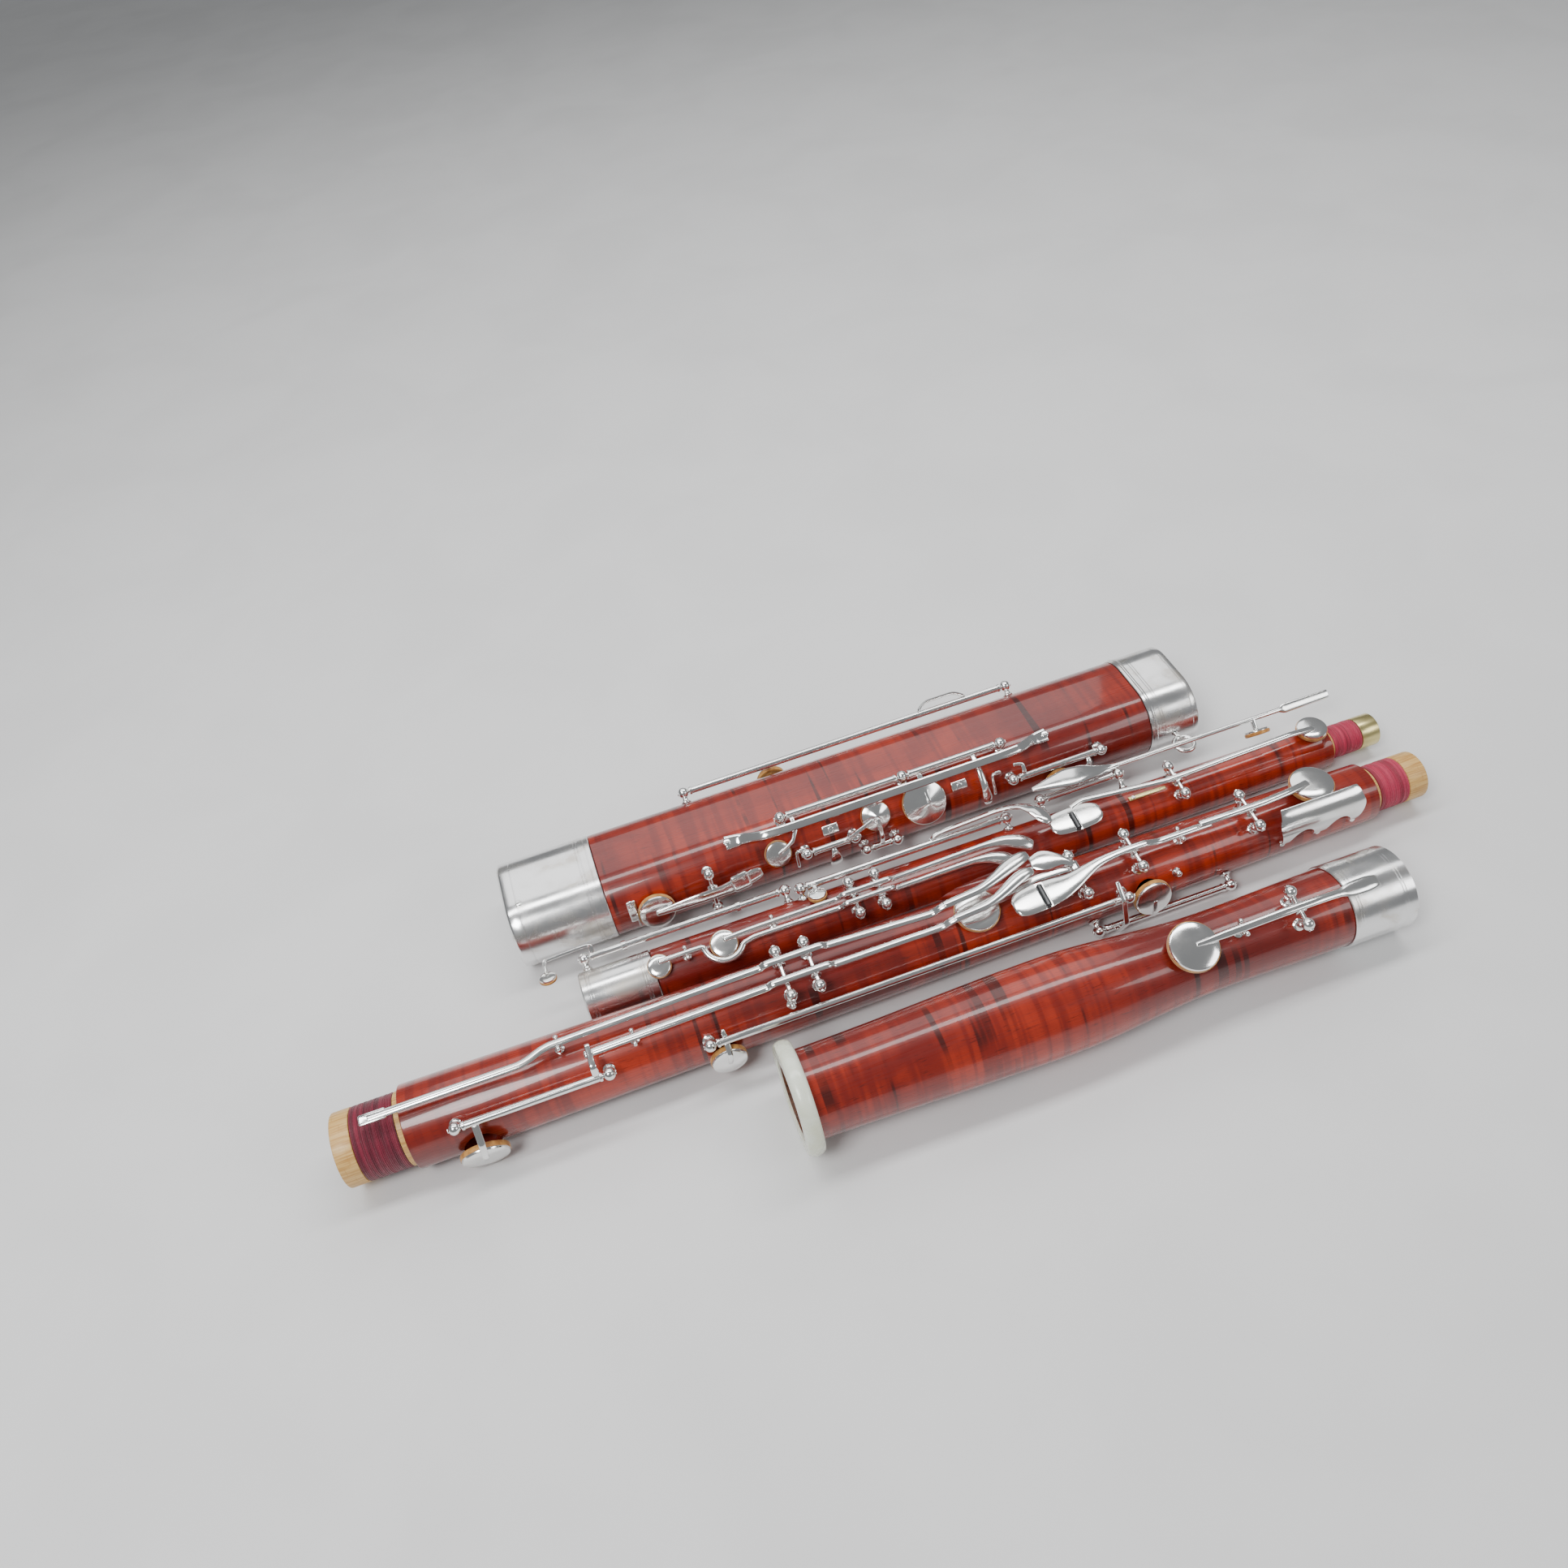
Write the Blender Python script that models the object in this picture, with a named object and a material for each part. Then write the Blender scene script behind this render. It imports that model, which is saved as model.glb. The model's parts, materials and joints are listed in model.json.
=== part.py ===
"""Bassoon taken apart into its four joints, each lying on its side on a flat surface.

Sizes are in millimetres until a mesh is finished, and metres after that.  Every joint has an
empty on its bore axis: local X runs along the bore, local Y points to the back and local Z up.
A place on a joint is a station x along the bore, an angle from +Z towards the front (-Y), and a
radius from the bore axis.  A key is built in a frame rolled by its own angle about the bore, so
that its local Z points away from the wood and its local Y is the cross direction.
"""

import math

import bmesh
import bpy
from mathutils import Matrix, Vector

METRES = 0.001

# ---------------------------------------------------------------- clearances
GAP = 0.3
RUNNING = 0.3
TENON_FIT = 0.35

# ---------------------------------------------------------------- facets of the turned wood and metal
ROUND = 24
CUP_SIDES = 16

# ---------------------------------------------------------------- shared key hardware
POST_STEM = 1.7
POST_FOOT = 3.2
POST_FOOT_HEIGHT = 1.2
BALL = 3.4
AXLE = 1.2
PIVOT_ROD = 0.9
BARREL = 2.1
HUB = 3.1
HUB_LENGTH = 5.2
BAR_WIDTH = 4.2
BAR_HEIGHT = 2.2
HUB_TO_BAR = 3.2
ARM_WIDTH = 4.0
ARM_HEIGHT = 2.0
CUP_HEIGHT = 4.6
CUP_DOME = 0.7
TOUCH_HEIGHT = 2.4
TONE_CLEARANCE = 3.0
TONE_OUT = 5.0
TONE_IN = 2.0
PAD_LIFT = 3.0

# ---------------------------------------------------------------- long joint
LONG_LENGTH = 635.0
LONG_TOP_RADIUS = 22.6
LONG_END_RADIUS = 17.0
LONG_UPPER_TENON = 36.0
LONG_UPPER_TENON_RADIUS = 19.9
LONG_UPPER_TIP = 10.0
LONG_LOWER_TENON = 34.0
LONG_LOWER_TENON_RADIUS = 14.0
LONG_LOWER_TIP = 12.0
LONG_BORE_TOP = 16.0
LONG_BORE_END = 9.5
LONG_RING = 3.2
THREAD_WALL = 1.4

# ---------------------------------------------------------------- wing joint
WING_LENGTH = 500.0
WING_TOP_RADIUS = 15.4
WING_END_RADIUS = 13.4
WING_FERRULE = 42.0
WING_FERRULE_WALL = 1.0
WING_FERRULE_PROUD = 0.4
WING_TENON = 34.0
WING_TENON_RADIUS = 10.0
WING_TIP = 12.0
WING_RING = 3.0
WING_BORE_TOP = 4.6
WING_BORE_END = 6.3
WING_SOCKET_RADIUS = 5.4
WING_SOCKET_DEPTH = 24.0
BOSS_START = 205.0
BOSS_LENGTH = 92.0
BOSS_REACH = 9.0
BOSS_ANGLE = 92.0
FINGER_HOLE = 2.6
FINGER_HOLES = 3
FINGER_PITCH = 24.0
SHOULDER_START = 412.0
SHOULDER_LENGTH = 50.0
SHOULDER_REACH = 2.8

# ---------------------------------------------------------------- boot joint
BOOT_LENGTH = 433.0
BOOT_RADIUS = 23.0
BOOT_SPREAD = 10.5
BOOT_CAP = 57.0
BOOT_CAP_WALL = 1.1
BOOT_CAP_FLOOR = 3.0
BOOT_FERRULE = 32.0
BOOT_SPIGOT = 30.0
BOOT_WING_BORE = 7.0
BOOT_LONG_BORE = 8.6
BOOT_BORE_OFFSET = 14.5
SOCKET_EXTRA = 2.0
U_TUBE_WALL = 0.9
U_TUBE_FLANGE = 1.2
U_TUBE_CLEAR = 1.2

# ---------------------------------------------------------------- bell joint
BELL_LENGTH = 345.0
BELL_RING_RADIUS = 30.0
BELL_RING_LENGTH = 9.0
BELL_RING_SEAT = 2.4
BELL_RING_ROUND = 2.6
BELL_LIP = 1.2
BELL_MOUTH_RADIUS = 23.2
BELL_BELLY_RADIUS = 26.0
BELL_BELLY_AT = 145.0
BELL_WAIST_RADIUS = 20.6
BELL_WAIST_AT = 236.0
BELL_TOP_RADIUS = 21.7
BELL_FERRULE = 38.0
BELL_FERRULE_WALL = 1.1
BELL_BORE_MOUTH = 18.6
BELL_WALL_END = 2.6

# ---------------------------------------------------------------- how the joints lie
LONG_AT = (0.0, 0.0)
WING_AT = (139.0, 43.5)
BOOT_AT = (110.0, 114.5)
BELL_AT = (225.0, -66.5)

COLOURS = {
    "maple": ((0.38, 0.045, 0.022, 1.0), 0.22, 0.0),
    "silver": ((0.80, 0.80, 0.79, 1.0), 0.18, 1.0),
    "thread_burgundy": ((0.22, 0.02, 0.05, 1.0), 0.7, 0.0),
    "thread_pink": ((0.55, 0.05, 0.10, 1.0), 0.7, 0.0),
    "brass": ((0.62, 0.55, 0.30, 1.0), 0.35, 1.0),
    "ivory": ((0.75, 0.80, 0.70, 1.0), 0.3, 0.0),
    "nickel": ((0.60, 0.59, 0.56, 1.0), 0.28, 1.0),
}


# ==================================================================== scene basics
def clear_scene():
    """Remove every object that the file starts with."""
    for obj in list(bpy.data.objects):
        bpy.data.objects.remove(obj, do_unlink=True)


def make_material(name):
    """Return the Principled material with this name."""
    found = bpy.data.materials.get(name)
    if found:
        return found
    colour, roughness, metallic = COLOURS[name]
    material = bpy.data.materials.new(name)
    material.use_nodes = True
    shader = material.node_tree.nodes["Principled BSDF"]
    shader.inputs["Base Color"].default_value = colour
    shader.inputs["Roughness"].default_value = roughness
    shader.inputs["Metallic"].default_value = metallic
    return material


class Joint:
    """One joint of the instrument, or one rounded side of the boot.

    radius_at gives the radius of the wood at a station.
    """

    def __init__(self, name, layout, start, height, slope, radius_at):
        self.name = name
        self.radius_at = radius_at
        self.empty = bpy.data.objects.new(name + "_axis", None)
        bpy.context.collection.objects.link(self.empty)
        self.empty.parent = layout
        self.empty.location = Vector((start[0], start[1], height)) * METRES
        self.empty.rotation_euler = (0.0, slope, 0.0)

    def side(self, name, offset):
        """Return a parallel axis shifted towards the back by offset."""
        twin = Joint(name, self.empty, (0.0, offset), 0.0, 0.0, self.radius_at)
        return twin


# ==================================================================== mesh pieces, in millimetres
def mesh_object(bm):
    """Turn a bmesh into a scene object with outward faces."""
    bmesh.ops.recalc_face_normals(bm, faces=bm.faces)
    mesh = bpy.data.meshes.new("piece")
    bm.to_mesh(mesh)
    bm.free()
    obj = bpy.data.objects.new("piece", mesh)
    bpy.context.collection.objects.link(obj)
    return obj


def add_ring(bm, centre, across, over, half_width, half_height, sides):
    """Add one ring of vertices whose flats lie at the half sizes."""
    reach = 1.0 / math.cos(math.pi / sides)
    ring = []
    for index in range(sides):
        angle = (index + 0.5) * math.tau / sides
        offset = across * (half_width * math.cos(angle)) + over * (half_height * math.sin(angle))
        ring.append(bm.verts.new(centre + offset * reach))
    return ring


def bridge(bm, first, second):
    """Join two rings of equal size with quads."""
    count = len(first)
    for index in range(count):
        after = (index + 1) % count
        bm.faces.new((first[index], first[after], second[after], second[index]))


def frames_along(points, up):
    """Return the across and over directions at each point of a route."""
    frames = []
    for index, point in enumerate(points):
        before = points[max(index - 1, 0)]
        after = points[min(index + 1, len(points) - 1)]
        tangent = (after - before).normalized()
        guide = up
        if abs(tangent.dot(guide)) > 0.95:
            guide = Vector((0.0, 1.0, 0.0)) if abs(tangent.y) < 0.9 else Vector((1.0, 0.0, 0.0))
        across = guide.cross(tangent).normalized()
        frames.append((across, tangent.cross(across).normalized()))
    return frames


def sweep(route, sides=6, up=(0.0, 0.0, 1.0)):
    """Closed bar along a route of (x, y, z, half width, half height)."""
    points = [Vector(entry[:3]) for entry in route]
    bm = bmesh.new()
    rings = []
    for entry, point, frame in zip(route, points, frames_along(points, Vector(up))):
        rings.append(add_ring(bm, point, frame[0], frame[1], entry[3], entry[4], sides))
    for first, second in zip(rings, rings[1:]):
        bridge(bm, first, second)
    bm.faces.new(rings[0])
    bm.faces.new(rings[-1])
    return mesh_object(bm)


def pipe(route, outer, inner, sides=12, up=(0.0, 0.0, 1.0)):
    """Open tube along a route of (x, y, z)."""
    points = [Vector(entry) for entry in route]
    bm = bmesh.new()
    skins = []
    for size in (outer, inner):
        skin = []
        for point, frame in zip(points, frames_along(points, Vector(up))):
            skin.append(add_ring(bm, point, frame[0], frame[1], size, size, sides))
        skins.append(skin)
        for first, second in zip(skin, skin[1:]):
            bridge(bm, first, second)
    bridge(bm, skins[0][0], skins[1][0])
    bridge(bm, skins[0][-1], skins[1][-1])
    return mesh_object(bm)


def peg(start, end, radius, sides=6):
    """Round bar between two points."""
    return sweep([(*start, radius, radius), (*end, radius, radius)], sides)


def ball(centre, radius):
    """Small round knob."""
    bm = bmesh.new()
    place = Matrix.Translation(centre)
    bmesh.ops.create_uvsphere(bm, u_segments=6, v_segments=4, radius=radius, matrix=place)
    return mesh_object(bm)


def turned(profile, sides=ROUND, spread=0.0):
    """Ring turned about X from a closed loop of (x, radius).

    spread parts the front and back halves into an oval with flat top and bottom.
    """
    bm = bmesh.new()
    loops = []
    for along, radius in profile:
        loop = []
        for index in range(sides):
            angle = (index + 0.5) * math.tau / sides
            shift = spread if math.cos(angle) > 0.0 else -spread
            loop.append(bm.verts.new((along, radius * math.cos(angle) + shift, radius * math.sin(angle))))
        loops.append(loop)
    for index, loop in enumerate(loops):
        bridge(bm, loop, loops[(index + 1) % len(loops)])
    return mesh_object(bm)


def plug(profile, sides=ROUND, spread=0.0):
    """Solid turned about X from an open outline of (x, radius)."""
    bm = bmesh.new()
    loops = []
    for along, radius in profile:
        loop = []
        for index in range(sides):
            angle = (index + 0.5) * math.tau / sides
            shift = spread if math.cos(angle) > 0.0 else -spread
            loop.append(bm.verts.new((along, radius * math.cos(angle) + shift, radius * math.sin(angle))))
        loops.append(loop)
    for first, second in zip(loops, loops[1:]):
        bridge(bm, first, second)
    bm.faces.new(loops[0])
    bm.faces.new(loops[-1])
    return mesh_object(bm)


def torus_ring(points, radius, sides=6):
    """Closed ring through points that lie in a plane of constant y."""
    centre = Vector((0.0, 0.0, 0.0))
    for point in points:
        centre += Vector(point) / len(points)
    bm = bmesh.new()
    rings = []
    for point in points:
        out = (Vector(point) - centre).normalized()
        rings.append(add_ring(bm, Vector(point), out, Vector((0.0, 1.0, 0.0)), radius, radius, sides))
    for index, ring in enumerate(rings):
        bridge(bm, ring, rings[(index + 1) % len(rings)])
    return mesh_object(bm)


def polar(station, angle, radius):
    """Point at an angle in degrees from local Z towards the front."""
    turn = math.radians(angle)
    return (station, -radius * math.sin(turn), radius * math.cos(turn))


def cup(station, angle, seat, radius, height=CUP_HEIGHT, cone=CUP_DOME, sides=CUP_SIDES):
    """Pad cup whose pad face lies at radius seat and faces the bore."""
    bm = bmesh.new()
    outline = ((0.0, radius - 0.6), (height * 0.75, radius), (height, radius * 0.93))
    outward = Vector(polar(0.0, angle, 1.0))
    centre = Vector(polar(station, angle, seat))
    along = Vector((1.0, 0.0, 0.0))
    across = outward.cross(along)
    rings = []
    for lift, size in outline:
        rings.append(add_ring(bm, centre + outward * lift, along, across, size, size, sides))
    for first, second in zip(rings, rings[1:]):
        bridge(bm, first, second)
    bm.faces.new(rings[0])
    peak = bm.verts.new(centre + outward * (height + cone))
    top = rings[-1]
    for index in range(sides):
        bm.faces.new((top[index], top[(index + 1) % sides], peak))
    return mesh_object(bm)


def hole(station, angle, radius, outer, inner):
    """Cutter for a tone hole running from outside the wood into the bore."""
    return peg(polar(station, angle, outer), polar(station, angle, inner), radius, 10)


# ==================================================================== joining pieces
def build(name, joint, material, pieces, cuts=(), roll=0.0, pivot=(0.0, 0.0, 0.0)):
    """Unite pieces, cut them, and place the result on a joint with its origin at pivot."""
    base = pieces[0]
    tools = [(piece, "UNION") for piece in pieces[1:]] + [(piece, "DIFFERENCE") for piece in cuts]
    for tool, operation in tools:
        step = base.modifiers.new(operation, "BOOLEAN")
        step.operation = operation
        step.solver = "EXACT"
        step.object = tool
    bpy.context.view_layer.update()
    graph = bpy.context.evaluated_depsgraph_get()
    mesh = bpy.data.meshes.new_from_object(base.evaluated_get(graph))
    for piece in [base] + [tool for tool, _ in tools]:
        bpy.data.objects.remove(piece, do_unlink=True)
    mesh.transform(Matrix.Scale(METRES, 4) @ Matrix.Translation(-Vector(pivot)))
    mesh.name = name
    mesh.materials.clear()
    mesh.materials.append(make_material(material))
    mesh.shade_smooth()
    mesh.set_sharp_from_angle(angle=math.radians(35.0))
    obj = bpy.data.objects.new(name, mesh)
    bpy.context.collection.objects.link(obj)
    obj.parent = joint.empty
    turn = Matrix.Rotation(math.radians(roll), 4, "X")
    obj.rotation_euler = (math.radians(roll), 0.0, 0.0)
    obj.location = (turn @ Vector(pivot)) * METRES
    return obj


def post_pieces(joint, station, angle, reach):
    """Ball post standing on the wood, with its ball centre at radius reach."""
    floor = joint.radius_at(station) + GAP
    neck = floor + POST_FOOT_HEIGHT
    stem = sweep((
        (*polar(station, angle, floor), POST_FOOT, POST_FOOT),
        (*polar(station, angle, neck), POST_FOOT, POST_FOOT),
        (*polar(station, angle, neck + 0.4), POST_STEM, POST_STEM),
        (*polar(station, angle, reach), POST_STEM, POST_STEM)))
    return [stem, ball(polar(station, angle, reach), BALL)]


def cross_posts(name, joint, station, roll, half_angle, reach):
    """Two ball posts astride the roll line, joined by the axle of a lever."""
    pieces = post_pieces(joint, station, half_angle, reach)
    pieces += post_pieces(joint, station, -half_angle, reach)
    front = polar(station, half_angle, reach)
    back = polar(station, -half_angle, reach)
    pieces.append(peg(front, back, AXLE))
    return build(name, joint, "silver", pieces, roll=roll)


def rod_posts(name, joint, stations, roll, reach):
    """Ball posts in a row, joined by the pivot rod that a key barrel turns on."""
    pieces = []
    for station in stations:
        pieces += post_pieces(joint, station, 0.0, reach)
    pieces.append(peg((stations[0], 0.0, reach), (stations[-1], 0.0, reach), PIVOT_ROD))
    return build(name, joint, "silver", pieces, roll=roll)


def barrel(first, last, reach):
    """Hollow key barrel between the balls of two posts."""
    start = first + BALL + GAP
    end = last - BALL - GAP
    return pipe([(start, 0.0, reach), (end, 0.0, reach)], BARREL, PIVOT_ROD + RUNNING, 8)


def axle_height(half_angle, reach):
    """Height of a cross axle above the bore axis in the roll frame."""
    return reach * math.cos(math.radians(half_angle))


def hub(station, across, height):
    """Hollow hub of a lever round its cross axle."""
    half = HUB_LENGTH / 2.0
    return pipe([(station, across - half, height), (station, across + half, height)],
                HUB, AXLE + RUNNING, 8)


def bar_route(points, width=BAR_WIDTH, height=BAR_HEIGHT):
    """Route of a plain bar with one width and height."""
    return [(*point, width / 2.0, height / 2.0) for point in points]


def arm(points, width=ARM_WIDTH, height=ARM_HEIGHT):
    """Flat arm through the given points, standing edge-on to the bore."""
    route = [(*point, height / 2.0, width / 2.0) for point in points]
    return sweep(route, 4, (1.0, 0.0, 0.0))


def lever(name, joint, roll, pivot_at, height, shapes):
    """Lever on a cross axle; pivot_at is (station, across) of its hub."""
    station, across = pivot_at
    pieces = [hub(station, across, height)] + shapes
    return build(name, joint, "silver", pieces, roll=roll, pivot=(station, across, height))


def rod_key(name, joint, roll, reach, first, last, shapes):
    """Key on a barrel that turns about a rod along the joint."""
    pieces = [barrel(first, last, reach)] + shapes
    return build(name, joint, "silver", pieces, roll=roll, pivot=((first + last) / 2.0, 0.0, reach))


def from_barrel(station, toward, reach):
    """Point just inside a barrel's wall, on the side that faces toward."""
    direction = Vector((0.0, toward[1], toward[2] - reach)).normalized()
    grip = (BARREL + PIVOT_ROD + RUNNING) / 2.0 + 0.1
    return (station, direction.y * grip, reach + direction.z * grip)


# ==================================================================== long joint
def long_radius(station):
    """Radius of the long joint's wood."""
    share = (station - LONG_UPPER_TENON) / (LONG_LENGTH - LONG_UPPER_TENON - LONG_LOWER_TENON)
    return LONG_TOP_RADIUS + (LONG_END_RADIUS - LONG_TOP_RADIUS) * min(max(share, 0.0), 1.0)


def long_bore(station):
    """Radius of the long joint's conical bore."""
    return LONG_BORE_TOP + (LONG_BORE_END - LONG_BORE_TOP) * station / LONG_LENGTH


def thread_sleeve(name, joint, start, end, radius, material):
    """Thread lapping wound round a tenon."""
    inner = radius - THREAD_WALL
    profile = ((start + GAP, radius), (end - GAP, radius), (end - GAP, inner), (start + GAP, inner))
    return build(name, joint, material, [turned(profile)])


def long_body(joint):
    """Maple tube with a tenon at each end and its tone holes."""
    shoulder = LONG_LENGTH - LONG_LOWER_TENON
    thread_end = LONG_UPPER_TENON - LONG_RING
    lower_thread = shoulder + LONG_RING
    lower_tip = LONG_LENGTH - LONG_LOWER_TIP
    upper_neck = LONG_UPPER_TENON_RADIUS - THREAD_WALL - GAP
    lower_neck = LONG_LOWER_TENON_RADIUS - THREAD_WALL - GAP
    profile = (
        (0.0, LONG_UPPER_TENON_RADIUS),
        (LONG_UPPER_TIP, LONG_UPPER_TENON_RADIUS),
        (LONG_UPPER_TIP, upper_neck),
        (thread_end, upper_neck),
        (thread_end, LONG_UPPER_TENON_RADIUS),
        (LONG_UPPER_TENON, LONG_UPPER_TENON_RADIUS),
        (LONG_UPPER_TENON, LONG_TOP_RADIUS),
        (shoulder, LONG_END_RADIUS),
        (shoulder, LONG_LOWER_TENON_RADIUS),
        (lower_thread, LONG_LOWER_TENON_RADIUS),
        (lower_thread, lower_neck),
        (lower_tip, lower_neck),
        (lower_tip, LONG_LOWER_TENON_RADIUS),
        (LONG_LENGTH, LONG_LOWER_TENON_RADIUS),
        (LONG_LENGTH, LONG_BORE_END),
        (0.0, LONG_BORE_TOP),
    )
    holes = []
    for station, angle, size in LONG_HOLES:
        depth = long_bore(station) - 2.0 * TONE_IN
        holes.append(hole(station, angle, size, long_radius(station) + TONE_OUT, depth))
    body = build("long_body", joint, "maple", [turned(profile)], holes)
    thread_sleeve("long_upper_thread", joint, LONG_UPPER_TIP, thread_end,
                  LONG_UPPER_TENON_RADIUS, "thread_burgundy")
    thread_sleeve("long_lower_thread", joint, lower_thread, lower_tip,
                  LONG_LOWER_TENON_RADIUS, "thread_pink")
    return body


# Cross axles of the long joint: roll line, posts each side of it, ball reach above the wood.
LONG_ROLL = 10.5
LONG_POST_SPLAY = 26.0
LONG_AXLE_REACH = 9.6
LOW_B_FLAT_AXLE = 244.0
LOW_B_AXLE = 260.0
LOW_B_FLAT_LINE = 6.8
LOW_B_LINE = -5.0
BRACKET_RISE = 3.4
BRACKET_OVERHANG = 8.0

# Low B pad cup on its own short rod.
B_ROD_START = 62.0
B_ROD_END = 143.0
B_ROD_ANGLE = 50.0
B_ROD_REACH = 7.0
B_CUP_AT = 70.0
B_CUP_ANGLE = 104.0
B_CUP_RADIUS = 13.0
B_LINK_AT = 136.5

# Low C key: long rod on the front of the joint.
C_ROD_START = 196.0
C_ROD_END = 436.0
C_ROD_ANGLE = 59.0
C_ROD_REACH = 7.0
C_CUP_AT = 203.5
C_CUP_ANGLE = 90.0
C_CUP_RADIUS = 10.0

# Low D key: short rod under the low C rod.
D_ROD_START = 420.0
D_ROD_END = 502.0
D_ROD_ANGLE = 111.0
D_ROD_REACH = 6.5
D_CUP_AT = 452.0
D_CUP_ANGLE = 78.0
D_CUP_RADIUS = 11.0
D_LINK_AT = 430.0

# Thumb roller lever and the pad lever that it lifts.
ROLLER_ROLL = 8.0
ROLLER_SPLAY = 23.0
ROLLER_AXLE = 449.0
ROLLER_PLATE_AT = 372.0
ROLLER_PLATE_LENGTH = 36.0
ROLLER_PLATE_WIDTH = 17.0
PAD_LEVER_AXLE = 521.0
PAD_LEVER_START = 489.0
LIFT_OVERLAP = 8.0
E_CUP_AT = 563.0
E_CUP_RADIUS = 12.4
E_CUP_LINE = 4.5

# Leaf touch with the pad cup under the low B touches.
LEAF_ROLL = 12.0
LEAF_SPLAY = 27.0
LEAF_AXLE = 415.0
LEAF_CUP_AT = 355.0
LEAF_CUP_RADIUS = 12.6
LEAF_LINE = 5.0

# Guard plate in front of the E pad.
GUARD_START = 531.0
GUARD_LENGTH = 54.0
GUARD_SHEET = 1.4
GUARD_FOOT_ANGLE = 76.0
GUARD_TOP_ANGLE = 24.0
GUARD_REACH = 13.0

LONG_HOLES = (
    (B_CUP_AT, B_CUP_ANGLE, B_CUP_RADIUS - TONE_CLEARANCE),
    (C_CUP_AT, C_CUP_ANGLE, C_CUP_RADIUS - TONE_CLEARANCE),
    (D_CUP_AT, D_CUP_ANGLE, D_CUP_RADIUS - TONE_CLEARANCE),
    (E_CUP_AT, ROLLER_ROLL - 8.0, E_CUP_RADIUS - 2.0 * TONE_CLEARANCE),
    (LEAF_CUP_AT, LEAF_ROLL, LEAF_CUP_RADIUS - TONE_CLEARANCE),
)


def low_levers(joint):
    """The two long levers that reach from the thumb touches to the bell end."""
    reach = long_radius(LOW_B_FLAT_AXLE) + LONG_AXLE_REACH
    height = axle_height(LONG_POST_SPLAY, reach)
    cross_posts("low_b_flat_posts", joint, LOW_B_FLAT_AXLE, LONG_ROLL, LONG_POST_SPLAY, reach)
    cross_posts("low_b_posts", joint, LOW_B_AXLE, LONG_ROLL, LONG_POST_SPLAY, reach)
    top = height + BRACKET_RISE
    left = LOW_B_FLAT_AXLE - BRACKET_OVERHANG
    right = LOW_B_AXLE + BRACKET_OVERHANG
    run = height + 0.8
    touch_rise = height + 4.6

    line = LOW_B_FLAT_LINE
    flat_bar = sweep(bar_route((
        (22.0, -0.5, run + 0.6), (101.0, -0.5, run + 0.9), (106.0, 0.6, run + 0.9),
        (113.0, 3.4, run + 0.9), (118.0, 4.4, run + 0.9), (left - 2.0, line, run),
        (left, line, top), (right, line, top), (right + 2.5, line, run),
        (331.0, 4.2, run - 0.6), (335.0, 4.4, touch_rise - 1.2), (339.0, 4.6, touch_rise))))
    flat_touch = sweep((
        (337.0, 4.5, touch_rise, 2.2, 1.2), (360.0, 6.4, touch_rise, 2.4, 1.3),
        (370.0, 9.8, touch_rise, 3.0, 1.4), (379.0, 14.0, touch_rise - 0.6, 4.0, 1.4),
        (388.0, 17.0, touch_rise - 1.6, 4.0, 1.4), (393.0, 18.4, touch_rise - 2.6, 2.2, 1.0)))
    flat_tip = sweep(((18.0, -0.5, run + 0.6, 2.8, 0.9), (32.0, -0.5, run + 0.6, 2.8, 0.9)), 4)
    lever("low_b_flat_lever", joint, LONG_ROLL, (LOW_B_FLAT_AXLE, line), height,
          [flat_bar, flat_touch, flat_tip])

    line = LOW_B_LINE
    b_bar = sweep(bar_route((
        (B_LINK_AT - 3.0, -6.8, run + 0.4), (left - 2.0, line, run), (left, line, top),
        (right, line, top), (right + 2.5, line, run), (333.0, line, run - 0.6),
        (337.0, line, touch_rise - 1.2), (341.0, line, touch_rise))))
    b_touch = sweep((
        (339.0, line, touch_rise, 2.2, 1.2), (360.0, -3.6, touch_rise, 2.4, 1.3),
        (370.0, 0.0, touch_rise + 0.2, 3.0, 1.4), (379.0, 4.4, touch_rise + 0.2, 3.6, 1.4),
        (386.0, 6.8, touch_rise, 3.4, 1.4), (391.0, 7.6, touch_rise - 1.0, 2.0, 1.0)))
    lever("low_b_lever", joint, LONG_ROLL, (LOW_B_AXLE, line), height, [b_bar, b_touch])
    return run


def low_b_cup(joint, lever_run):
    """Pad cup at the bell end, turned by the low B lever through an arm above it."""
    reach = long_radius(B_ROD_START) + B_ROD_REACH
    rod_posts("low_b_cup_posts", joint, (B_ROD_START, B_ROD_END), B_ROD_ANGLE, reach)
    turn = B_CUP_ANGLE - B_ROD_ANGLE
    seat = long_radius(B_CUP_AT) + PAD_LIFT
    crown = polar(B_CUP_AT, turn, seat + CUP_HEIGHT + 0.4)
    shoulder = polar(B_CUP_AT + 2.0, turn * 0.45, reach + 3.0)
    start = from_barrel(B_CUP_AT + 2.0, shoulder, reach)
    cup_arm = arm((start, shoulder, polar(B_CUP_AT + 1.0, turn * 0.75, seat + 7.4), crown))

    lever_turn = LONG_ROLL - B_ROD_ANGLE
    clear = lever_run + 0.4 + BAR_HEIGHT / 2.0 + GAP + ARM_HEIGHT / 2.0 + 0.3
    near = math.hypot(clear, 6.8)
    link_turn = lever_turn + math.degrees(math.atan2(6.8, clear))
    tip = polar(B_LINK_AT, link_turn - 7.0, near + 0.3)
    over = polar(B_LINK_AT, link_turn + 6.0, near + 0.4)
    knee = polar(B_LINK_AT, link_turn * 0.45, reach + 4.4)
    link = arm((from_barrel(B_LINK_AT, knee, reach), knee, over, tip))
    pad = cup(B_CUP_AT, turn, seat, B_CUP_RADIUS)
    rod_key("low_b_cup", joint, B_ROD_ANGLE, reach, B_ROD_START, B_ROD_END, [cup_arm, pad, link])


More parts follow.
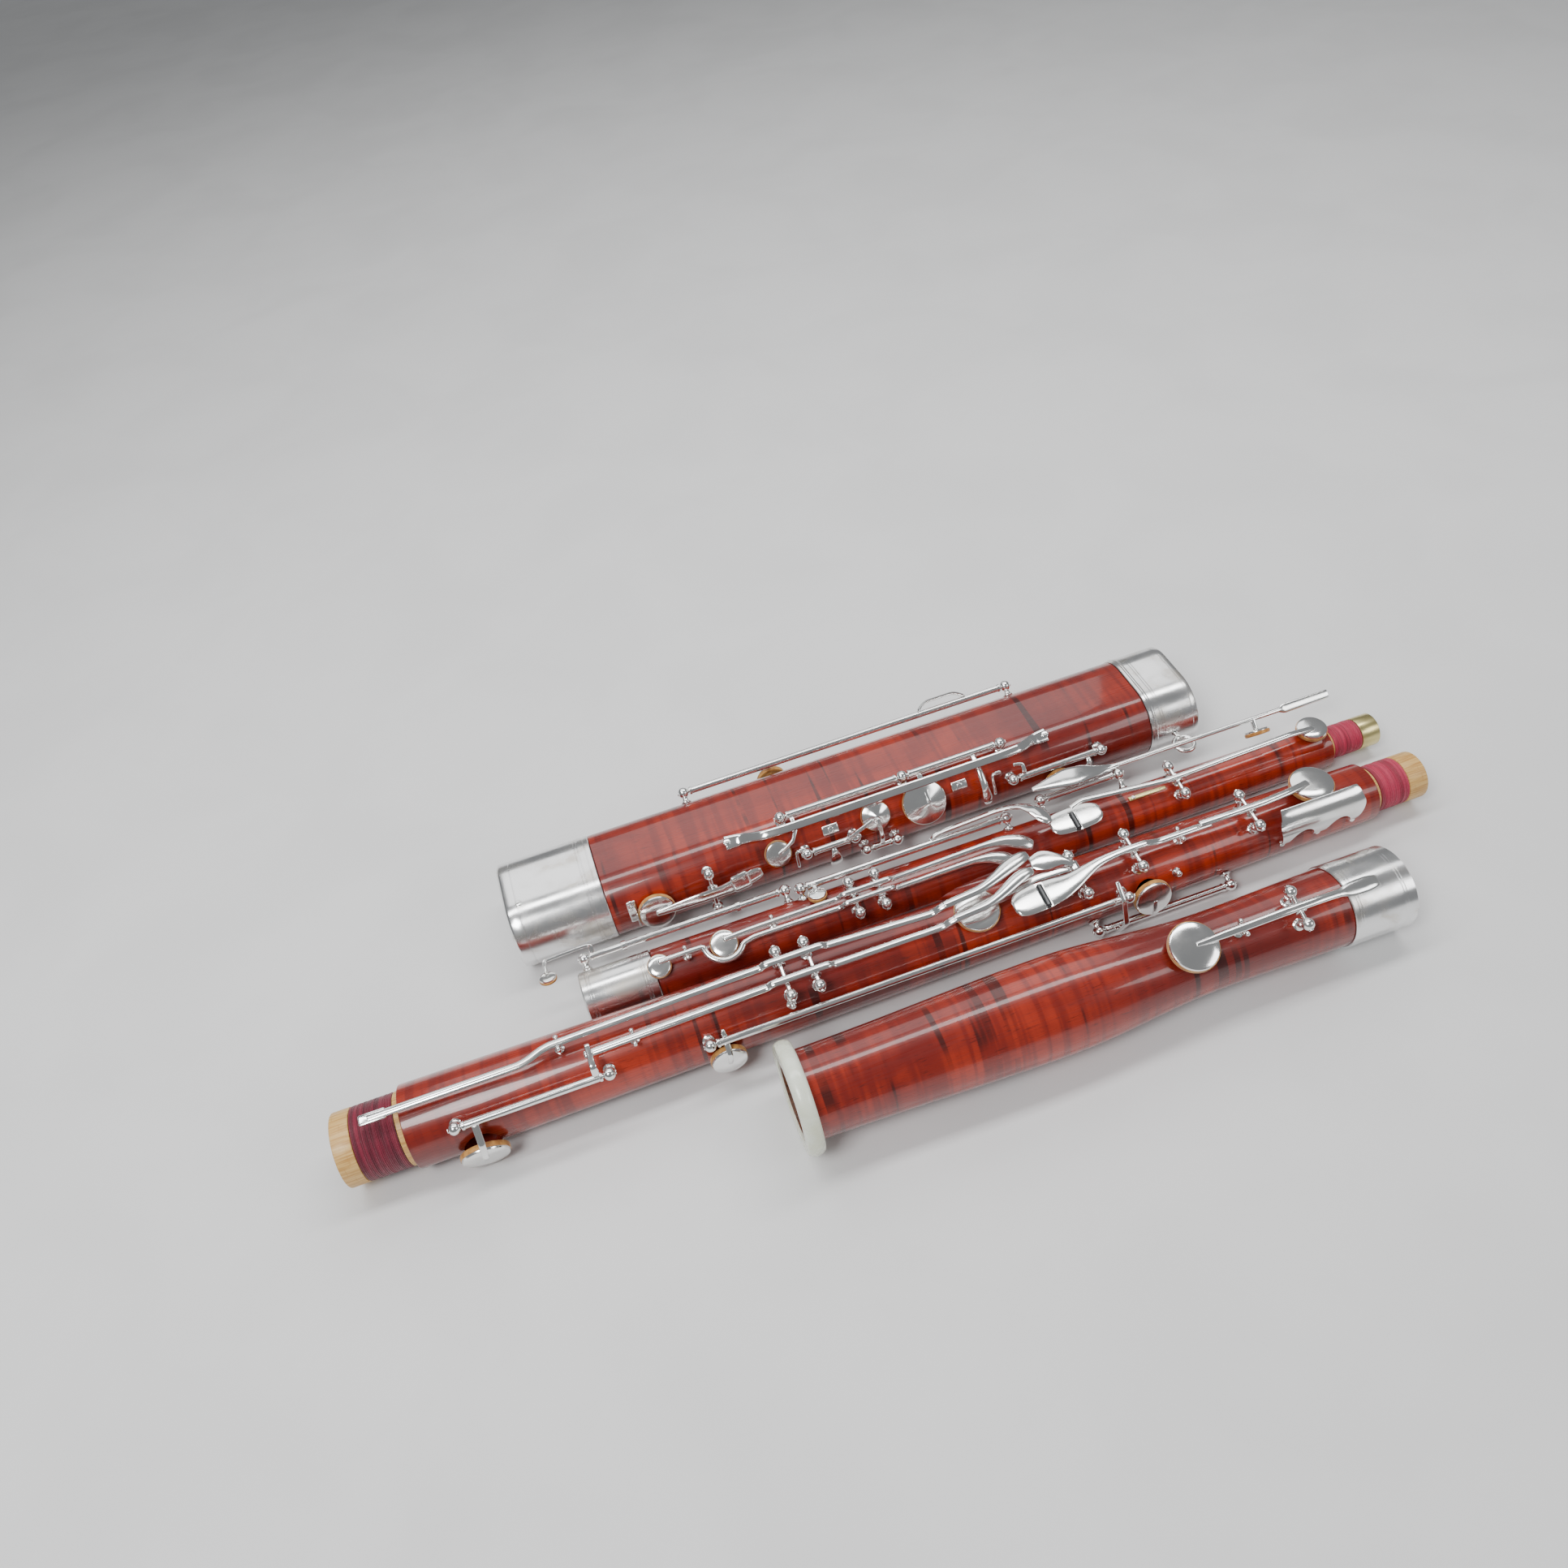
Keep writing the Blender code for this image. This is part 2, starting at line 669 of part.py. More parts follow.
def low_c_key(joint):
    """Long rod on the front with a pad cup at its bell end."""
    reach = long_radius(C_ROD_START) + C_ROD_REACH
    rod_posts("low_c_posts", joint, (C_ROD_START, C_ROD_END), C_ROD_ANGLE, reach)
    turn = C_CUP_ANGLE - C_ROD_ANGLE
    seat = long_radius(C_CUP_AT) + PAD_LIFT
    crown = polar(C_CUP_AT, turn, seat + CUP_HEIGHT + 0.4)
    bend = polar(C_CUP_AT + 1.0, turn * 0.5, seat + 7.0)
    cup_arm = arm((from_barrel(C_CUP_AT + 1.0, bend, reach), bend, crown), 3.4)
    spur = polar(C_CUP_AT + 1.0, -13.0, reach + 0.4)
    nub = arm((from_barrel(C_CUP_AT + 1.0, spur, reach), spur), 3.0)
    pad = cup(C_CUP_AT, turn, seat, C_CUP_RADIUS)
    rod_key("low_c_key", joint, C_ROD_ANGLE, reach, C_ROD_START, C_ROD_END, [cup_arm, nub, pad])


def low_d_key(joint):
    """Short rod low on the front, with an arm that reaches over the low C rod."""
    reach = long_radius(D_ROD_START) + D_ROD_REACH
    rod_posts("low_d_posts", joint, (D_ROD_START, D_ROD_END), D_ROD_ANGLE, reach)
    turn = D_CUP_ANGLE - D_ROD_ANGLE
    seat = long_radius(D_CUP_AT) + PAD_LIFT
    crown = polar(D_CUP_AT, turn, seat + CUP_HEIGHT + 0.3)
    bend = polar(D_CUP_AT, turn * 0.45, reach + 2.6)
    cup_arm = arm((from_barrel(D_CUP_AT, bend, reach), bend, crown))
    rod_turn = C_ROD_ANGLE - D_ROD_ANGLE
    over = long_radius(C_ROD_START) + C_ROD_REACH + BARREL + GAP + 4.2
    link = arm((
        from_barrel(D_LINK_AT, polar(D_LINK_AT, -8.0, reach + 4.0), reach),
        polar(D_LINK_AT, -8.0, reach + 4.0), polar(D_LINK_AT, rod_turn * 0.6, over),
        polar(D_LINK_AT, rod_turn - 3.0, over + 0.4), polar(D_LINK_AT, rod_turn - 22.0, over - 1.4)), 3.2)
    pad = cup(D_CUP_AT, turn, seat, D_CUP_RADIUS)
    rod_key("low_d_key", joint, D_ROD_ANGLE, reach, D_ROD_START, D_ROD_END, [cup_arm, link, pad])


def roller_levers(joint):
    """Thumb plate lever, and the pad lever whose near end it lifts."""
    reach = long_radius(ROLLER_AXLE) + LONG_AXLE_REACH
    height = axle_height(ROLLER_SPLAY, reach)
    cross_posts("roller_posts", joint, ROLLER_AXLE, ROLLER_ROLL, ROLLER_SPLAY, reach)
    plate_end = ROLLER_PLATE_AT + ROLLER_PLATE_LENGTH
    middle = (ROLLER_PLATE_AT + plate_end) / 2.0
    half = ROLLER_PLATE_WIDTH / 2.0
    plate_line = -9.4
    top = height + HUB_TO_BAR
    plate = sweep((
        (ROLLER_PLATE_AT, plate_line - 1.0, top, half * 0.45, TOUCH_HEIGHT / 2.0),
        (ROLLER_PLATE_AT + 5.0, plate_line - 1.0, top, half * 0.85, TOUCH_HEIGHT / 2.0),
        (middle - 6.0, plate_line, top, half, TOUCH_HEIGHT / 2.0),
        (middle + 8.0, plate_line + 0.6, top, half * 0.9, TOUCH_HEIGHT / 2.0),
        (plate_end, plate_line + 2.0, top, half * 0.62, TOUCH_HEIGHT / 2.0),
        (plate_end + 18.0, -1.4, top, BAR_WIDTH * 0.62, BAR_HEIGHT / 2.0),
        (ROLLER_AXLE - 8.0, 0.0, top, BAR_WIDTH / 2.0, BAR_HEIGHT / 2.0),
        (ROLLER_AXLE, 0.0, top, BAR_WIDTH / 2.0, BAR_HEIGHT / 2.0),
        (ROLLER_AXLE + 8.0, 0.0, top, BAR_WIDTH / 2.0, BAR_HEIGHT / 2.0)))
    lift_end = PAD_LEVER_START + LIFT_OVERLAP
    low = height + 0.1
    tail = sweep(bar_route((
        (ROLLER_AXLE + 6.0, 0.0, top), (ROLLER_AXLE + 15.0, 0.0, low), (lift_end, 0.0, low))))
    lever("roller_lever", joint, ROLLER_ROLL, (ROLLER_AXLE, 0.0), height, [plate, tail])

    pad_reach = long_radius(PAD_LEVER_AXLE) + LONG_AXLE_REACH
    cross_posts("e_pad_posts", joint, PAD_LEVER_AXLE, ROLLER_ROLL, ROLLER_SPLAY, pad_reach)
    pad_height = axle_height(ROLLER_SPLAY, pad_reach)
    pad_top = pad_height + HUB_TO_BAR
    turn = -8.0
    seat = long_radius(E_CUP_AT) + PAD_LIFT + 1.0
    crown = polar(E_CUP_AT - 3.0, turn, seat + CUP_HEIGHT + 0.9)
    above = low + BAR_HEIGHT + RUNNING + 0.5
    beam = sweep(bar_route((
        (PAD_LEVER_START, 0.0, above), (PAD_LEVER_AXLE - 9.0, 0.0, pad_top),
        (PAD_LEVER_AXLE + 8.0, 0.0, pad_top), (E_CUP_AT - 16.0, 1.4, pad_top - 0.6), crown)))
    pad = cup(E_CUP_AT, turn, seat, E_CUP_RADIUS)
    lever("e_pad_lever", joint, ROLLER_ROLL, (PAD_LEVER_AXLE, 0.0), pad_height, [beam, pad])


def leaf_key(joint):
    """Leaf touch whose long arm carries the pad cup under the low B touches."""
    reach = long_radius(LEAF_AXLE) + LONG_AXLE_REACH - 2.0
    height = axle_height(LEAF_SPLAY, reach)
    cross_posts("leaf_posts", joint, LEAF_AXLE, LEAF_ROLL, LEAF_SPLAY, reach)
    seat = long_radius(LEAF_CUP_AT) + 1.6
    crown = seat + 3.6
    line = LEAF_LINE
    low = crown + 0.5
    beam = sweep((
        (LEAF_CUP_AT - 2.0, 0.0, low, 2.0, 0.8), (LEAF_AXLE - 22.0, line, low, 2.0, 0.8),
        (LEAF_AXLE - 2.0, line, height, 2.0, 0.9)), 4)
    pad = cup(LEAF_CUP_AT, 0.0, seat, LEAF_CUP_RADIUS, 3.6, 0.4)
    leaf = sweep((
        (LEAF_AXLE, line, height + 2.5, 1.8, 0.8), (LEAF_AXLE - 4.0, line + 4.0, height + 3.4, 2.2, 1.0),
        (LEAF_AXLE - 8.0, 11.2, height + 3.4, 4.2, 1.0), (LEAF_AXLE - 15.0, 13.6, height + 2.8, 6.6, 1.0),
        (LEAF_AXLE - 22.0, 14.6, height + 1.6, 3.6, 0.9)))
    lever("leaf_key", joint, LEAF_ROLL, (LEAF_AXLE, line), height, [beam, pad, leaf])


def long_guard(joint):
    """Bent sheet that stands on the wood in front of the E pad."""
    floor = long_radius(GUARD_START) + GAP + GUARD_SHEET / 2.0
    top = long_radius(GUARD_START) + GUARD_REACH
    middle = GUARD_START + GUARD_LENGTH / 2.0
    steps = 6
    route = []
    for index in range(steps + 1):
        share = index / steps
        angle = GUARD_FOOT_ANGLE + (GUARD_TOP_ANGLE - GUARD_FOOT_ANGLE) * share
        radius = floor + (top - floor) * math.sin(share * math.pi / 2.0)
        narrow = 7.0 * abs(share - 0.6)
        route.append((*polar(middle, angle, radius), GUARD_LENGTH / 2.0 - narrow, GUARD_SHEET / 2.0))
    sheet = sweep(route, 4, polar(0.0, (GUARD_FOOT_ANGLE + GUARD_TOP_ANGLE) / 2.0, 1.0))
    build("long_guard_plate", joint, "silver", [sheet])


# ==================================================================== wing joint
def wing_radius(station):
    """Radius of the wing joint's outside: the top ferrule, then the tapering wood."""
    if station < WING_FERRULE:
        return WING_TOP_RADIUS + WING_FERRULE_PROUD
    share = (station - WING_FERRULE) / (WING_LENGTH - WING_FERRULE - WING_TENON)
    return WING_TOP_RADIUS + (WING_END_RADIUS - WING_TOP_RADIUS) * min(max(share, 0.0), 1.0)


def wing_bore(station):
    """Radius of the wing joint's conical bore."""
    return WING_BORE_TOP + (WING_BORE_END - WING_BORE_TOP) * station / WING_LENGTH


WING_ROLL = 21.5
WING_SPLAY = 23.4
WING_AXLE_REACH = 8.6
A_AXLE = 159.5
C_AXLE = 175.3
A_LINE = 2.7
HIGH_C_LINE = -2.7
A_CUP_AT = 82.4
A_CUP_RADIUS = 8.0
HIGH_C_CUP_AT = 44.7
HIGH_C_CUP_RADIUS = 6.8
BOW_RADIUS = 11.6
BOW_SWEEP = 151.0
WING_CUP_LINE = 1.8
WING_CUP_HEIGHT = 4.0

C_SHARP_START = 134.0
C_SHARP_END = 262.0
C_SHARP_ANGLE = -34.0
C_SHARP_REACH = 6.6
C_SHARP_CUP_AT = 141.5
C_SHARP_CUP_RADIUS = 5.6
C_SHARP_CUP_ANGLE = -12.0

WHISPER_START = 6.0
WHISPER_END = 126.0
WHISPER_ANGLE = -52.0
WHISPER_REACH = 6.6
WHISPER_PAD_AT = -15.0
WHISPER_PAD_RADIUS = 5.0

WING_ROLLER_ROLL = 10.0
WING_ROLLER_SPLAY = 26.4
WING_ROLLER_AXLE = 363.5
WING_PLATE_AT = 280.0
WING_PLATE_LENGTH = 32.0
WING_PLATE_WIDTH = 16.0
WING_PAD_AT = 455.0
WING_PAD_RADIUS = 9.0

BLADE_START = 287.0
BLADE_END = 338.0
BLADE_ANGLE = -50.0
BLADE_REACH = 9.6
BLADE_ARM_END = 482.0
BLADE_CUP_AT = 430.0
BLADE_CUP_RADIUS = 7.5
BLADE_ROD_RISE = BALL + 1.6
BLADE_TILT = 55.0

WING_HOLES = (
    (A_CUP_AT, WING_ROLL - 6.0, A_CUP_RADIUS - TONE_CLEARANCE),
    (HIGH_C_CUP_AT + 4.0, WING_ROLL - 6.0, 2.4),
    (WING_PAD_AT, 0.0, WING_PAD_RADIUS - TONE_CLEARANCE),
    (BLADE_CUP_AT, BLADE_ANGLE, BLADE_CUP_RADIUS - TONE_CLEARANCE),
)


def wing_body(joint):
    """Maple tube with its boss of finger holes and its lower tenon."""
    shoulder = WING_LENGTH - WING_TENON
    thread = shoulder + WING_RING
    tip = WING_LENGTH - WING_TIP
    neck = WING_TENON_RADIUS - THREAD_WALL - GAP
    seat = WING_TOP_RADIUS - WING_FERRULE_WALL - GAP
    start = GAP + WING_FERRULE_WALL
    end = WING_LENGTH - GAP
    outline = (
        (start, seat),
        (WING_FERRULE, seat),
        (WING_FERRULE, WING_TOP_RADIUS),
        (shoulder, WING_END_RADIUS),
        (shoulder, WING_TENON_RADIUS),
        (thread, WING_TENON_RADIUS),
        (thread, neck),
        (end, neck),
    )
    reamer = (
        (start - 1.0, WING_SOCKET_RADIUS),
        (WING_SOCKET_DEPTH, WING_SOCKET_RADIUS),
        (WING_SOCKET_DEPTH, wing_bore(WING_SOCKET_DEPTH)),
        (end + 1.0, wing_bore(end + 1.0)),
    )
    pieces = [plug(outline)]
    middle = BOSS_START + BOSS_LENGTH / 2.0
    core = wing_radius(middle) - 2.4
    boss = []
    for index in range(8):
        share = index / 7.0
        swell = math.sin(share * math.pi)
        reach = 5.0 + (BOSS_REACH - 1.0) * swell
        place = polar(BOSS_START + BOSS_LENGTH * share, BOSS_ANGLE, core - 5.4 + reach * 0.62)
        boss.append((*place, 4.0 + 5.4 * swell, 3.0 + 4.6 * swell))
    pieces.append(sweep(boss, 10))
    swell_route = []
    for index in range(5):
        share = index / 4.0
        swell = math.sin(share * math.pi * 0.55)
        lift = (wing_radius(SHOULDER_START) - 8.4) + SHOULDER_REACH * swell
        swell_route.append((*polar(SHOULDER_START + SHOULDER_LENGTH * share, 0.0, lift),
                            7.0 + 2.6 * swell, 7.4))
    pieces.append(sweep(swell_route, 10))
    holes = [plug(reamer)]
    for station, angle, size in WING_HOLES:
        reach = wing_radius(station) + TONE_OUT + SHOULDER_REACH
        holes.append(hole(station, angle, size, reach, wing_bore(station) - TONE_IN))
    for index in range(FINGER_HOLES):
        station = middle + (index - (FINGER_HOLES - 1) / 2.0) * FINGER_PITCH
        reach = wing_radius(middle) + BOSS_REACH + TONE_OUT
        holes.append(hole(station, BOSS_ANGLE, FINGER_HOLE, reach, wing_bore(station) - TONE_IN))
    build("wing_body", joint, "maple", pieces, holes)
    ferrule = (
        (0.0, WING_TOP_RADIUS + WING_FERRULE_PROUD),
        (WING_FERRULE - GAP, WING_TOP_RADIUS + WING_FERRULE_PROUD),
        (WING_FERRULE - GAP, WING_TOP_RADIUS - WING_FERRULE_WALL),
        (WING_FERRULE_WALL, WING_TOP_RADIUS - WING_FERRULE_WALL),
        (WING_FERRULE_WALL, WING_SOCKET_RADIUS + 1.0),
        (0.0, WING_SOCKET_RADIUS + 1.0),
    )
    build("wing_top_ferrule", joint, "silver", [turned(ferrule)])
    thread_sleeve("wing_thread", joint, thread, tip, WING_TENON_RADIUS, "thread_pink")
    cap = (
        (tip, WING_TENON_RADIUS),
        (WING_LENGTH, WING_TENON_RADIUS),
        (WING_LENGTH, neck + GAP),
        (tip, neck + GAP),
    )
    build("wing_tenon_tip", joint, "brass", [turned(cap)])


def wing_levers(joint):
    """Two thumb levers; the longer one bows round the pad cup of the other."""
    reach = wing_radius(A_AXLE) + WING_AXLE_REACH
    height = axle_height(WING_SPLAY, reach)
    cross_posts("wing_a_posts", joint, A_AXLE, WING_ROLL, WING_SPLAY, reach)
    cross_posts("wing_c_posts", joint, C_AXLE, WING_ROLL, WING_SPLAY, reach)
    top = height + BRACKET_RISE
    left = A_AXLE - 6.4
    right = C_AXLE + 6.4
    run = height - 1.2
    seat = wing_radius(A_CUP_AT) + PAD_LIFT - 1.6
    width = 3.2
    line = A_LINE
    low = seat + WING_CUP_HEIGHT + 0.5
    cup_line = WING_CUP_LINE
    a_bar = sweep(bar_route((
        (A_CUP_AT, cup_line, low), (A_CUP_AT + 18.0, cup_line + 0.6, low), (left - 2.0, line, run),
        (left, line, top), (right, line, top), (right + 2.0, line, run + 1.8)), width))
    a_touch = sweep((
        (right + 1.0, line, run + 1.8, 1.6, 1.1), (240.0, line + 0.8, run + 2.4, 1.9, 1.2),
        (252.0, line - 0.6, run + 3.0, 3.0, 1.3), (261.0, line - 4.4, run + 2.8, 3.9, 1.3),
        (267.0, line - 8.4, run + 1.6, 3.0, 1.1)))
    pad = cup(A_CUP_AT, 0.0, seat, A_CUP_RADIUS, WING_CUP_HEIGHT, 0.5)
    lever("wing_a_key", joint, WING_ROLL, (A_AXLE, line), height, [a_bar, a_touch, pad])

    line = HIGH_C_LINE
    bow = []
    for index in range(9):
        angle = math.radians(BOW_SWEEP) * index / 8.0
        station = A_CUP_AT - BOW_RADIUS * math.cos(angle)
        bow.append((station, cup_line - BOW_RADIUS * math.sin(angle), low - 0.4))
    c_bar = sweep(bar_route(
        [(HIGH_C_CUP_AT, cup_line, low), (A_CUP_AT - BOW_RADIUS - 6.0, cup_line, low - 0.2)]
        + bow
        + [(A_CUP_AT + BOW_RADIUS + 5.0, line + 0.4, low - 0.4), (left - 2.0, line, run),
           (left, line, top), (right, line, top), (right + 2.0, line, run + 0.4)], width))
    c_touch = sweep((
        (right + 1.0, line, run + 0.4, 1.6, 1.1), (232.0, line + 0.2, run + 0.8, 1.9, 1.2),
        (242.0, line - 1.4, run + 1.0, 2.8, 1.3), (249.0, line - 4.6, run + 0.6, 3.8, 1.3),
        (254.0, line - 8.6, run - 0.6, 3.0, 1.1)))
    pad = cup(HIGH_C_CUP_AT, 0.0, seat, HIGH_C_CUP_RADIUS, WING_CUP_HEIGHT, 0.5)
    lever("wing_c_key", joint, WING_ROLL, (C_AXLE, line), height, [c_bar, c_touch, pad])


def wing_c_sharp(joint):
    """Rod key at the back whose touch wraps over the top of the joint."""
    reach = wing_radius(C_SHARP_START) + C_SHARP_REACH
    rod_posts("c_sharp_posts", joint, (C_SHARP_START, C_SHARP_END), C_SHARP_ANGLE, reach)
    turn = C_SHARP_CUP_ANGLE - C_SHARP_ANGLE
    seat = wing_radius(C_SHARP_CUP_AT) + 1.8
    crown = polar(C_SHARP_CUP_AT, turn, seat + 3.6)
    cup_arm = arm((from_barrel(C_SHARP_CUP_AT, polar(C_SHARP_CUP_AT, 8.0, reach + 1.0), reach),
                   polar(C_SHARP_CUP_AT, 10.0, reach + 0.6), crown), 3.0, 1.6)
    pad = cup(C_SHARP_CUP_AT, turn, seat, C_SHARP_CUP_RADIUS, 3.4, 0.4)
    rise = reach + 5.0
    start = from_barrel(216.0, (0.0, 0.0, rise), reach)
    touch = sweep((
        (*start, 1.8, 1.1), (216.4, -0.2, rise - 1.8, 2.0, 1.2),
        (219.0, -0.4, rise - 0.6, 2.0, 1.2), (224.0, -0.8, rise, 2.2, 1.3),
        (256.0, -2.0, rise + 1.6, 2.2, 1.3), (264.0, -4.4, rise + 1.9, 2.6, 1.4),
        (270.0, -9.0, rise + 1.6, 3.4, 1.4), (274.5, -15.0, rise - 0.6, 4.4, 1.4),
        (277.0, -20.6, rise - 4.4, 4.4, 1.4), (278.4, -25.0, rise - 8.2, 2.4, 1.1)))
    rod_key("c_sharp_key", joint, C_SHARP_ANGLE, reach, C_SHARP_START, C_SHARP_END, [cup_arm, pad, touch])


def whisper_key(joint):
    """Slim rod along the back with a crank and a small pad for the bocal's nipple."""
    reach = wing_radius(WHISPER_START) + WHISPER_REACH
    rod_posts("whisper_posts", joint, (WHISPER_START, WHISPER_END), WHISPER_ANGLE, reach)
    near = WHISPER_START + BALL + GAP + 1.8
    bend = (near, -1.6, reach + 6.6)
    crank = arm((
        from_barrel(near, bend, reach), bend, (near - 6.0, -2.6, reach + 6.8),
        (WHISPER_PAD_AT, -4.0, reach + 6.0), (WHISPER_PAD_AT, -8.0, reach + 3.6)), 3.0, 1.8)
    drop = ((WHISPER_PAD_AT, -7.0, reach + 4.2), (WHISPER_PAD_AT, -12.0, reach - 0.6))
    pad_stem = sweep(bar_route(drop, 3.0, 2.0), 4, (1.0, 0.0, 0.0))
    inward = 12.6
    height = reach - 3.2
    pad_turn = math.degrees(math.atan2(inward, height))
    pad = cup(WHISPER_PAD_AT, pad_turn, math.hypot(inward, height) - 2.0, WHISPER_PAD_RADIUS, 3.0, 0.4)
    rod_key("whisper_key", joint, WHISPER_ANGLE, reach, WHISPER_START, WHISPER_END, [crank, pad_stem, pad])


def wing_roller(joint):
    """Split thumb plate on a long lever with a pad cup near the tenon."""
    reach = wing_radius(WING_ROLLER_AXLE) + WING_AXLE_REACH
    height = axle_height(WING_ROLLER_SPLAY, reach)
    cross_posts("wing_roller_posts", joint, WING_ROLLER_AXLE, WING_ROLLER_ROLL, WING_ROLLER_SPLAY, reach)
    top = height + HUB_TO_BAR
    half = WING_PLATE_WIDTH / 2.0
    end = WING_PLATE_AT + WING_PLATE_LENGTH
    middle = (WING_PLATE_AT + end) / 2.0
    line = -4.0
    plate = sweep((
        (WING_PLATE_AT, line, top, half * 0.5, 1.1), (WING_PLATE_AT + 4.0, line, top, half * 0.88, 1.1),
        (middle, line, top, half, 1.1), (end - 4.0, line, top, half * 0.88, 1.1),
        (end, line, top, half * 0.5, 1.1)))
    seat = wing_radius(WING_PAD_AT) + SHOULDER_REACH + 1.4
    beam = sweep(bar_route((
        (middle, line + half - 1.0, top + 0.2), (middle + 8.0, line + half + 1.6, top + 0.3),
        (end + 4.0, 4.4, top),
        (WING_ROLLER_AXLE - 8.0, 0.0, top), (WING_ROLLER_AXLE + 6.0, 0.0, top),
        (WING_PAD_AT - 16.0, 1.6, seat + 6.4), (WING_PAD_AT, 1.6, seat + 4.4)), 3.6))
    pad = cup(WING_PAD_AT, -8.0, seat, WING_PAD_RADIUS, 4.0, 0.6)
    lever("wing_roller_key", joint, WING_ROLLER_ROLL, (WING_ROLLER_AXLE, 0.0), height, [plate, beam, pad])


def blade_key(joint):
    """Blade touch on a short barrel, with a long slim arm to a flat tip."""
    reach = wing_radius(BLADE_START) + BLADE_REACH
    rod_posts("blade_posts", joint, (BLADE_START, BLADE_END), BLADE_ANGLE, reach)
    rise = reach + BLADE_ROD_RISE
    middle = (BLADE_START + BLADE_END) / 2.0
    high = rise + 2.4
    stem = sweep(bar_route((
        (middle, 0.0, reach + 1.6), (middle, -0.6, rise), (middle, -3.4, high)), 4.0, 3.0), 8, (0.0, 1.0, 0.0))
    blade = sweep((
        (BLADE_START - 4.0, -4.0, high, 1.4, 0.9), (BLADE_START + 6.0, -4.4, high + 0.2, 3.8, 1.0),
        (BLADE_START + 20.0, -4.8, high + 0.3, 7.0, 1.1), (BLADE_START + 32.0, -3.4, high - 0.2, 5.6, 1.1),
        (BLADE_START + 42.0, -1.0, rise + 0.8, 3.0, 1.1), (BLADE_END + 2.0, 0.0, rise, 2.0, 1.2)),
        6, polar(0.0, BLADE_TILT, 1.0))
    tip = BLADE_ARM_END - 34.0
    beam = sweep((
        (BLADE_END - 2.0, 0.0, rise, 1.5, 1.5), (tip, 0.0, rise, 1.5, 1.5),
        (tip + 3.0, 0.0, rise, 0.8, 3.0), (BLADE_ARM_END, 0.0, rise, 0.8, 2.6)))
    seat = wing_radius(BLADE_CUP_AT) + 5.0
    pad = cup(BLADE_CUP_AT, 0.0, seat, BLADE_CUP_RADIUS, 3.6, 0.5)
    hanger = peg((BLADE_CUP_AT, 0.0, seat + 3.0), (BLADE_CUP_AT, 0.0, rise), 1.6)
    rod_key("blade_key", joint, BLADE_ANGLE, reach, BLADE_START, BLADE_END, [stem, blade, beam, pad, hanger])


# ==================================================================== boot joint
BOOT_UPPER_ANGLE = 17.0
BOOT_UPPER_REACH = 6.0
BOOT_UPPER_POSTS = (166.5, 243.0, 306.0)
TRILL_CUP_AT = 159.0
TRILL_CUP_ANGLE = 58.0
TRILL_CUP_RADIUS = 8.0
G_CUP_AT = 251.0
G_CUP_ANGLE = 56.0
G_CUP_RADIUS = 13.6
G_CONE = 3.0
TEAR_AT = 287.5
PADDLE_POSTS = (175.0, 205.0)
PADDLE_ANGLE = 68.0
PADDLE_REACH = 6.2
PADDLE_AT = 191.0
CONE_POSTS = (210.5, 230.0)
CONE_ANGLE = 92.0
CONE_REACH = 6.2
CONE_CUP_AT = 220.6
CONE_CUP_ANGLE = 52.0
CONE_CUP_RADIUS = 9.0
F_CUP_AT = 82.5
F_CUP_ANGLE = 77.0
F_CUP_RADIUS = 11.0
F_AXLE = 116.5
F_ROLL = 72.0
F_SPLAY = 21.0
F_REACH = 9.6
B_FLAT_POSTS = (306.5, 364.0)
B_FLAT_ANGLE = 64.0
B_FLAT_REACH = 6.2
B_FLAT_CUP_AT = 336.0
B_FLAT_CUP_ANGLE = 90.0
B_FLAT_CUP_RADIUS = 8.4
BACK_POSTS = (120.0, 334.0)
BACK_ANGLE = -50.0
BACK_REACH = 6.4
BACK_CUP_AT = 176.0
BACK_CUP_ANGLE = -84.0
BACK_CUP_RADIUS = 9.0
BACK_HUMP_AT = 291.0
RAIL_START = 135.6
RAIL_END = 332.6
RAIL_ANGLE = 33.0
RAIL_FOOT_ANGLE = 22.0
RAIL_REACH = 11.0
METAL_PROUD = 0.5
LOCK_ANGLE = 89.0
LOCK_STEM = 5.4
LOCK_STEM_RADIUS = 2.2
LOCK_RING_RADIUS = 6.0
LOCK_WIRE = 1.5

BOOT_HOLES = (
    (TRILL_CUP_AT, TRILL_CUP_ANGLE, TRILL_CUP_RADIUS - TONE_CLEARANCE),
    (G_CUP_AT, G_CUP_ANGLE, G_CUP_RADIUS - 2.0 * TONE_CLEARANCE),
    (CONE_CUP_AT, CONE_CUP_ANGLE, CONE_CUP_RADIUS - TONE_CLEARANCE),
    (F_CUP_AT, F_CUP_ANGLE, F_CUP_RADIUS - TONE_CLEARANCE),
    (B_FLAT_CUP_AT, B_FLAT_CUP_ANGLE, B_FLAT_CUP_RADIUS - TONE_CLEARANCE),
)


def boot_radius(_station):
    """Radius of each rounded side of the boot."""
    return BOOT_RADIUS


def shifted(piece, across):
    """Move a piece towards the back by across."""
    piece.data.transform(Matrix.Translation((0.0, across, 0.0)))
    return piece


